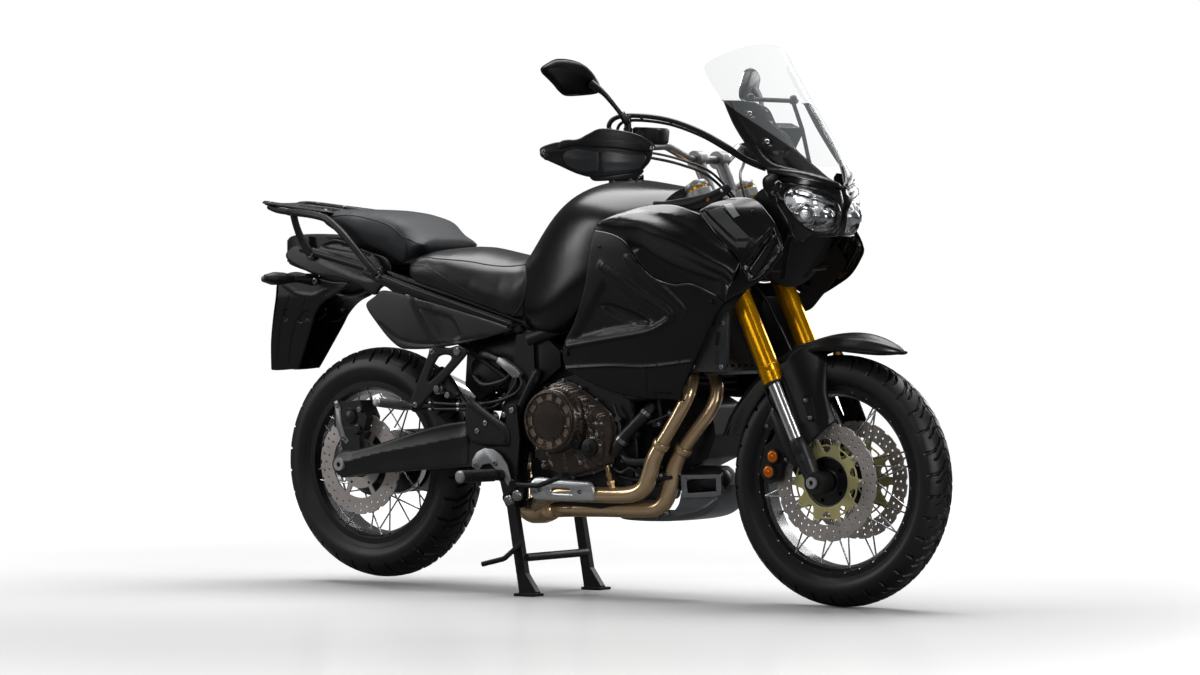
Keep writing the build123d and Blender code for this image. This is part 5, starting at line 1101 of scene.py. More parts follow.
def disc_field(name, at, side, height, radii, steps):
    """Round casting seen from the side: rings of points, and a height in mm for each."""
    turn = np.arange(steps) * 2 * pi / steps
    grid_r, grid_t = np.meshgrid(radii, turn, indexing="ij")
    up_by = height(grid_r, np.degrees(grid_t))
    verts = np.stack([at[0] + grid_r * np.cos(grid_t), side * (at[1] + up_by), at[2] + grid_r * np.sin(grid_t)], -1)
    faces = [(i * steps + j, i * steps + (j + 1) % steps, (i + 1) * steps + (j + 1) % steps, (i + 1) * steps + j)
             for i in range(len(radii) - 1) for j in range(steps)]
    faces.append(tuple(range(steps))[::-1])
    mesh = bpy.data.meshes.new(name)
    mesh.from_pydata((verts.reshape(-1, 3) / 1000).tolist(), [], faces)
    piece = bpy.data.objects.new(name, mesh)
    bpy.context.collection.objects.link(piece)
    if mesh.polygons[0].normal.y * side < 0:
        mesh.flip_normals()
    mesh.shade_smooth()
    mesh.set_sharp_from_angle(angle=radians(42))
    return piece


cover_edge = [(-61, 568), (-25, 579), (10, 572), (46, 553), (92, 525), (134, 494), (150, 462), (152, 400),
              (138, 358), (85, 338), (10, 322), (-35, 330), (-92, 362), (-108, 404), (-122, 440), (-122, 505),
              (-104, 541)]
cover_ring = curve_through(cover_edge, 4.0)
clutch_at = (-24, 475)


def cover_height(plan):
    edge = gap_to(plan, cover_ring, True)
    out = 120 + 32 * ease((edge - 9) / 9)
    from_clutch = np.hypot(plan[:, 0] - clutch_at[0], plan[:, 1] - clutch_at[1])
    out = np.maximum(out, 120 + 62 * (1 - ease((from_clutch - 84) / 8)))
    from_cap = np.hypot(plan[:, 0] - 101, plan[:, 1] - 405)
    out = np.maximum(out, 120 + 44 * (1 - ease((from_cap - 27) / 6)))
    for line, high, wide in (([(60, 548), (96, 430)], 6, 4), ([(92, 520), (78, 424)], 5, 3.5),
                             ([(120, 494), (112, 440)], 5, 3.5), ([(142, 470), (88, 500)], 4, 3),
                             ([(50, 400), (130, 356)], 5, 4), ([(40, 386), (86, 344)], 5, 4),
                             ([(0, 384), (12, 330)], 6, 4), ([(-52, 384), (-34, 334)], 6, 4),
                             ([(-88, 396), (-92, 366)], 5, 4), ([(70, 470), (140, 466)], 5, 3.5),
                             ([(64, 486), (112, 526)], 4, 3)):
        gap = gap_to(plan, line)
        out = np.maximum(out, np.where(edge > 8, 152 + high * (1 - ease((gap - wide * 0.5) / (wide * 0.6))), 0))
    for x, z, r in ((83, 486, 11), (64, 364, 9), (-62, 352, 9), (120, 440, 8)):
        gap = np.hypot(plan[:, 0] - x, plan[:, 1] - z)
        out = np.maximum(out, 120 + 40 * (1 - ease((gap - r) / 3)))
    return out


bronze = coat("bronze_brown_paint_on_sand_casting", "#443c37", "#524943", 0.25, metal=0.65, grain=1.3, peel=0.03,
              edge="#7d6b5e", edge_width=0.0010, spread=60)
clutch_cover = field_on_side("clutch_cover", cover_edge, cover_height, -1)


def ring_height(r, angle):
    slot = abs(np.mod(angle + 15, 30) - 15)
    wide = np.radians(slot) * r
    face = 9 - 2.5 * ease((r - 76) / 5) - 26 * ease((r - 80.5) / 2)
    face = np.where(r < 50, 6.5 + 1.5 * (1 - (r / 50) ** 2), face)
    groove = ease((r - 48.5) / 1.0) * (1 - ease((r - 53) / 1.2))
    window = ease((r - 54.5) / 1.2) * (1 - ease((r - 72.5) / 1.4)) * (1 - ease((wide - 11.0) / 1.6))
    low = np.where((r > 53) & (r < 73.5), 6.5, face)
    return np.where((r > 48) & (r < 75), np.minimum(face, low), face) - 3.0 * groove - 6.5 * window


clutch_ring = disc_field("clutch_ring", (clutch_at[0], 182, clutch_at[1]), -1, ring_height,
                         np.concatenate([np.linspace(3, 46, 10), np.arange(47.5, 84.1, 1.0)]), 264)
generator_edge = [(-118, 520), (-60, 560), (60, 556), (148, 482), (140, 380), (60, 312), (-60, 312), (-118, 380)]
generator_ring = curve_through(generator_edge, 4.0)


def generator_height(plan):
    edge = gap_to(plan, generator_ring, True)
    from_middle = np.hypot(plan[:, 0] - 20, plan[:, 1] - 440)
    out = 162 - 20 + 16 * ease((edge - 9) / 9)
    out = np.maximum(out, 142 + 30 * (1 - ease((from_middle - 74) / 10)))
    angle = np.degrees(np.arctan2(plan[:, 1] - 440, plan[:, 0] - 20))
    spoke = abs(np.mod(angle, 45) - 22.5) * from_middle * 0.01745
    return np.maximum(out, np.where((from_middle > 80) & (edge > 9), 158 + 5 * (1 - ease((spoke - 2) / 3)), 0))


generator_cover = field_on_side("generator_cover", generator_edge, generator_height, 1, 4.5)
fit(clutch_cover, bronze, "frame", "bronze_cover", "engine_covers")
fit(clutch_ring, bronze, "frame", "bronze_cover")
window_floor = turned("window_floor", [(54.8, 0.9), (72.6, 0.9)], (clutch_at[0], -182, clutch_at[1]), (0, -1, 0), 96)
machined = coat("machined_bronze_lacquered", "#8b7b6b", "#9a8a7a", 0.32, metal=0.3, grain=1.0, peel=0.03)
fit(window_floor, machined, "frame", "bronze_cover")
fit(generator_cover, bronze, "frame", "bronze_cover")
flange = plate_part("cover_flange", [(x * 1.0 + (3 if x > 0 else -3), z + (3 if z > 450 else -3)) for x,
                                     z in cover_edge],
                    104, 121, 2.0, both=False)
fit(flange, bronze, "frame", "bronze_cover")
rib_left = plate_part("generator_flange", [(x, z) for x, z in generator_edge], -118, -143, 2.0, both=False)
fit(rib_left, bronze, "frame", "bronze_cover")
screws("cover_screws", [((x, -y, z), (0, -1, 0)) for x, z, y in (
    (-22, 582, 122), (-84, 560, 122), (36, 563, 122), (91, 530, 122), (137, 492, 122), (154, 430, 122),
    (136, 356, 122),
    (80, 338, 122), (10, 322, 122), (-60, 344, 122), (-110, 404, 122), (-124, 470, 122), (83, 486, 161),
    (64, 364, 161), (-62, 352, 161), (120, 440, 161))], 0.85, "frame", both=False)
screws("generator_screws", [((x, 143, z), (0, 1, 0)) for x, z in (
    (-112, 516), (-60, 552), (0, 556), (60, 548), (142, 478), (134, 384), (60, 320), (-60, 320), (-112, 384))],
    0.85, "frame", both=False)
cap = [turned("filler", [(0, 10), (14, 10), (15, 9), (22, 8.6), (24.5, 7), (25, 4), (25, -8)], (101, -166, 405),
              (0, -1, 0), 40),
       turned("filler_grip", [(0, 15), (10, 15), (12, 13.6), (12.6, 10)], (101, -166, 405), (0, -1, 0), 6)]
fit(joined("oil_filler_cap", cap), moulded_black, "frame", "black_plastic")

# ---------------------------------------------------------------- engine fittings
# Water hose with its steel clip, pickup housings, the gas sensor in the upper header, the oil filter
# and the cast bosses and screws that stand out of the painted case.
hose_rubber = coat("ribbed_black_water_hose", "#0c0c0d", "#131314", 0.42, grain=1.2, peel=0.08, edge="#2b2b2d")


def tube_along(name, points, radius, step=6.0, sides=20):
    """Round tube, hose or cable through points in mm, its ends rounded off."""
    path = curve_through(points, step, False)
    radii = np.full(len(path), float(radius)) if np.isscalar(radius) else np.interp(
        np.linspace(0, 1, len(path)), np.linspace(0, 1, len(radius)), radius)
    run = np.gradient(path, axis=0)
    run /= np.linalg.norm(run, axis=1)[:, None]
    side = np.cross(run[0], (0.3, 0.2, 0.93))
    side /= np.linalg.norm(side)
    verts = []
    for p, t, r in zip(path, run, radii):
        side = side - t * side.dot(t)
        side /= np.linalg.norm(side)
        other = np.cross(t, side)
        turn = np.arange(sides) * 2 * pi / sides
        verts.append(p + r * (np.cos(turn)[:, None] * side + np.sin(turn)[:, None] * other))
    ends = [verts[0] * 0.55 + path[0] * 0.45 - run[0] * radii[0] * 0.25] + verts + [
        verts[-1] * 0.55 + path[-1] * 0.45 + run[-1] * radii[-1] * 0.25]
    n = len(ends)
    verts = np.vstack(ends)
    faces = [(i * sides + j, i * sides + (j + 1) % sides, (i + 1) * sides + (j + 1) % sides, (i + 1) * sides + j)
             for i in range(n - 1) for j in range(sides)]
    faces += [tuple(range(sides))[::-1], tuple(range((n - 1) * sides, n * sides))]
    mesh = bpy.data.meshes.new(name)
    mesh.from_pydata((verts / 1000).tolist(), [], faces)
    piece = bpy.data.objects.new(name, mesh)
    bpy.context.collection.objects.link(piece)
    mesh.shade_smooth()
    mesh.set_sharp_from_angle(angle=radians(60))
    return piece


hoses = [tube_along("hose", [(262, -96, 520), (240, -116, 488), (208, -124, 457), (176, -128, 423), (152, -124, 388)],
                    (17, 17, 16, 18, 18)),
         tube_along("hose", [(176, -118, 560), (210, -128, 545), (250, -128, 548), (300, -118, 560)], 13),
         tube_along("hose", [(160, -112, 400), (196, -124, 372), (240, -118, 368), (286, -96, 384)], 12),
         tube_along("wire", [(150, -124, 520), (170, -132, 480), (176, -134, 440), (158, -130, 410)], 4.0),
         tube_along("wire", [(148, -126, 352), (180, -134, 340), (210, -130, 352), (236, -120, 330)], 4.0)]
fit(joined("water_hoses", hoses), hose_rubber, "frame", "grip_rubber")
clips = [turned("clip", [(18.6, -6), (19.6, -6), (19.6, 6), (18.6, 6)], (180, -127, 427), (0.68, 0.1, 0.73), 28),
         turned("clip", [(17.6, -5), (18.6, -5), (18.6, 5), (17.6, 5)], (246, -111, 497), (0.5, 0.4, 0.75), 28)]
fit(joined("hose_clips", clips), bright_screw, "frame", "bright_steel")
knobs = [turned("knob", [(0, 24), (8, 24), (9.5, 22), (9.5, 0)], at, axis, 12) for at, axis in (
    ((51, -150, 422), (0, -1, 0)), ((206, -104, 540), (0.2, -1, 0.3)), ((230, -108, 350), (0.3, -1, -0.2)),
    ((168, -112, 476), (0, -1, 0.3)), ((280, -104, 470), (0.3, -1, 0)))]
knobs.append(turned("pickup", [(0, 20), (19, 20), (22, 17), (22, 0)], (51, -150, 422), (0, -1, 0), 6))
fit(joined("sensor_housings", knobs), moulded_black, "frame", "black_plastic")
sensor = [turned("sensor", [(0, 66), (5.5, 65), (6.5, 62), (6.5, 44), (8.5, 42), (8.5, 34), (7, 33), (7, 22)],
                 (142, -122, 296), (-0.12, -0.25, 1), 16),
          turned("sensor_nut", [(7, 22), (11.5, 22), (12, 20), (12, 12), (9, 11), (9, 2)], (142, -122, 296),
                 (-0.12, -0.25, 1), 6)]
fit(joined("gas_sensor", sensor), champagne, "frame", "titanium_pipe")
filter_body = turned("oil_filter", [(0, 62), (14, 61), (26, 56), (34, 46), (37, 34), (38, 22), (38, -40)],
                     (396, -34, 322), (1, -0.06, 0.02), 48)
fit(filter_body, moulded_black, "frame", "engine_black")
case_ribs = []
for line, r in (([(160, -114, 600), (250, -120, 606), (360, -118, 612)], 5),
                ([(150, -116, 330), (240, -118, 320), (330, -112, 330)], 5),
                ([(196, -116, 590), (200, -120, 520), (214, -118, 440), (226, -116, 340)], 5),
                ([(286, -112, 600), (290, -116, 540), (300, -112, 470)], 5),
                ([(250, -116, 470), (330, -112, 500), (400, -96, 560)], 5),
                ([(160, -116, 552), (240, -119, 560), (330, -116, 574)], 4),
                ([(176, -116, 372), (210, -118, 350), (300, -112, 356)], 4)):
    case_ribs.append(tube_along("rib", line, r, 10, 10))
for at in ((200, -112, 596), (290, -112, 604), (350, -112, 608), (214, -112, 440), (226, -112, 336), (300, -106, 334),
           (296, -110, 470), (330, -108, 500), (172, -112, 560), (176, -112, 372)):
    case_ribs.append(turned("boss", [(0, 12), (9, 12), (10.5, 10), (11.5, -4)], at, (0, -1, 0), 16))
fit(joined("case_ribs", case_ribs), casting_paint, "frame", "engine_black")
screws("case_screws", [(at, (0, -1, 0)) for at in ((200, -124.5, 596), (290, -124.5, 604), (350, -124.5, 608),
                                                   (226, -124.5, 336),
                       (300, -118.5, 334), (296, -122.5, 470), (330, -120.5, 500), (172, -124.5, 560),
                       (176, -124.5, 372))],
       0.8, "frame", both=False)

# ---------------------------------------------------------------- header pipes
# Two seamless stainless headers bent round large arcs, with the sensor boss, slip joints and heat tint;
# a collector joins them under the engine and the pipe goes on to the muffler.
headers = [tube_along("header", [(366, -62, 622), (382, -92, 584), (384, -112, 548), (366, -122, 506),
                                 (330, -124, 452),
                                 (298, -124, 408), (278, -124, 372), (266, -124, 336), (250, -124, 304),
                                 (220, -124, 286), (170, -123, 279), (60, -122, 277), (-40, -122, 277),
                                 (-96, -110, 262),
                                 (-136, -86, 240)],
                      (18, 18, 18, 18, 18, 21, 22, 22, 22, 22, 22, 22, 22, 22, 22), 7, 36),
           tube_along("header", [(384, -22, 622), (418, -34, 584), (428, -46, 544), (414, -60, 500), (378, -74, 448),
                                 (342, -84, 396), (320, -88, 352), (308, -89, 300), (290, -89, 262), (258, -88, 244),
                                 (200, -88, 240), (70, -88, 238), (-40, -80, 234), (-130, -60, 227)],
                      (18, 18, 18, 18, 18, 21, 22, 22, 22, 22, 22, 22, 22, 22), 7, 36),
           tube_along("collector", [(-92, -84, 232), (-130, -66, 228), (-176, -60, 226), (-210, -46, 228)],
                      (30, 36, 36, 26), 6, 36),
           tube_along("link", [(-196, -50, 228), (-232, -30, 228), (-296, 60, 304), (-330, 150, 308),
                               (-450, 222, 366),
                               (-596, 238, 436)], 22, 8, 32)]
for at, axis, r in (((304, -124, 416), (-0.55, 0, -0.83), 24), ((347, -83, 402), (-0.55, 0, -0.83), 24)):
    headers.append(turned("slip_joint", [(r - 3, -10), (r - 1, -9), (r, -6), (r, 6), (r - 2, 9), (r - 3, 10)], at,
                          axis, 36))
headers.append(turned("sensor_boss", [(0, 10), (13, 10), (14, 8), (14, -14)], (144, -120, 288), (-0.12, -0.25, 1),
                      24))
heat_tint = coat("heat_tinted_stainless_tube_tapered", "#cdb088", "#d3b893", 0.20, metal=0.72, grain=2.4, peel=0.03,
                 spread=90)
fit(joined("header_pipes", headers), heat_tint, "frame", "titanium_pipe", "exhaust_pipes")

# ---------------------------------------------------------------- heat guard
# Pressed stainless guard over the upper header: a rolled edge, a long slot and two socket screws.
def shield_form(plan):
    x, z = plan.T
    return np.stack([x, -(152 - 0.008 * (z - 288) ** 2), z], 1)


polished = coat("polished_stainless_heat_guard", "#c2c3c5", "#cccdcf", 0.24, metal=0.62, grain=5.0, peel=0.0)
guard = moulded_panel("heat_guard", [(-118, 286), (-114, 312), (-94, 324), (-40, 320), (60, 316), (84, 314),
                                     (98, 300), (96, 270),
                                     (76, 258), (-82, 256), (-110, 264)], shield_form,
                      [("dent", [(-62, 296), (-52, 303), (22, 301), (32, 294), (32, 280), (22, 273), (-52, 272),
                                 (-62, 279)],
                        -2.6, 5.0)], roll=7.0, wall=1.5, cell=5.0,
                      holes=[[(-46, 290), (-38, 293), (10, 293), (18, 290), (18, 284), (10, 281), (-38, 281),
                              (-46, 284)]],
                      mirror=False)[0]
fit(guard, polished, "frame", "bright_steel", "exhaust_guard")
screws("guard_clips", [((-82, -152, 288), (0, -1, 0)), ((54, -152, 286), (0, -1, 0))], 1.0, "frame", both=False)

# ---------------------------------------------------------------- skid plate
# Pressed alloy pan under the engine, with a welded window frame each side and fixing bolts.
def pan_side(plan):
    x, z = plan.T
    return np.stack([x, -(96 - 0.25 * np.clip(x - 320, 0, None) - 0.35 * np.clip(250 - z, 0, None)), z], 1)


pan_paint = coat("dark_anodised_skid_plate", "#54565a", "#636569", 0.34, metal=0.35, grain=1.8, peel=0.05,
                 edge="#9a9ca0")
frame_paint = coat("grey_anodised_window_frame", "#6e7074", "#7b7d81", 0.32, metal=0.35, grain=1.2, peel=0.04,
                   edge="#a8aaae")
filter_paint = coat("satin_grey_paint_on_steel_can", "#77797c", "#838588", 0.34, metal=0.3, grain=2.0, peel=0.02)
for piece in moulded_panel("skid_side", [(148, 212), (240, 209), (330, 215), (404, 232), (446, 268), (446, 268),
                                         (455, 296),
                                         (453, 334), (453, 334), (352, 332), (352, 332), (338, 262), (322, 240),
                                         (322, 240), (250, 232),
                                         (150, 228)],
                           pan_side, [("crease", [(330, 228), (400, 246), (440, 272)], 3.0, 7.0)],
                           roll=2.0, wall=2.5, cell=6.0, holes=[[(364, 322), (440, 324), (440, 294), (366, 289)]]):
    fit(piece, pan_paint, "frame", "dark_alloy", "skid_plate")
for piece in moulded_panel("skid_window_frame", [(345, 336), (345, 336), (456, 339), (456, 339), (456, 287),
                                                 (456, 287), (440, 279), (440, 279),
                                                (349, 275), (349, 275)], lambda p: pan_side(p) - (0, 4, 0), (),
                                                roll=1.5, wall=6.0, cell=5.0,
                           holes=[[(361, 325), (361, 325), (443, 328), (443, 328), (443, 295), (443, 295), (364, 288),
                                   (364, 288)]]):
    fit(piece, frame_paint, "frame", "dark_alloy")
filter_body = turned("oil_filter", [(0, -110), (37, -110), (37, -6), (33, 2), (24, 5), (0, 6)], (446, -18, 324),
                     (1, 0, 0), 56)
fit(filter_body, filter_paint, "frame", "dark_alloy")
pan_rows = []
for x, z, half in ((148, 214, 84), (200, 210, 84), (260, 209.5, 84), (330, 214, 82), (380, 223, 74), (412, 236, 68),
                   (434, 258, 62), (448, 286, 58), (454, 312, 54)):
    pan_rows.append([(x, -half, z + 3), (x + 1, -half * 0.85, z), (x + 2, 0, z - 1), (x + 1, half * 0.85, z),
                     (x, half, z + 3)])
fit(lofted("skid_pan", pan_rows, wall=2.5, along=8, across=8, flip=True), pan_paint, "frame", "dark_alloy")
screws("skid_screws", [((172, -86, 220), (0, -1, -0.3)), ((262, -88, 222), (0, -1, -0.2)),
                       ((300, -94, 232), (0, -1, -0.1))], 1.0, "frame")

# ---------------------------------------------------------------- radiator
# Aluminium core in black side plates; each plate has two long slots and a bolt at each corner. The right plate's
# slots are flat black marks laid on it, not openings: painted shadow.
side_plate = plate_part("radiator_side", [(404, 690), (430, 760), (446, 806), (520, 806), (548, 760), (546, 660),
                                          (534, 612),
                                          (424, 612), (420, 650)], 150, 160, 1.5)
radiator_paint = coat("satin_grey_paint_on_pressed_steel", "#38393b", "#434446", 0.36, metal=0.4, grain=1.6,
                      peel=0.06,
                      edge="#4a4b4e")
fit(side_plate, radiator_paint, "frame", "frame_black")
screws("radiator_screws", [((436, -160, 626), (0, -1, 0)), ((526, -160, 626), (0, -1, 0)),
                           ((532, -160, 740), (0, -1, 0))],
       1.0, "frame")
slots = []
for x, z, tilt in ((516, 700, 0.16), (512, 650, 0.16), (506, 752, 0.16)):
    slots.append(tube_along("slot", [(x - 16 * tilt, -160.5, z - 16), (x, -160.5, z),
                                     (x + 16 * tilt, -160.5, z + 16)], 6.5, 4, 16))
# Painted shadow: near-black matt colour on flat marks, standing in for the shade inside the slot openings.
painted_slot_shadow = coat("painted_slot_shadow_on_plate", "#030303", "#050505", 0.7, grain=1.0, peel=0.02)
for s in slots:
    s.data.transform(Matrix.Translation((0, -0.1605,
                                         0)) @ Matrix.Scale(0.12, 4, (0, 1, 0)) @ Matrix.Translation((0, 0.1605, 0)))
joined_slot_shadows = joined("radiator_slot_shadows", slots)
fit(joined_slot_shadows, painted_slot_shadow, "frame", "frame_black")

# ---------------------------------------------------------------- seats
# Moulded foam under sewn covers, one seat for the rider and one higher for the passenger: the cover is
# pulled tight over the foam and welted along its top edges.
FOAM_CELL, FOAM_UNDERSIZE = 0.005, 0.0025       # remesh cell, and how far the loft starts inside the seat
SWELL_FRAMES, SMOOTH_PASSES = 20, 26


def cushion(name, stations, limit):
    """Stuffed seat: a loft a little smaller than the seat, swollen by the cloth simulation."""
    xs = np.array([s[0] for s in stations], float)
    halves = np.array([curve_through(s[1], 1.0, False)[np.linspace(0, len(curve_through(s[1], 1.0, False)) - 1,
                                                                   28).astype(int)]
                       for s in stations])
    line = curve_through(np.column_stack([xs, np.arange(len(xs))]), 8.0, False)
    rows = []
    for x, at in line:
        k = min(max(at, 0), len(xs) - 1)
        i = min(int(k), len(xs) - 2)
        part = halves[i] * (1 - (k - i)) + halves[i + 1] * (k - i)
        right = [(x, -y, z) for y, z in part]
        left = [(x, y, z) for y, z in part[::-1][1:]]
        low = [(x, y, part[0][1]) for y in np.linspace(part[0][0], -part[0][0], 12)[1:-1]]
        rows.append(right + left + low)
    n = len(rows[0])
    verts = np.array(rows).reshape(-1, 3)
    faces = [(i * n + j, i * n + (j + 1) % n, (i + 1) * n + (j + 1) % n, (i + 1) * n + j)
             for i in range(len(rows) - 1) for j in range(n)]
    faces += [tuple(range(n)), tuple(range((len(rows) - 1) * n, len(rows) * n))[::-1]]
    mesh = bpy.data.meshes.new(name)
    mesh.from_pydata((verts / 1000).tolist(), [], faces)
    piece = bpy.data.objects.new(name, mesh)
    bpy.context.collection.objects.link(piece)
    bpy.ops.object.select_all(action="DESELECT")
    piece.select_set(True)
    bpy.context.view_layer.objects.active = piece
    bpy.ops.object.mode_set(mode="EDIT")
    bpy.ops.mesh.select_all(action="SELECT")
    bpy.ops.mesh.remove_doubles(threshold=0.0002)
    bpy.ops.mesh.normals_make_consistent(inside=False)
    bpy.ops.object.mode_set(mode="OBJECT")
    mesh.remesh_voxel_size = FOAM_CELL
    bpy.ops.object.voxel_remesh()
    start = np.array([v.co[:] for v in mesh.vertices])
    normal = np.array([v.normal[:] for v in mesh.vertices])
    start = start - normal * FOAM_UNDERSIZE
    mesh.vertices.foreach_set("co", start.ravel())
    cloth = piece.modifiers.new("foam", "CLOTH")
    cloth.settings.quality = 4
    cloth.settings.use_pressure = True
    cloth.settings.uniform_pressure_force = 4.0
    cloth.settings.tension_stiffness = cloth.settings.compression_stiffness = 25
    cloth.settings.effector_weights.gravity = 0
    for number in range(1, SWELL_FRAMES + 1):
        bpy.context.scene.frame_set(number)
    bpy.ops.object.modifier_apply(modifier="foam")
    swollen = np.array([v.co[:] for v in mesh.vertices])
    step = swollen - start
    far = np.linalg.norm(step, axis=1)[:, None]
    start = start + step * np.minimum(1, limit / 1000 / np.maximum(far, 1e-9))
    mesh.vertices.foreach_set("co", start.ravel())
    bpy.context.scene.frame_set(1)
    tight = piece.modifiers.new("tight", "SMOOTH")
    tight.factor, tight.iterations = 0.5, SMOOTH_PASSES
    bpy.ops.object.modifier_apply(modifier="tight")
    mesh.shade_smooth()
    return piece


rider_foam = [
    (-545, [(128, 852), (142, 858), (146, 878), (132, 902), (68, 914), (0, 916)]),
    (-520, [(137, 843), (149, 849), (152, 880), (137, 910), (72, 925), (0, 928)]),
    (-470, [(140, 829), (151, 835), (155, 872), (140, 910), (76, 931), (0, 936)]),
    (-410, [(140, 811), (151, 817), (154, 860), (139, 904), (76, 932), (0, 942)]),
    (-350, [(136, 793), (147, 799), (150, 846), (133, 894), (72, 928), (0, 940)]),
    (-290, [(132, 774), (143, 780), (146, 832), (128, 884), (66, 918), (0, 928)]),
    (-230, [(128, 755), (139, 760), (143, 818), (122, 880), (62, 908), (0, 915)]),
    (-180, [(124, 741), (136, 748), (141, 812), (121, 876), (60, 908), (0, 915)]),
    (-145, [(121, 747), (134, 756), (140, 812), (121, 880), (62, 918), (0, 926)]),
    (-124, [(116, 770), (129, 782), (136, 824), (120, 878), (62, 914), (0, 924)])]
pillion_foam = [
    (-890, [(84, 1000), (98, 1006), (104, 1020), (92, 1036), (50, 1043), (0, 1044)]),
    (-830, [(108, 978), (118, 990), (124, 1012), (112, 1034), (60, 1044), (0, 1046)]),
    (-766, [(122, 964), (131, 976), (136, 1006), (118, 1033), (64, 1043), (0, 1045)]),
    (-700, [(126, 942), (136, 956), (141, 994), (122, 1027), (66, 1040), (0, 1042)]),
    (-643, [(128, 922), (139, 938), (143, 984), (126, 1019), (68, 1033), (0, 1035)]),
    (-592, [(128, 899), (140, 914), (144, 966), (130, 1004), (72, 1018), (0, 1021)]),
    (-568, [(124, 890), (138, 904), (143, 950), (130, 988), (74, 1003), (0, 1006)]),
    (-548, [(122, 904), (136, 914), (142, 944), (130, 972), (76, 988), (0, 992)]),
    (-522, [(118, 924), (132, 930), (138, 943), (128, 957), (76, 970), (0, 975)]),
    (-500, [(108, 938), (121, 941), (126, 946), (116, 952), (70, 961), (0, 965)])]
rider_vinyl = coat("black_grained_seat_vinyl", "#0b0b0c", "#111112", 0.36, grain=1.5, peel=0.22, spread=120,
                   shine=0.42)
pillion_cloth = coat("blue_grey_textured_seat_vinyl", "#101216", "#171a1f", 0.62, grain=2.4, peel=0.45, spread=160,
                     shine=0.4)
rider_cushion = cushion("rider_cushion", rider_foam, 3.5)
fit(rider_cushion, rider_vinyl, "frame", "seat_cover", "rider_seat")
pillion_cushion = cushion("passenger_cushion", pillion_foam, 4.0)
fit(pillion_cushion, pillion_cloth, "frame", "seat_cover", "passenger_seat")


def sewn_line(name, cushion_piece, line, radius, both=True):
    """Welt or seam laid on a cushion: points in the side view, carried onto the cover from each side."""
    bpy.context.view_layer.update()
    made = []
    for side in ((-1, 1) if both else (-1,)):
        path = []
        for x, z in curve_through(line, 6.0, False):
            hit, place, out, _ = cushion_piece.ray_cast(Vector((x / 1000, side * 0.4, z / 1000)),
                                                        Vector((0, -side, 0)))
            if hit:
                path.append(tuple((place + out * 0.0002) * 1000))
        if len(path) > 3:
            made.append(tube_along(name, path, radius, 6.0, 8))
    return joined(name, made)


thread = coat("black_seam_piping", "#08080a", "#0e0e10", 0.5, grain=1.0, peel=0.15, shine=0.35)
for name, on, line, radius in (
        ("rider_top_seam", rider_cushion, [(-536, 892), (-500, 912), (-444, 909), (-350, 902), (-285, 892),
                                           (-219, 888),
                                           (-150, 896), (-132, 900)], 1.6),
        ("rider_side_seam", rider_cushion, [(-532, 890), (-480, 888), (-429, 868), (-339, 823), (-255, 779),
                                            (-189, 750)], 1.4),
        ("rider_front_welt", rider_cushion, [(-150, 902), (-140, 860), (-142, 810), (-160, 776), (-186, 752)], 2.6),
        ("passenger_top_seam", pillion_cushion, [(-868, 1024), (-780, 1030), (-686, 1018), (-620, 1002), (-583, 982),
                                                 (-560, 958),
                                                 (-552, 930), (-566, 902)], 1.5),
        ("passenger_front_seam", pillion_cushion, [(-572, 972), (-548, 962), (-524, 952), (-506, 947)], 1.3)):
    fit(sewn_line(name, on, line, radius), thread, "frame", "seat_cover")

# ---------------------------------------------------------------- side covers and rails
# Satin nylon covers under the seat, creased along two lines and clipped behind the subframe rails;
# the rails are bolted steel with a flat outer face.
def cover_form(plan):
    x, z = plan.T
    return np.stack([x, -(149 - 0.00045 * (z - 740) ** 2 - 0.02 * np.clip(-560 - x, 0, None)), z], 1)


cover_line = [(-634, 822), (-662, 806), (-690, 788), (-688, 770), (-660, 738), (-612, 690), (-572, 664), (-540, 660),
              (-470, 662), (-383, 672), (-285, 690), (-190, 712), (-186, 722), (-240, 738), (-330, 760), (-459, 790),
              (-560, 812)]
grey_nylon = coat("satin_dark_grey_nylon_panel", "#1a1a1b", "#202021", 0.42, grain=0.9, peel=0.07, edge="#303032",
                  shine=0.35)
for piece in moulded_panel("side_cover", cover_line, cover_form,
                           [("crease", [(-505, 800), (-470, 745), (-430, 690), (-411, 674)], 12.0, 34.0),
                            ("dent", [(-500, 778), (-440, 768), (-380, 750), (-350, 694), (-402, 682), (-446, 726)],
                             -5.0, 12.0),
                            ("crease", [(-640, 730), (-560, 684), (-440, 676), (-260, 698)], -3.5, 8.0)],
                           roll=6.0, wall=3.0, cell=7.0):
    fit(piece, grey_nylon, "frame", "satin_panel", "side_covers")
rail = plate_part("rail_plate", [(-700, 890), (-650, 872), (-560, 846), (-400, 800), (-186, 742), (-172, 728),
                                 (-184, 712),
                                 (-300, 742), (-470, 788), (-640, 836), (-706, 866)], 132, 143, 3.0)
fit(rail, powder_coat, "frame", "frame_black")
rail_rib = joined("rail_edges", [tube_along("edge", [(-690, s * 143, 878), (-560, s * 143, 836), (-400, s * 143, 792),
                                                     (-190, s * 143, 734)], 3.2, 10, 10)
                                 for s in (-1, 1)])
fit(rail_rib, powder_coat, "frame", "frame_black")
screws("rail_bolts", [((-186, -144, 728), (0, -1, 0)), ((-660, -144, 868), (0, -1, 0))], 1.6, "frame",
       material=black_screw)

# ---------------------------------------------------------------- tail
# Moulded tail: side panels bolted to the subframe, a tray between them, and the undertray with the plate
# holder, whose walls are stiffened by pressed windows.
def tail_form(plan):
    x, z = plan.T
    return np.stack([x, -(97 + 0.055 * np.clip(x + 1021, 0, 400) - 0.0006 * (z - 890) ** 2), z], 1)


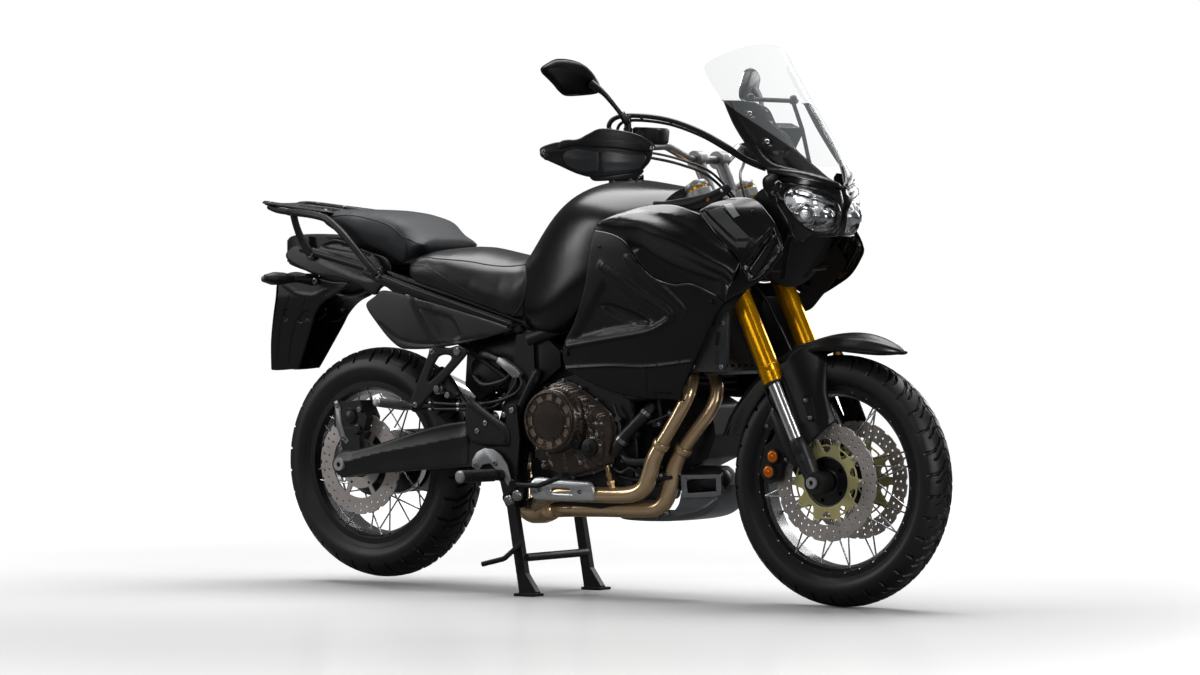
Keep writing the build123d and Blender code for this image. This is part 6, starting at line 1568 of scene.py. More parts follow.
tail_line = [(-1026, 915), (-1014, 938), (-985, 948), (-935, 941), (-898, 944), (-868, 962), (-822, 966), (-730, 938),
             (-645, 916),
             (-626, 898), (-628, 862), (-660, 832), (-694, 808), (-753, 836), (-828, 854), (-873, 858), (-930, 868),
             (-1000, 896)]
for piece in moulded_panel("tail_side", tail_line, tail_form,
                           [("dent", [(-905, 905), (-884, 930), (-760, 905), (-670, 872), (-700, 846), (-780, 862)],
                             -2.5, 9.0),
                            ("dent", [(-888, 941), (-862, 956), (-820, 958), (-720, 930), (-700, 915), (-780, 925)],
                             -5.0, 7.0)],
                           roll=6.0, wall=2.5, cell=7.0):
    fit(piece, nylon, "frame", "black_plastic")
body_rows = []
for x, half, low, high in ((-1046, 60, 902, 962), (-1028, 80, 894, 970), (-990, 92, 884, 976), (-940, 96, 872, 974),
                           (-880, 98, 862, 966), (-800, 98, 856, 944), (-720, 98, 838, 915), (-640, 98, 830, 890)):
    body_rows.append([(x, -half + 6, low), (x, -half, low + 8), (x, -half, high - 10), (x, -half + 12, high),
                      (x, 0, high + 3),
                      (x, half - 12, high), (x, half, high - 10), (x, half, low + 8), (x, half - 6, low),
                      (x, 0, low - 2)])
body_rows = [row + row[:1] for row in body_rows]
fit(lofted("tail_tray", body_rows, wall=0, along=14, across=12), moulded_black, "frame", "black_plastic",
    "plate_holder")


def wall_form(plan):
    x, z = plan.T
    lower = np.clip(800 - z, 0, None)
    return np.stack([x - 0.04 * lower, -(86 - 0.19 * lower), z], 1)


wall_line = [(-1046, 862), (-992, 872), (-914, 856), (-860, 846), (-800, 842), (-846, 812), (-900, 786), (-932, 752),
             (-950, 715), (-1008, 606),
             (-1018, 598), (-1104, 592), (-1114, 604), (-1104, 670), (-1086, 740), (-1066, 800), (-1062, 840)]
for piece in moulded_panel("plate_wall", wall_line, wall_form,
                           [("dent", [(-1052, 760), (-1040, 768), (-1016, 764), (-1018, 748), (-1046, 732)], -5.0,
                             4.0),
                            ("dent", [(-996, 742), (-970, 764), (-944, 760), (-952, 738), (-990, 728)], -5.0, 4.0),
                            ("crease", [(-1020, 800), (-1062, 720), (-1088, 620)], -2.2, 4.0),
                            ("crease", [(-962, 790), (-1016, 706), (-1046, 616)], -2.2, 4.0),
                            ("crease", [(-1040, 836), (-990, 812), (-930, 806), (-880, 820)], 3.0, 7.0)],
                           roll=4.0, wall=2.5, cell=6.0):
    fit(piece, nylon, "frame", "black_plastic")
skin_rows = []
for x, z, half in ((-1056, 866, 86), (-1066, 836, 86), (-1070, 800, 86), (-1090, 740, 75), (-1110, 670, 61),
                   (-1121, 597, 47)):
    skin_rows.append([(x + 3, -half, z), (x - 1, -half + 5, z), (x - 2, -20, z), (x - 2, 20, z), (x - 1, half - 5, z),
                      (x + 3, half, z)])
fit(lofted("plate_back", skin_rows, wall=2.5, along=10, across=10), nylon, "frame", "black_plastic")
screws("tail_bolts", [((-919, -106, 921), (0, -1, 0)), ((-650, -124, 868), (0, -1, 0)),
                      ((-919, -93, 847), (0, -1, 0))], 1.5, "frame")

# Grab bars and rack feet, cast in one and powder coated satin black.
bars = []
for side in (-1, 1):
    bars += [tube_along("bar", [(-988, side * 124, 1040), (-957, side * 136, 1038), (-890, side * 146, 1032),
                                (-830, side * 150, 1020),
                                (-790, side * 152, 996), (-749, side * 152, 962), (-677, side * 150, 893),
                                (-648, side * 146, 866)], 10, 7, 16),
             tube_along("strut", [(-962, side * 134, 1034), (-956, side * 128, 1000), (-944, side * 118, 960),
                                  (-919, side * 108, 921)],
                        (10, 10, 11, 14), 7, 16),
             tube_along("edge", [(-957, side * 139, 1046), (-890, side * 149, 1040), (-830, side * 153, 1028),
                                 (-790, side * 155, 1004),
                                 (-749, side * 155, 970), (-677, side * 153, 901)], 3.4, 8, 10)]
    bars += [turned("pad", [(0, 6), (16, 6), (18, 4), (18, -16)], (-648, side * 138, 866), (0, side, 0), 28),
             turned("pad", [(0, 6), (15, 6), (17, 4), (17, -8)], (-919, side * 106, 921), (0, side, 0), 28)]
fit(joined("grab_rails", bars), powder_coat, "frame", "frame_black", "grab_bars")
screws("grab_bolts", [((-648, -145, 866), (0, -1, 0)), ((-919, -113, 921), (0, -1, 0))], 1.6, "frame")

# Turn signals on rubber stalks, smoked lens outside an amber bulb.
smoke = coat("smoked_polycarbonate_lens", "#160b05", "#241207", 0.16, grain=3.0, peel=0.02, lacquer=0.7)
stalks, lenses = [], []
for side in (-1, 1):
    stalks.append(tube_along("stalk", [(-938, side * 88, 850), (-946, side * 120, 851), (-958, side * 150, 853)],
                             (16, 10, 10), 6, 16))
    stalks.append(tube_along("housing", [(-956, side * 146, 853), (-964, side * 170, 854), (-976, side * 205, 855),
                                         (-984, side * 232, 856)],
                             (11, 17, 18, 10), 6, 20))
    lenses.append(tube_along("lens", [(-960, side * 150, 851), (-970, side * 172, 851), (-982, side * 206, 852),
                                      (-990, side * 234, 853)],
                             (9, 15, 16, 8), 6, 20))
fit(joined("signal_stalks", stalks), moulded_black, "frame", "black_plastic", "rear_indicators")
fit(joined("signal_lenses", lenses), smoke, "frame", "smoke_lens")

# ---------------------------------------------------------------- disc carriers and hub covers
# Pale gold alloy ring inside each front disc, drilled with triangles and held to it by ten floating
# buttons; a black cover closes the hub inside it.
hub_x, hub_z = 798.5, 329.0


def around_hub(r, turns):
    return [(hub_x + radius * cos(2 * pi * t), hub_z + radius * sin(2 * pi * t)) for radius, t in zip(r, turns)]


tabs, holes = [], [around_hub([66] * 40, [k / 40 for k in range(40)])]
for k in range(10):
    at = k / 10
    tabs += around_hub((97, 98, 112, 114, 112, 98, 97), (at - 0.034, at - 0.019, at - 0.014, at, at + 0.014,
                                                         at + 0.019, at + 0.034))
    holes.append(around_hub((76, 90, 93, 90), (at + 0.05, at + 0.028, at + 0.05, at + 0.072)))


def carrier_form(plan):
    return np.stack([plan[:, 0], np.full(len(plan), -74.5), plan[:, 1]], 1)


for piece in moulded_panel("disc_carrier", tabs, carrier_form, (), roll=1.2, wall=5.0, cell=6.0, holes=holes):
    fit(piece, carrier_gold, "front_wheel", "gold_carrier", "front_carriers")
buttons = []
for side in (-1, 1):
    for x, z in around_hub([108] * 10, [k / 10 for k in range(10)]):
        buttons.append(turned("button", [(3.2, 1.2), (7, 1.0), (8.5, 0), (8.5, -6)], (x, side * 75.2, z),
                              (0, side, 0), 20))
fit(joined("disc_buttons", buttons), disc_steel, "front_wheel", "disc_steel")
covers = []
for side in (-1, 1):
    covers.append(turned("hub_cover", [(20, 6), (34, 5), (40, 2), (58, 1), (64, -1), (65, -8)],
                         (hub_x, side * 64, hub_z), (0, side, 0), 48))
    for x, z in around_hub([50] * 5, [(k + 0.5) / 5 for k in range(5)]):
        covers.append(turned("hub_boss", [(0, 3), (6, 3), (8, 1.5), (8, -4)], (x, side * 66, z), (0, side, 0), 6))
fit(joined("hub_covers", covers), rim_lacquer, "front_wheel", "frame_black")

# ---------------------------------------------------------------- passenger footrest hangers
# Cast alloy brackets, an open triangle bolted to the subframe at both upper corners.
hanger_line = [(-466, 662), (-440, 672), (-400, 666), (-366, 672), (-338, 662), (-344, 640), (-484, 516), (-502, 494),
               (-524, 488), (-536, 502),
               (-532, 524), (-474, 640)]
hanger_form = lambda plan: np.stack([plan[:, 0], np.full(len(plan), -147.0), plan[:, 1]], 1)
for piece in moulded_panel("passenger_hanger", hanger_line, hanger_form, (), roll=5.0, wall=8.0, cell=5.0,
                           holes=[[(-434, 640), (-390, 636), (-470, 572)]]):
    fit(piece, powder_coat, "frame", "frame_black", "passenger_hangers")
screws("passenger_screws", [((-368, -147, 656), (0, -1, 0)), ((-454, -147, 655), (0, -1, 0)),
                            ((-514, -147, 508), (0, -1, 0))], 1.3, "frame")

# ---------------------------------------------------------------- rear brake
# Two-piece caliper on the torque bracket: bright bracket edge, round piston covers and banjo bolt.
arm = plate_part("caliper_bracket_rear", [(-806, 512), (-794, 516), (-784, 498), (-778, 452), (-766, 420),
                                          (-752, 404), (-760, 394), (-782, 408), (-797, 440),
                                          (-800, 480)], 142, 148, 2.0, both=False)
fit(arm, cast_alloy, "frame", "alloy")
caps = [turned("piston", [(0, 4), (14, 4), (17, 2.5), (19, 0), (19, -10)], (-746, -150, 471), (0, -1, 0), 36),
        turned("piston", [(0, 4), (11, 4), (13, 2.5), (15, 0), (15, -10)], (-724, -150, 436), (0, -1, 0), 36)]
fit(joined("caliper_pistons", caps), dark_paint, "frame", "frame_black")
screws("caliper_screws_rear", [((-795, -148, 502), (0, -1, 0)), ((-770, -148, 412), (0, -1, 0)),
                               ((-712, -150, 492), (0, -1, 0))], 1.2, "frame", both=False)

# ---------------------------------------------------------------- swingarm and footrests
# Cast swingarm with a long crease down each side, a nylon cover over its pivot, and the rider's
# footrest on a black hanger with a bright heel guard.
def arm_form(plan):
    x, z = plan.T
    return np.stack([x, -np.minimum(160 + np.clip(-340 - x, 0, None) * 0.094, 194), z], 1)


arm_line = [(-318, 352), (-326, 346), (-500, 330), (-677, 316), (-738, 305), (-768, 322), (-776, 342), (-766, 362),
            (-738, 378),
            (-694, 382), (-600, 405), (-452, 447), (-340, 467), (-322, 460), (-316, 410)]
arm_paint = coat("satin_grey_paint_on_cast_alloy", "#151617", "#1c1d1f", 0.38, metal=0.15, grain=2.0, peel=0.08,
                 edge="#4a4b4e",
                 shine=0.45)
for piece in moulded_panel("arm_side", arm_line, arm_form,
                           [("crease", [(-752, 342), (-700, 352), (-621, 371), (-512, 391), (-400, 412), (-322, 426)],
                             7.0, 30.0)],
                           roll=7.0, wall=2.0, cell=7.0, mirror=False):
    fit(piece, arm_paint, "frame", "dark_alloy")
finish_node(arm_paint, "swingarm", "final_drive")
pivot_line = [(-316, 528), (-306, 538), (-283, 520), (-230, 488), (-184, 462), (-170, 444), (-168, 410), (-178, 402),
              (-284, 406), (-312, 430),
              (-320, 470)]


def pivot_form(plan):
    return np.stack([plan[:, 0], np.full(len(plan), -177.0), plan[:, 1]], 1)


for piece in moulded_panel("pivot_cover", pivot_line, pivot_form, [("crease", [(-300, 516), (-200, 458), (-180, 420)],
                                                                    3.0, 10.0)],
                           roll=9.0, wall=3.0, cell=6.0):
    fit(piece, moulded_black, "frame", "black_plastic")
screws("pivot_screws", [((-246, -177, 464), (0, -1, 0)), ((-274, -177, 442), (0, -1, 0))], 1.2, "frame")
heel_line = [(-288, 346), (-286, 364), (-270, 386), (-244, 397), (-214, 394), (-188, 380), (-168, 356), (-156, 320),
             (-152, 300), (-166, 298),
             (-178, 318), (-190, 334), (-206, 340), (-224, 356), (-250, 352), (-268, 336)]
heel = plate_part("heel_guard", heel_line, 179, 186, 2.5)
fit(heel, cast_alloy, "frame", "alloy")
finish_node(powder_coat, "hangers")
screws("hanger_screws", [((-272, -186, 350), (0, -1, 0)), ((-206, -186, 358), (0, -1, 0)),
                         ((-160, -171, 500), (0, -1, 0)),
                         ((-160, -171, 306), (0, -1, 0))], 1.3, "frame")
knuckle = [turned("knuckle", [(0, 6), (7, 6), (9, 4), (13, 3), (14.5, 1), (14.5, -8)], at, (0, -1, 0), 28) for at in
           ((-128, -192, 272), (-158, -190, 258))]
fit(joined("pedal_pivots", knuckle), bright_screw, "frame", "bright_steel")
ridges = [(0, 0)]
for k in range(13):
    ridges += [(14.5, 4 + k * 9), (17, 6 + k * 9), (17, 9 + k * 9), (14.5, 11 + k * 9)]
ridges += [(13, 124), (0, 125)]
pegs = [turned("peg", ridges, (-191, side * 206, 326), (-0.19, side, 0), 24) for side in (-1, 1)]
fit(joined("footrest_rubbers", pegs), moulded_black, "frame", "grip_rubber")
ends = [turned("peg_end", [(0, 7), (13, 6), (17, 2), (17, -3)], (-216, side * 326, 325.5), (-0.19, side, 0),
               24) for side in (-1, 1)]
fit(joined("footrest_ends", ends), cast_alloy, "frame", "alloy")
pillion_pegs = []
for side in (-1, 1):
    pillion_pegs.append(turned("peg", [(0, 150), (9, 149), (13, 144), (13, 20), (10, 14), (10, 0)],
                               (-530, side * 152, 503),
                               (0, side, 0.12), 24))
fit(joined("passenger_pegs", pillion_pegs), cast_alloy, "frame", "alloy", "footpegs")

# ---------------------------------------------------------------- behind the side cover
# What shows between the swingarm and the seat: battery box and frame plates, the shock's reservoir,
# the rear brake's cylinder with its hoses, and the frame's plugs.
for name, outline, low, high in (
        ("battery_box", [(-330, 668), (-190, 712), (-100, 700), (10, 640), (24, 560), (-110, 548), (-190, 556),
                         (-262, 566), (-345, 600)], 84, 92),
        ("frame_plate", [(-172, 702), (-150, 716), (-100, 712), (-34, 664), (-30, 618), (-96, 572), (-128, 560),
                         (-186, 452), (-206, 462),
                         (-160, 600)], 112, 122),
        ("rear_box", [(-348, 622), (-330, 640), (-250, 628), (-240, 580), (-262, 560), (-340, 574)], 96, 112),
        ("shock_tower", [(-400, 690), (-330, 704), (-290, 660), (-300, 560), (-360, 520), (-410, 560)], 46, 60)):
    fit(plate_part(name, outline, low, high, 3.0), casting_paint, "frame", "frame_black")
tubes = []
for side in (-1, 1):
    tubes += [tube_along("tube", [(-96, side * 132, 606), (-118, side * 136, 572), (-150, side * 138, 515),
                                  (-184, side * 138, 452)], 13, 8, 20),
              turned("plug", [(0, 4), (14, 4), (18, 1), (18, -10)], (-108, side * 140, 590), (0, side, 0), 28)]
fit(joined("frame_tubes", tubes), powder_coat, "frame", "frame_black")
cylinder = plate_part("rear_master_cylinder", [(-236, 628), (-226, 644), (-204, 636), (-170, 616), (-152, 600),
                                               (-156, 588), (-176, 586), (-200, 604)],
                      126, 146, 4.0, both=False)
fit(cylinder, cast_alloy, "frame", "alloy")
hoses = [tube_along("hose", [(-308, -112, 646), (-282, -128, 648), (-250, -134, 640), (-226, -136, 632)],
                    (12, 12, 9, 9), 6, 16),
         tube_along("hose", [(-158, -138, 594), (-148, -142, 570), (-168, -142, 546), (-230, -140, 524),
                             (-300, -136, 514), (-400, -134, 512), (-520, -130, 516)], 4.6, 8, 12),
         tube_along("hose", [(-170, -134, 590), (-180, -138, 560), (-240, -136, 510), (-300, -134, 500),
                             (-400, -132, 498), (-520, -128, 496)], 4.6, 8, 12),
         tube_along("hose", [(-190, -130, 604), (-220, -126, 580), (-290, -126, 566), (-330, -120, 590)], 6.5, 8, 12),
         tube_along("reservoir", [(-458, -112, 604), (-440, -114, 584), (-404, -116, 546), (-392, -116, 532)],
                    (15, 19, 19, 14), 6, 24)]
fit(joined("rear_hoses", hoses), hose_rubber, "frame", "grip_rubber")
bands = [turned("band", [(5.4, -5), (6.6, -4), (6.6, 4), (5.4, 5)], (x, -134.5, z), (1, 0, 0), 16) for x, z in
         ((-372, 512), (-372, 498), (-470, 514), (-470, 496))]
bands += [turned("nut", [(0, 10), (9, 10), (11, 8), (11, 0)], (-442, -138, 553), (0, -1, 0), 6),
          turned("nut_seat", [(11, 3), (15, 3), (16.5, 0), (16.5, -12)], (-442, -138, 553), (0, -1, 0), 24),
          turned("bolt", [(0, 5), (8, 5), (10, 3), (10, 0)], (-408, -138, 536), (0, -1, 0), 6),
          turned("bolt", [(0, 5), (9, 5), (11.5, 3), (11.5, 0)], (-367, -147, 656), (0, -1, 0), 24),
          turned("bolt", [(0, 6), (7, 6), (9, 4), (9, 0)], (-204, -146, 486), (0, -1, 0), 6)]
fit(joined("hose_bands", bands), bright_screw, "frame", "bright_steel")

# ---------------------------------------------------------------- luggage rack
# Cast alloy deck with three long slots, a raised rim and fixing bolts, painted black, on feet down to the
# grab bars.
def deck_form(plan):
    x, y = plan.T
    return np.stack([x, y, 1036 + (-845 - x) * 0.115 + 0.0004 * y ** 2], 1)


deck_line = [(-1120, 0), (-1118, 70), (-1102, 104), (-1070, 116), (-960, 122), (-868, 126), (-846, 112), (-842, 60),
             (-850, 0),
             (-842, -60), (-846, -112), (-868, -126), (-960, -122), (-1070, -116), (-1102, -104), (-1118, -70)]
slots_in_deck = [[(-1080, y - w), (-1080, y + w), (-890, y + w * 1.1), (-890, y - w * 1.1)] for y,
                 w in ((-82, 16), (0, 30), (82, 16))]
rim = [("rib", [(-1106, 60), (-1092, 100), (-960, 110), (-868, 114)], 4.0, 9.0),
       ("rib", [(-1106, -60), (-1092, -100), (-960, -110), (-868, -114)], 4.0, 9.0),
       ("rib", [(-1060, 46), (-900, 46)], 3.0, 8.0), ("rib", [(-1060, -46), (-900, -46)], 3.0, 8.0)]
for piece in moulded_panel("rack_deck", deck_line, deck_form, rim, roll=4.0, wall=9.0, cell=7.0, holes=slots_in_deck,
                           mirror=False, back=1):
    fit(piece, powder_coat, "frame", "black_plastic", "luggage_rack")
feet = []
for side in (-1, 1):
    feet += [tube_along("foot", [(-1076, side * 104, 1056), (-1040, side * 112, 1046), (-985, side * 122, 1040)], 9,
                        7, 14),
             tube_along("foot", [(-862, side * 112, 1034), (-880, side * 128, 1031), (-900, side * 140, 1030)], 8, 7,
                        14)]
fit(joined("rack_feet", feet), powder_coat, "frame", "black_plastic")
screws("rack_screws", [(tuple(deck_form(np.array([[x, -104.0]]))[0] + (0, 0, 1)),
                        (0, 0, 1)) for x in (-1072.0, -975.0, -872.0)], 1.0, "frame")

# ---------------------------------------------------------------- hand guards
# Two-part nylon guards bent round the grips: a dark upper shell over a lower one whose facets carry
# a greyer finish, bolted to the bar's end.
def guard_bend(plan, out=0.0):
    around, z = plan.T
    angle = around / 217
    radius = 213 + out - 0.0016 * (z - 1184) ** 2
    return np.stack([185 + radius * np.cos(angle), -275 - radius * np.sin(angle), z], 1)


facet_grey = coat("satin_dark_grey_nylon_facet", "#2a2c2f", "#333538", 0.36, grain=0.9, peel=0.06, edge="#38393b",
                  shine=0.35)
for name, outline, out, finish, roll, features in (
        ("guard_lower", [(346, 1186), (342, 1200), (300, 1212), (262, 1214), (180, 1214), (60, 1204), (10, 1196),
                         (14, 1168), (30, 1150),
                         (61, 1134), (175, 1120), (227, 1126), (286, 1150), (338, 1172)], 0.0, moulded_black, 5.0,
         [("crease", [(330, 1186), (268, 1190), (176, 1186), (60, 1180)], 3.0, 14.0)]),
        ("guard_facet_outer", [(272, 1176), (262, 1190), (236, 1194), (184, 1188), (178, 1180), (178, 1142),
                               (184, 1136), (228, 1136), (264, 1154)],
         3.2, facet_grey, 3.5, [("crease", [(268, 1172), (226, 1166), (180, 1164)], 1.6, 16.0)]),
        ("guard_facet_inner", [(168, 1186), (100, 1182), (44, 1178), (38, 1170), (52, 1150), (70, 1140), (160, 1132),
                               (168, 1138)],
         3.2, facet_grey, 3.5, [("crease", [(166, 1162), (100, 1160), (48, 1162)], 1.6, 14.0)]),
        ("guard_upper", [(282, 1194), (280, 1214), (262, 1219), (234, 1220), (206, 1234), (172, 1248), (120, 1244),
                         (61, 1232), (8, 1207),
                         (6, 1196), (40, 1187), (120, 1194), (175, 1198), (240, 1202)], 6.5, moulded_black, 5.0,
         [("crease", [(266, 1208), (180, 1216), (60, 1206)], 2.5, 18.0)]),
        ("guard_lip", [(200, 1126), (196, 1114), (170, 1110), (70, 1118), (36, 1134), (46, 1142), (90, 1130),
                       (170, 1122)], -5.0, moulded_black,
         3.0, [])):
    for piece in moulded_panel(name, outline, lambda plan, out=out: guard_bend(plan, out), features, roll=roll,
                               wall=2.5, cell=6.0,
                               back=-1):
        fit(piece, finish, "steering", "black_plastic", "hand_guards")
screws("guard_bolts", [(tuple(guard_bend(np.array([[330.0, 1187.0]]), -1.0)[0]), (0.05, -1, 0)),
                       (tuple(guard_bend(np.array([[24.0, 1196.0]]), 7.0)[0]), (1, -0.1, 0))], 1.1, "steering")

# ---------------------------------------------------------------- mirrors
# Moulded shells, domed in front, with silvered glass behind and a steel stem screwed into the lever clamp.
mirror_black = coat("satin_black_mirror_shell", "#050506", "#070708", 0.42, grain=3.0, peel=0.01, shine=0.12)
mirror_at, mirror_along = np.array([222.0, -408.0, 1386.0]), np.array([-0.3609, -0.9307, 0.0601])
mirror_out = np.array([0.9316, -0.3612, 0.02])


def mirror_form(plan, out=0.0, dome=1.0):
    s, t = plan.T
    rise = 15 * dome * np.clip(1 - (s / 105) ** 2, 0, 1) * np.clip(1 - ((t + 0.12 * s) / 62) ** 2, 0, 1)
    return mirror_at + s[:, None] * mirror_along + np.outer(t, (0, 0, 1)) + np.outer(rise + out, mirror_out)


mirror_line = [(86, 16), (60, 33), (37, 42), (0, 43), (-36, 36), (-63, 19), (-86, -4), (-95, -24), (-92, -34),
               (-79, -41), (-40, -48),
               (11, -53), (32, -43), (50, -26), (70, -10), (86, 3)]
for piece in moulded_panel("mirror_shell", mirror_line, mirror_form, [("crease", [(70, 14), (10, 12), (-60, -6)], 3.5,
                                                                       26.0)],
                           roll=12.0, wall=2.0, cell=6.0, back=-1):
    fit(piece, mirror_black, "steering", "black_plastic", "mirrors")
silvered = coat("silvered_mirror_glass", "#c4c7ca", "#d2d4d6", 0.03, metal=1.0, grain=20.0, peel=0.0)
middle = np.mean(mirror_line, axis=0)
inner_line = [tuple(middle + (np.array(p) - middle) * 0.95) for p in mirror_line]
for piece in moulded_panel("mirror_glass", inner_line, lambda plan: mirror_form(plan, -9.0, 0.0), (), roll=0,
                           wall=2.0, cell=9.0, back=-1):
    fit(piece, silvered, "steering", "chrome")
rim_line = moulded_panel("mirror_rim", mirror_line, lambda plan: mirror_form(plan, -7.0, 0.0), (), roll=3.0, wall=3.0,
                         cell=12.0,
                         holes=[[tuple(middle + (np.array(p) - middle) * 0.93) for p in mirror_line]], back=1)
for piece in rim_line:
    fit(piece, moulded_black, "steering", "black_plastic")
stems = []
for side in (-1, 1):
    stems += [tube_along("stem", [(262, side * 372, 1366), (292, side * 356, 1340), (314, side * 330, 1301),
                                  (324, side * 312, 1276)],
                         (12, 7, 6, 6), 6, 16),
              turned("collar", [(6, 34), (9, 33), (10, 31), (10, 4), (8.5, 0)], (330, side * 303, 1262),
                     (-0.3, side * 0.85, 1.2), 6),
              turned("stub", [(0, 62), (8, 62), (9.5, 60), (9.5, 30), (11.5, 29), (11.5, 14), (9, 12), (9, 0)],
                     (322, side * 292, 1222),
                     (0, 0, 1), 20)]
fit(joined("mirror_stems", stems), powder_coat, "steering", "frame_black")

# ---------------------------------------------------------------- bar fittings
# Brake fluid box with its sight glass, knurled grips and switch boxes.
box = plate_part("fluid_box", [(322, 1250), (330, 1254), (402, 1250), (410, 1244), (406, 1212), (398, 1206),
                               (352, 1210), (326, 1220)],
                 224, 276, 4.0)
fit(box, moulded_black, "steering", "black_plastic")
sight = [turned("sight", [(0, 2.5), (8, 2.3), (9.5, 1.0), (12, 1.6), (13.5, 0.5), (13.5, -2)],
                (348, side * 276.5, 1232), (0, side, 0), 28)
         for side in (-1, 1)]
fit(joined("sight_glasses", sight), facet_grey, "steering", "black_plastic")
grips = []
for side in (-1, 1):
    a, b = np.array((291.0, side * 296.0, 1199.0)), np.array((205.0, side * 468.0, 1180.0))
    run = (b - a) / np.linalg.norm(b - a)
    ribs = [(11.5, 0), (18, 1), (19, 3), (19, 7), (16.8, 9)]
    for k in range(24):
        ribs += [(16.4, 12 + k * 7), (17.3, 13.5 + k * 7), (17.3, 16 + k * 7)]
    ribs += [(16.4, 182), (18, 184), (18, 188), (12, 190), (0, 190)]
    grips.append(turned("grip", ribs, tuple(a), tuple(run), 28))
    grips.append(turned("bar_end", [(0, 26), (9, 25), (13, 20), (13, 4), (10, 0)], tuple(a + run * 190), tuple(run),
                        24))
fit(joined("ribbed_grips", grips), seal_rubber, "steering", "grip_rubber", "grips")

# Machined caps clamp the fork's tops; each has a hexagon socket in the middle.
fork_caps = []
for side in (-1, 1):
    fork_caps.append(turned("fork_cap", [(27.8, -13), (30.5, -12), (31.5, -10), (31.5, -4), (29.5, 2), (24, 4),
                                         (23, 1.5), (11, 1.5), (10, 3.5), (0, 3.5)],
                            tuple(on_fork(868, side * 108)), tuple(up), 40))
    fork_caps.append(turned("cap_socket", [(0, 6), (7, 6), (8.5, 4.5), (8.5, 1)], tuple(on_fork(868, side * 108)),
                            tuple(up), 6))
fit(joined("fork_caps", fork_caps), cast_alloy, "steering", "alloy")

# ---------------------------------------------------------------- cables
# Black wiring loom arching from the right switch box into the nose, with the throttle and clutch
# cables: rubber and nylon sleeves.
cables = [tube_along("loom", [(284, -292, 1220), (266, -300, 1256), (296, -300, 1280), (352, -274, 1282),
                              (420, -238, 1270),
                              (488, -196, 1240), (546, -156, 1200), (584, -124, 1168), (628, -102, 1150)], 6.5, 7,
                              16),
          tube_along("loom", [(292, -280, 1222), (284, -286, 1248), (310, -290, 1268), (356, -264, 1270),
                              (420, -228, 1258),
                              (486, -186, 1228), (540, -148, 1190), (580, -118, 1160), (624, -98, 1140)], 4.2, 7, 12),
          tube_along("cable", [(310, -262, 1180), (344, -206, 1172), (384, -142, 1156), (424, -72, 1126),
                               (458, 0, 1056), (470, 38, 996)],
                     3.8, 7, 12),
          tube_along("cable", [(314, -258, 1190), (350, -200, 1184), (392, -138, 1166), (432, -68, 1134),
                               (462, 4, 1060), (474, 30, 1000)],
                     3.4, 7, 12),
          tube_along("cable", [(310, 262, 1180), (344, 206, 1172), (384, 142, 1156), (424, 72, 1126), (458, 48, 1056),
                               (470, 38, 996)],
                     3.8, 7, 12)]
for x, y, z in ((352, -271, 1278), (420, -234, 1266), (488, -192, 1236)):
    cables.append(turned("tie", [(6.8, -3), (9.2, -2.5), (9.2, 2.5), (6.8, 3)], (x, y, z), (0.86, 0.48, -0.2), 16))
loom = joined("control_looms", cables)
loom.data.materials.clear()
loom.data.materials.append(hose_rubber)
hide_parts("control_cables")
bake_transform(loom)

# ---------------------------------------------------------------- nose cavity
# Below the lamps the nose is open: a matt black inner panel, and a steel brace rod across to the
# left fairing.
def chin_form(plan):
    y, z = plan.T
    return np.stack([645 + (z - 850) * 0.60 - 0.0013 * y ** 2, y, z], 1)
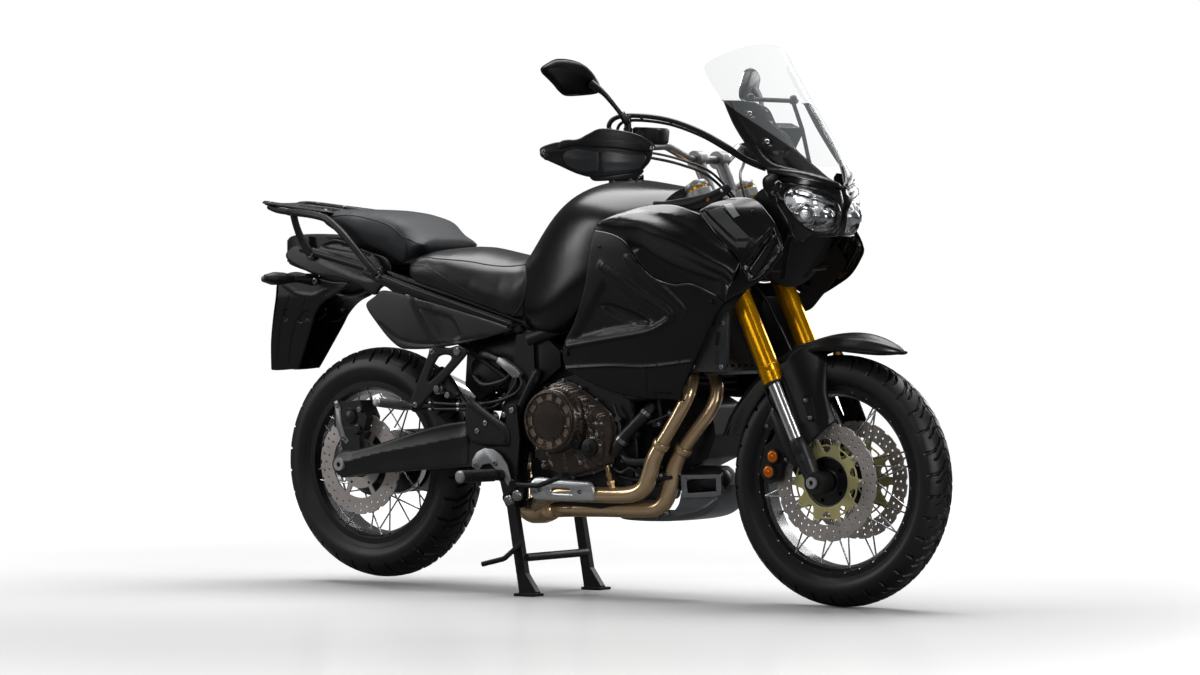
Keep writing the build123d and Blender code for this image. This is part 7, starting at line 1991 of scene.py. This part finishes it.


# Painted shade: this matt black is darker than the other black mouldings and stands in for the shade of the open
# cavity under the lamps.
chin_painted_shade = coat("matt_black_inner_panel_painted_cavity_shade", "#040404", "#070707", 0.62, grain=1.2, peel=0.05, shine=0.2)
for piece in moulded_panel("chin_panel", [(-136, 962), (-138, 930), (-120, 884), (-88, 854), (-40, 836), (0, 832),
                                          (40, 836), (88, 854), (120, 884), (138, 930), (136, 962), (0, 968)],
                           chin_form, [("rib", [(-90, 950), (-70, 900), (-50, 862)], 6.0, 9.0),
                                       ("rib", [(90, 950), (70, 900), (50, 862)], 6.0, 9.0)],
                           roll=3.0, wall=3.0, cell=8.0, mirror=False):
    fit(piece, chin_painted_shade, "frame", "black_plastic")
rod = [tube_along("rod", [(646, -120, 880), (650, -60, 878), (654, 60, 880), (658, 130, 884)], 6, 10, 16)]
rod += [tube_along("rod", [(588, side * 150, 870), (622, side * 140, 884), (648, side * 120, 905),
                           (672, side * 96, 940)], 5, 8, 12) for side in (-1, 1)]
fit(joined("nose_braces", rod), powder_coat, "frame", "frame_black")

# The matt bracket between the shoulder and the fork's cap, with two holes through it.
bracket_line = [(308, 1060), (356, 1062), (470, 1078), (538, 1102), (550, 1098), (554, 1084), (500, 1052),
                (430, 1034), (366, 1036), (312, 1046)]


def bracket_form(plan):
    return np.stack([plan[:, 0], np.full(len(plan), -160.0), plan[:, 1]], 1)


for piece in moulded_panel("shoulder_bracket", bracket_line, bracket_form,
                           [("crease", [(318, 1053), (400, 1050), (460, 1062), (540, 1092)], 2.0, 9.0)],
                           roll=3.0, wall=3.0, cell=5.0, holes=[ring_of(528, 1088, 5), ring_of(482, 1065, 5)]):
    fit(piece, bracket_black, "frame", "black_plastic")

# Black sheets close the gaps behind the shoulders, between the shoulder and the lamp frame, and behind the fork:
# plain black plastic put where the bodywork's shaded inside shows, painted shade.
for name, outline, form in (
        ("shoulder_gap_shade_sheet", [(556, 944), (640, 950), (684, 900), (660, 862), (606, 806), (570, 772), (524, 768),
                            (530, 806), (545, 860)], lambda p: flank(p, -9.0)),
        ("cheek_gap_shade_sheet", [(606, 1060), (640, 1092), (690, 1070), (716, 1010), (704, 950), (650, 930), (606, 980)],
         lambda p: np.stack([p[:, 0], np.full(len(p), -124.0), p[:, 1]], 1))):
    for piece in moulded_panel(name, outline, form, (), roll=0, wall=2.0, cell=14.0):
        fit(piece, bracket_black, "frame", "black_plastic")
fork_gap_shade_sheet = moulded_panel("fork_gap_shade_sheet", [(-150, 780), (-156, 850), (-150, 930), (0, 940), (150, 930), (156, 850),
                                          (150, 780), (0, 776)],
                           lambda p: np.stack([800.0 - 0.4877 * p[:, 1], p[:, 0], p[:, 1]], 1), (), roll=0, wall=2.0,
                           cell=16.0, mirror=False)
fit(fork_gap_shade_sheet[0], bracket_black, "frame", "black_plastic")
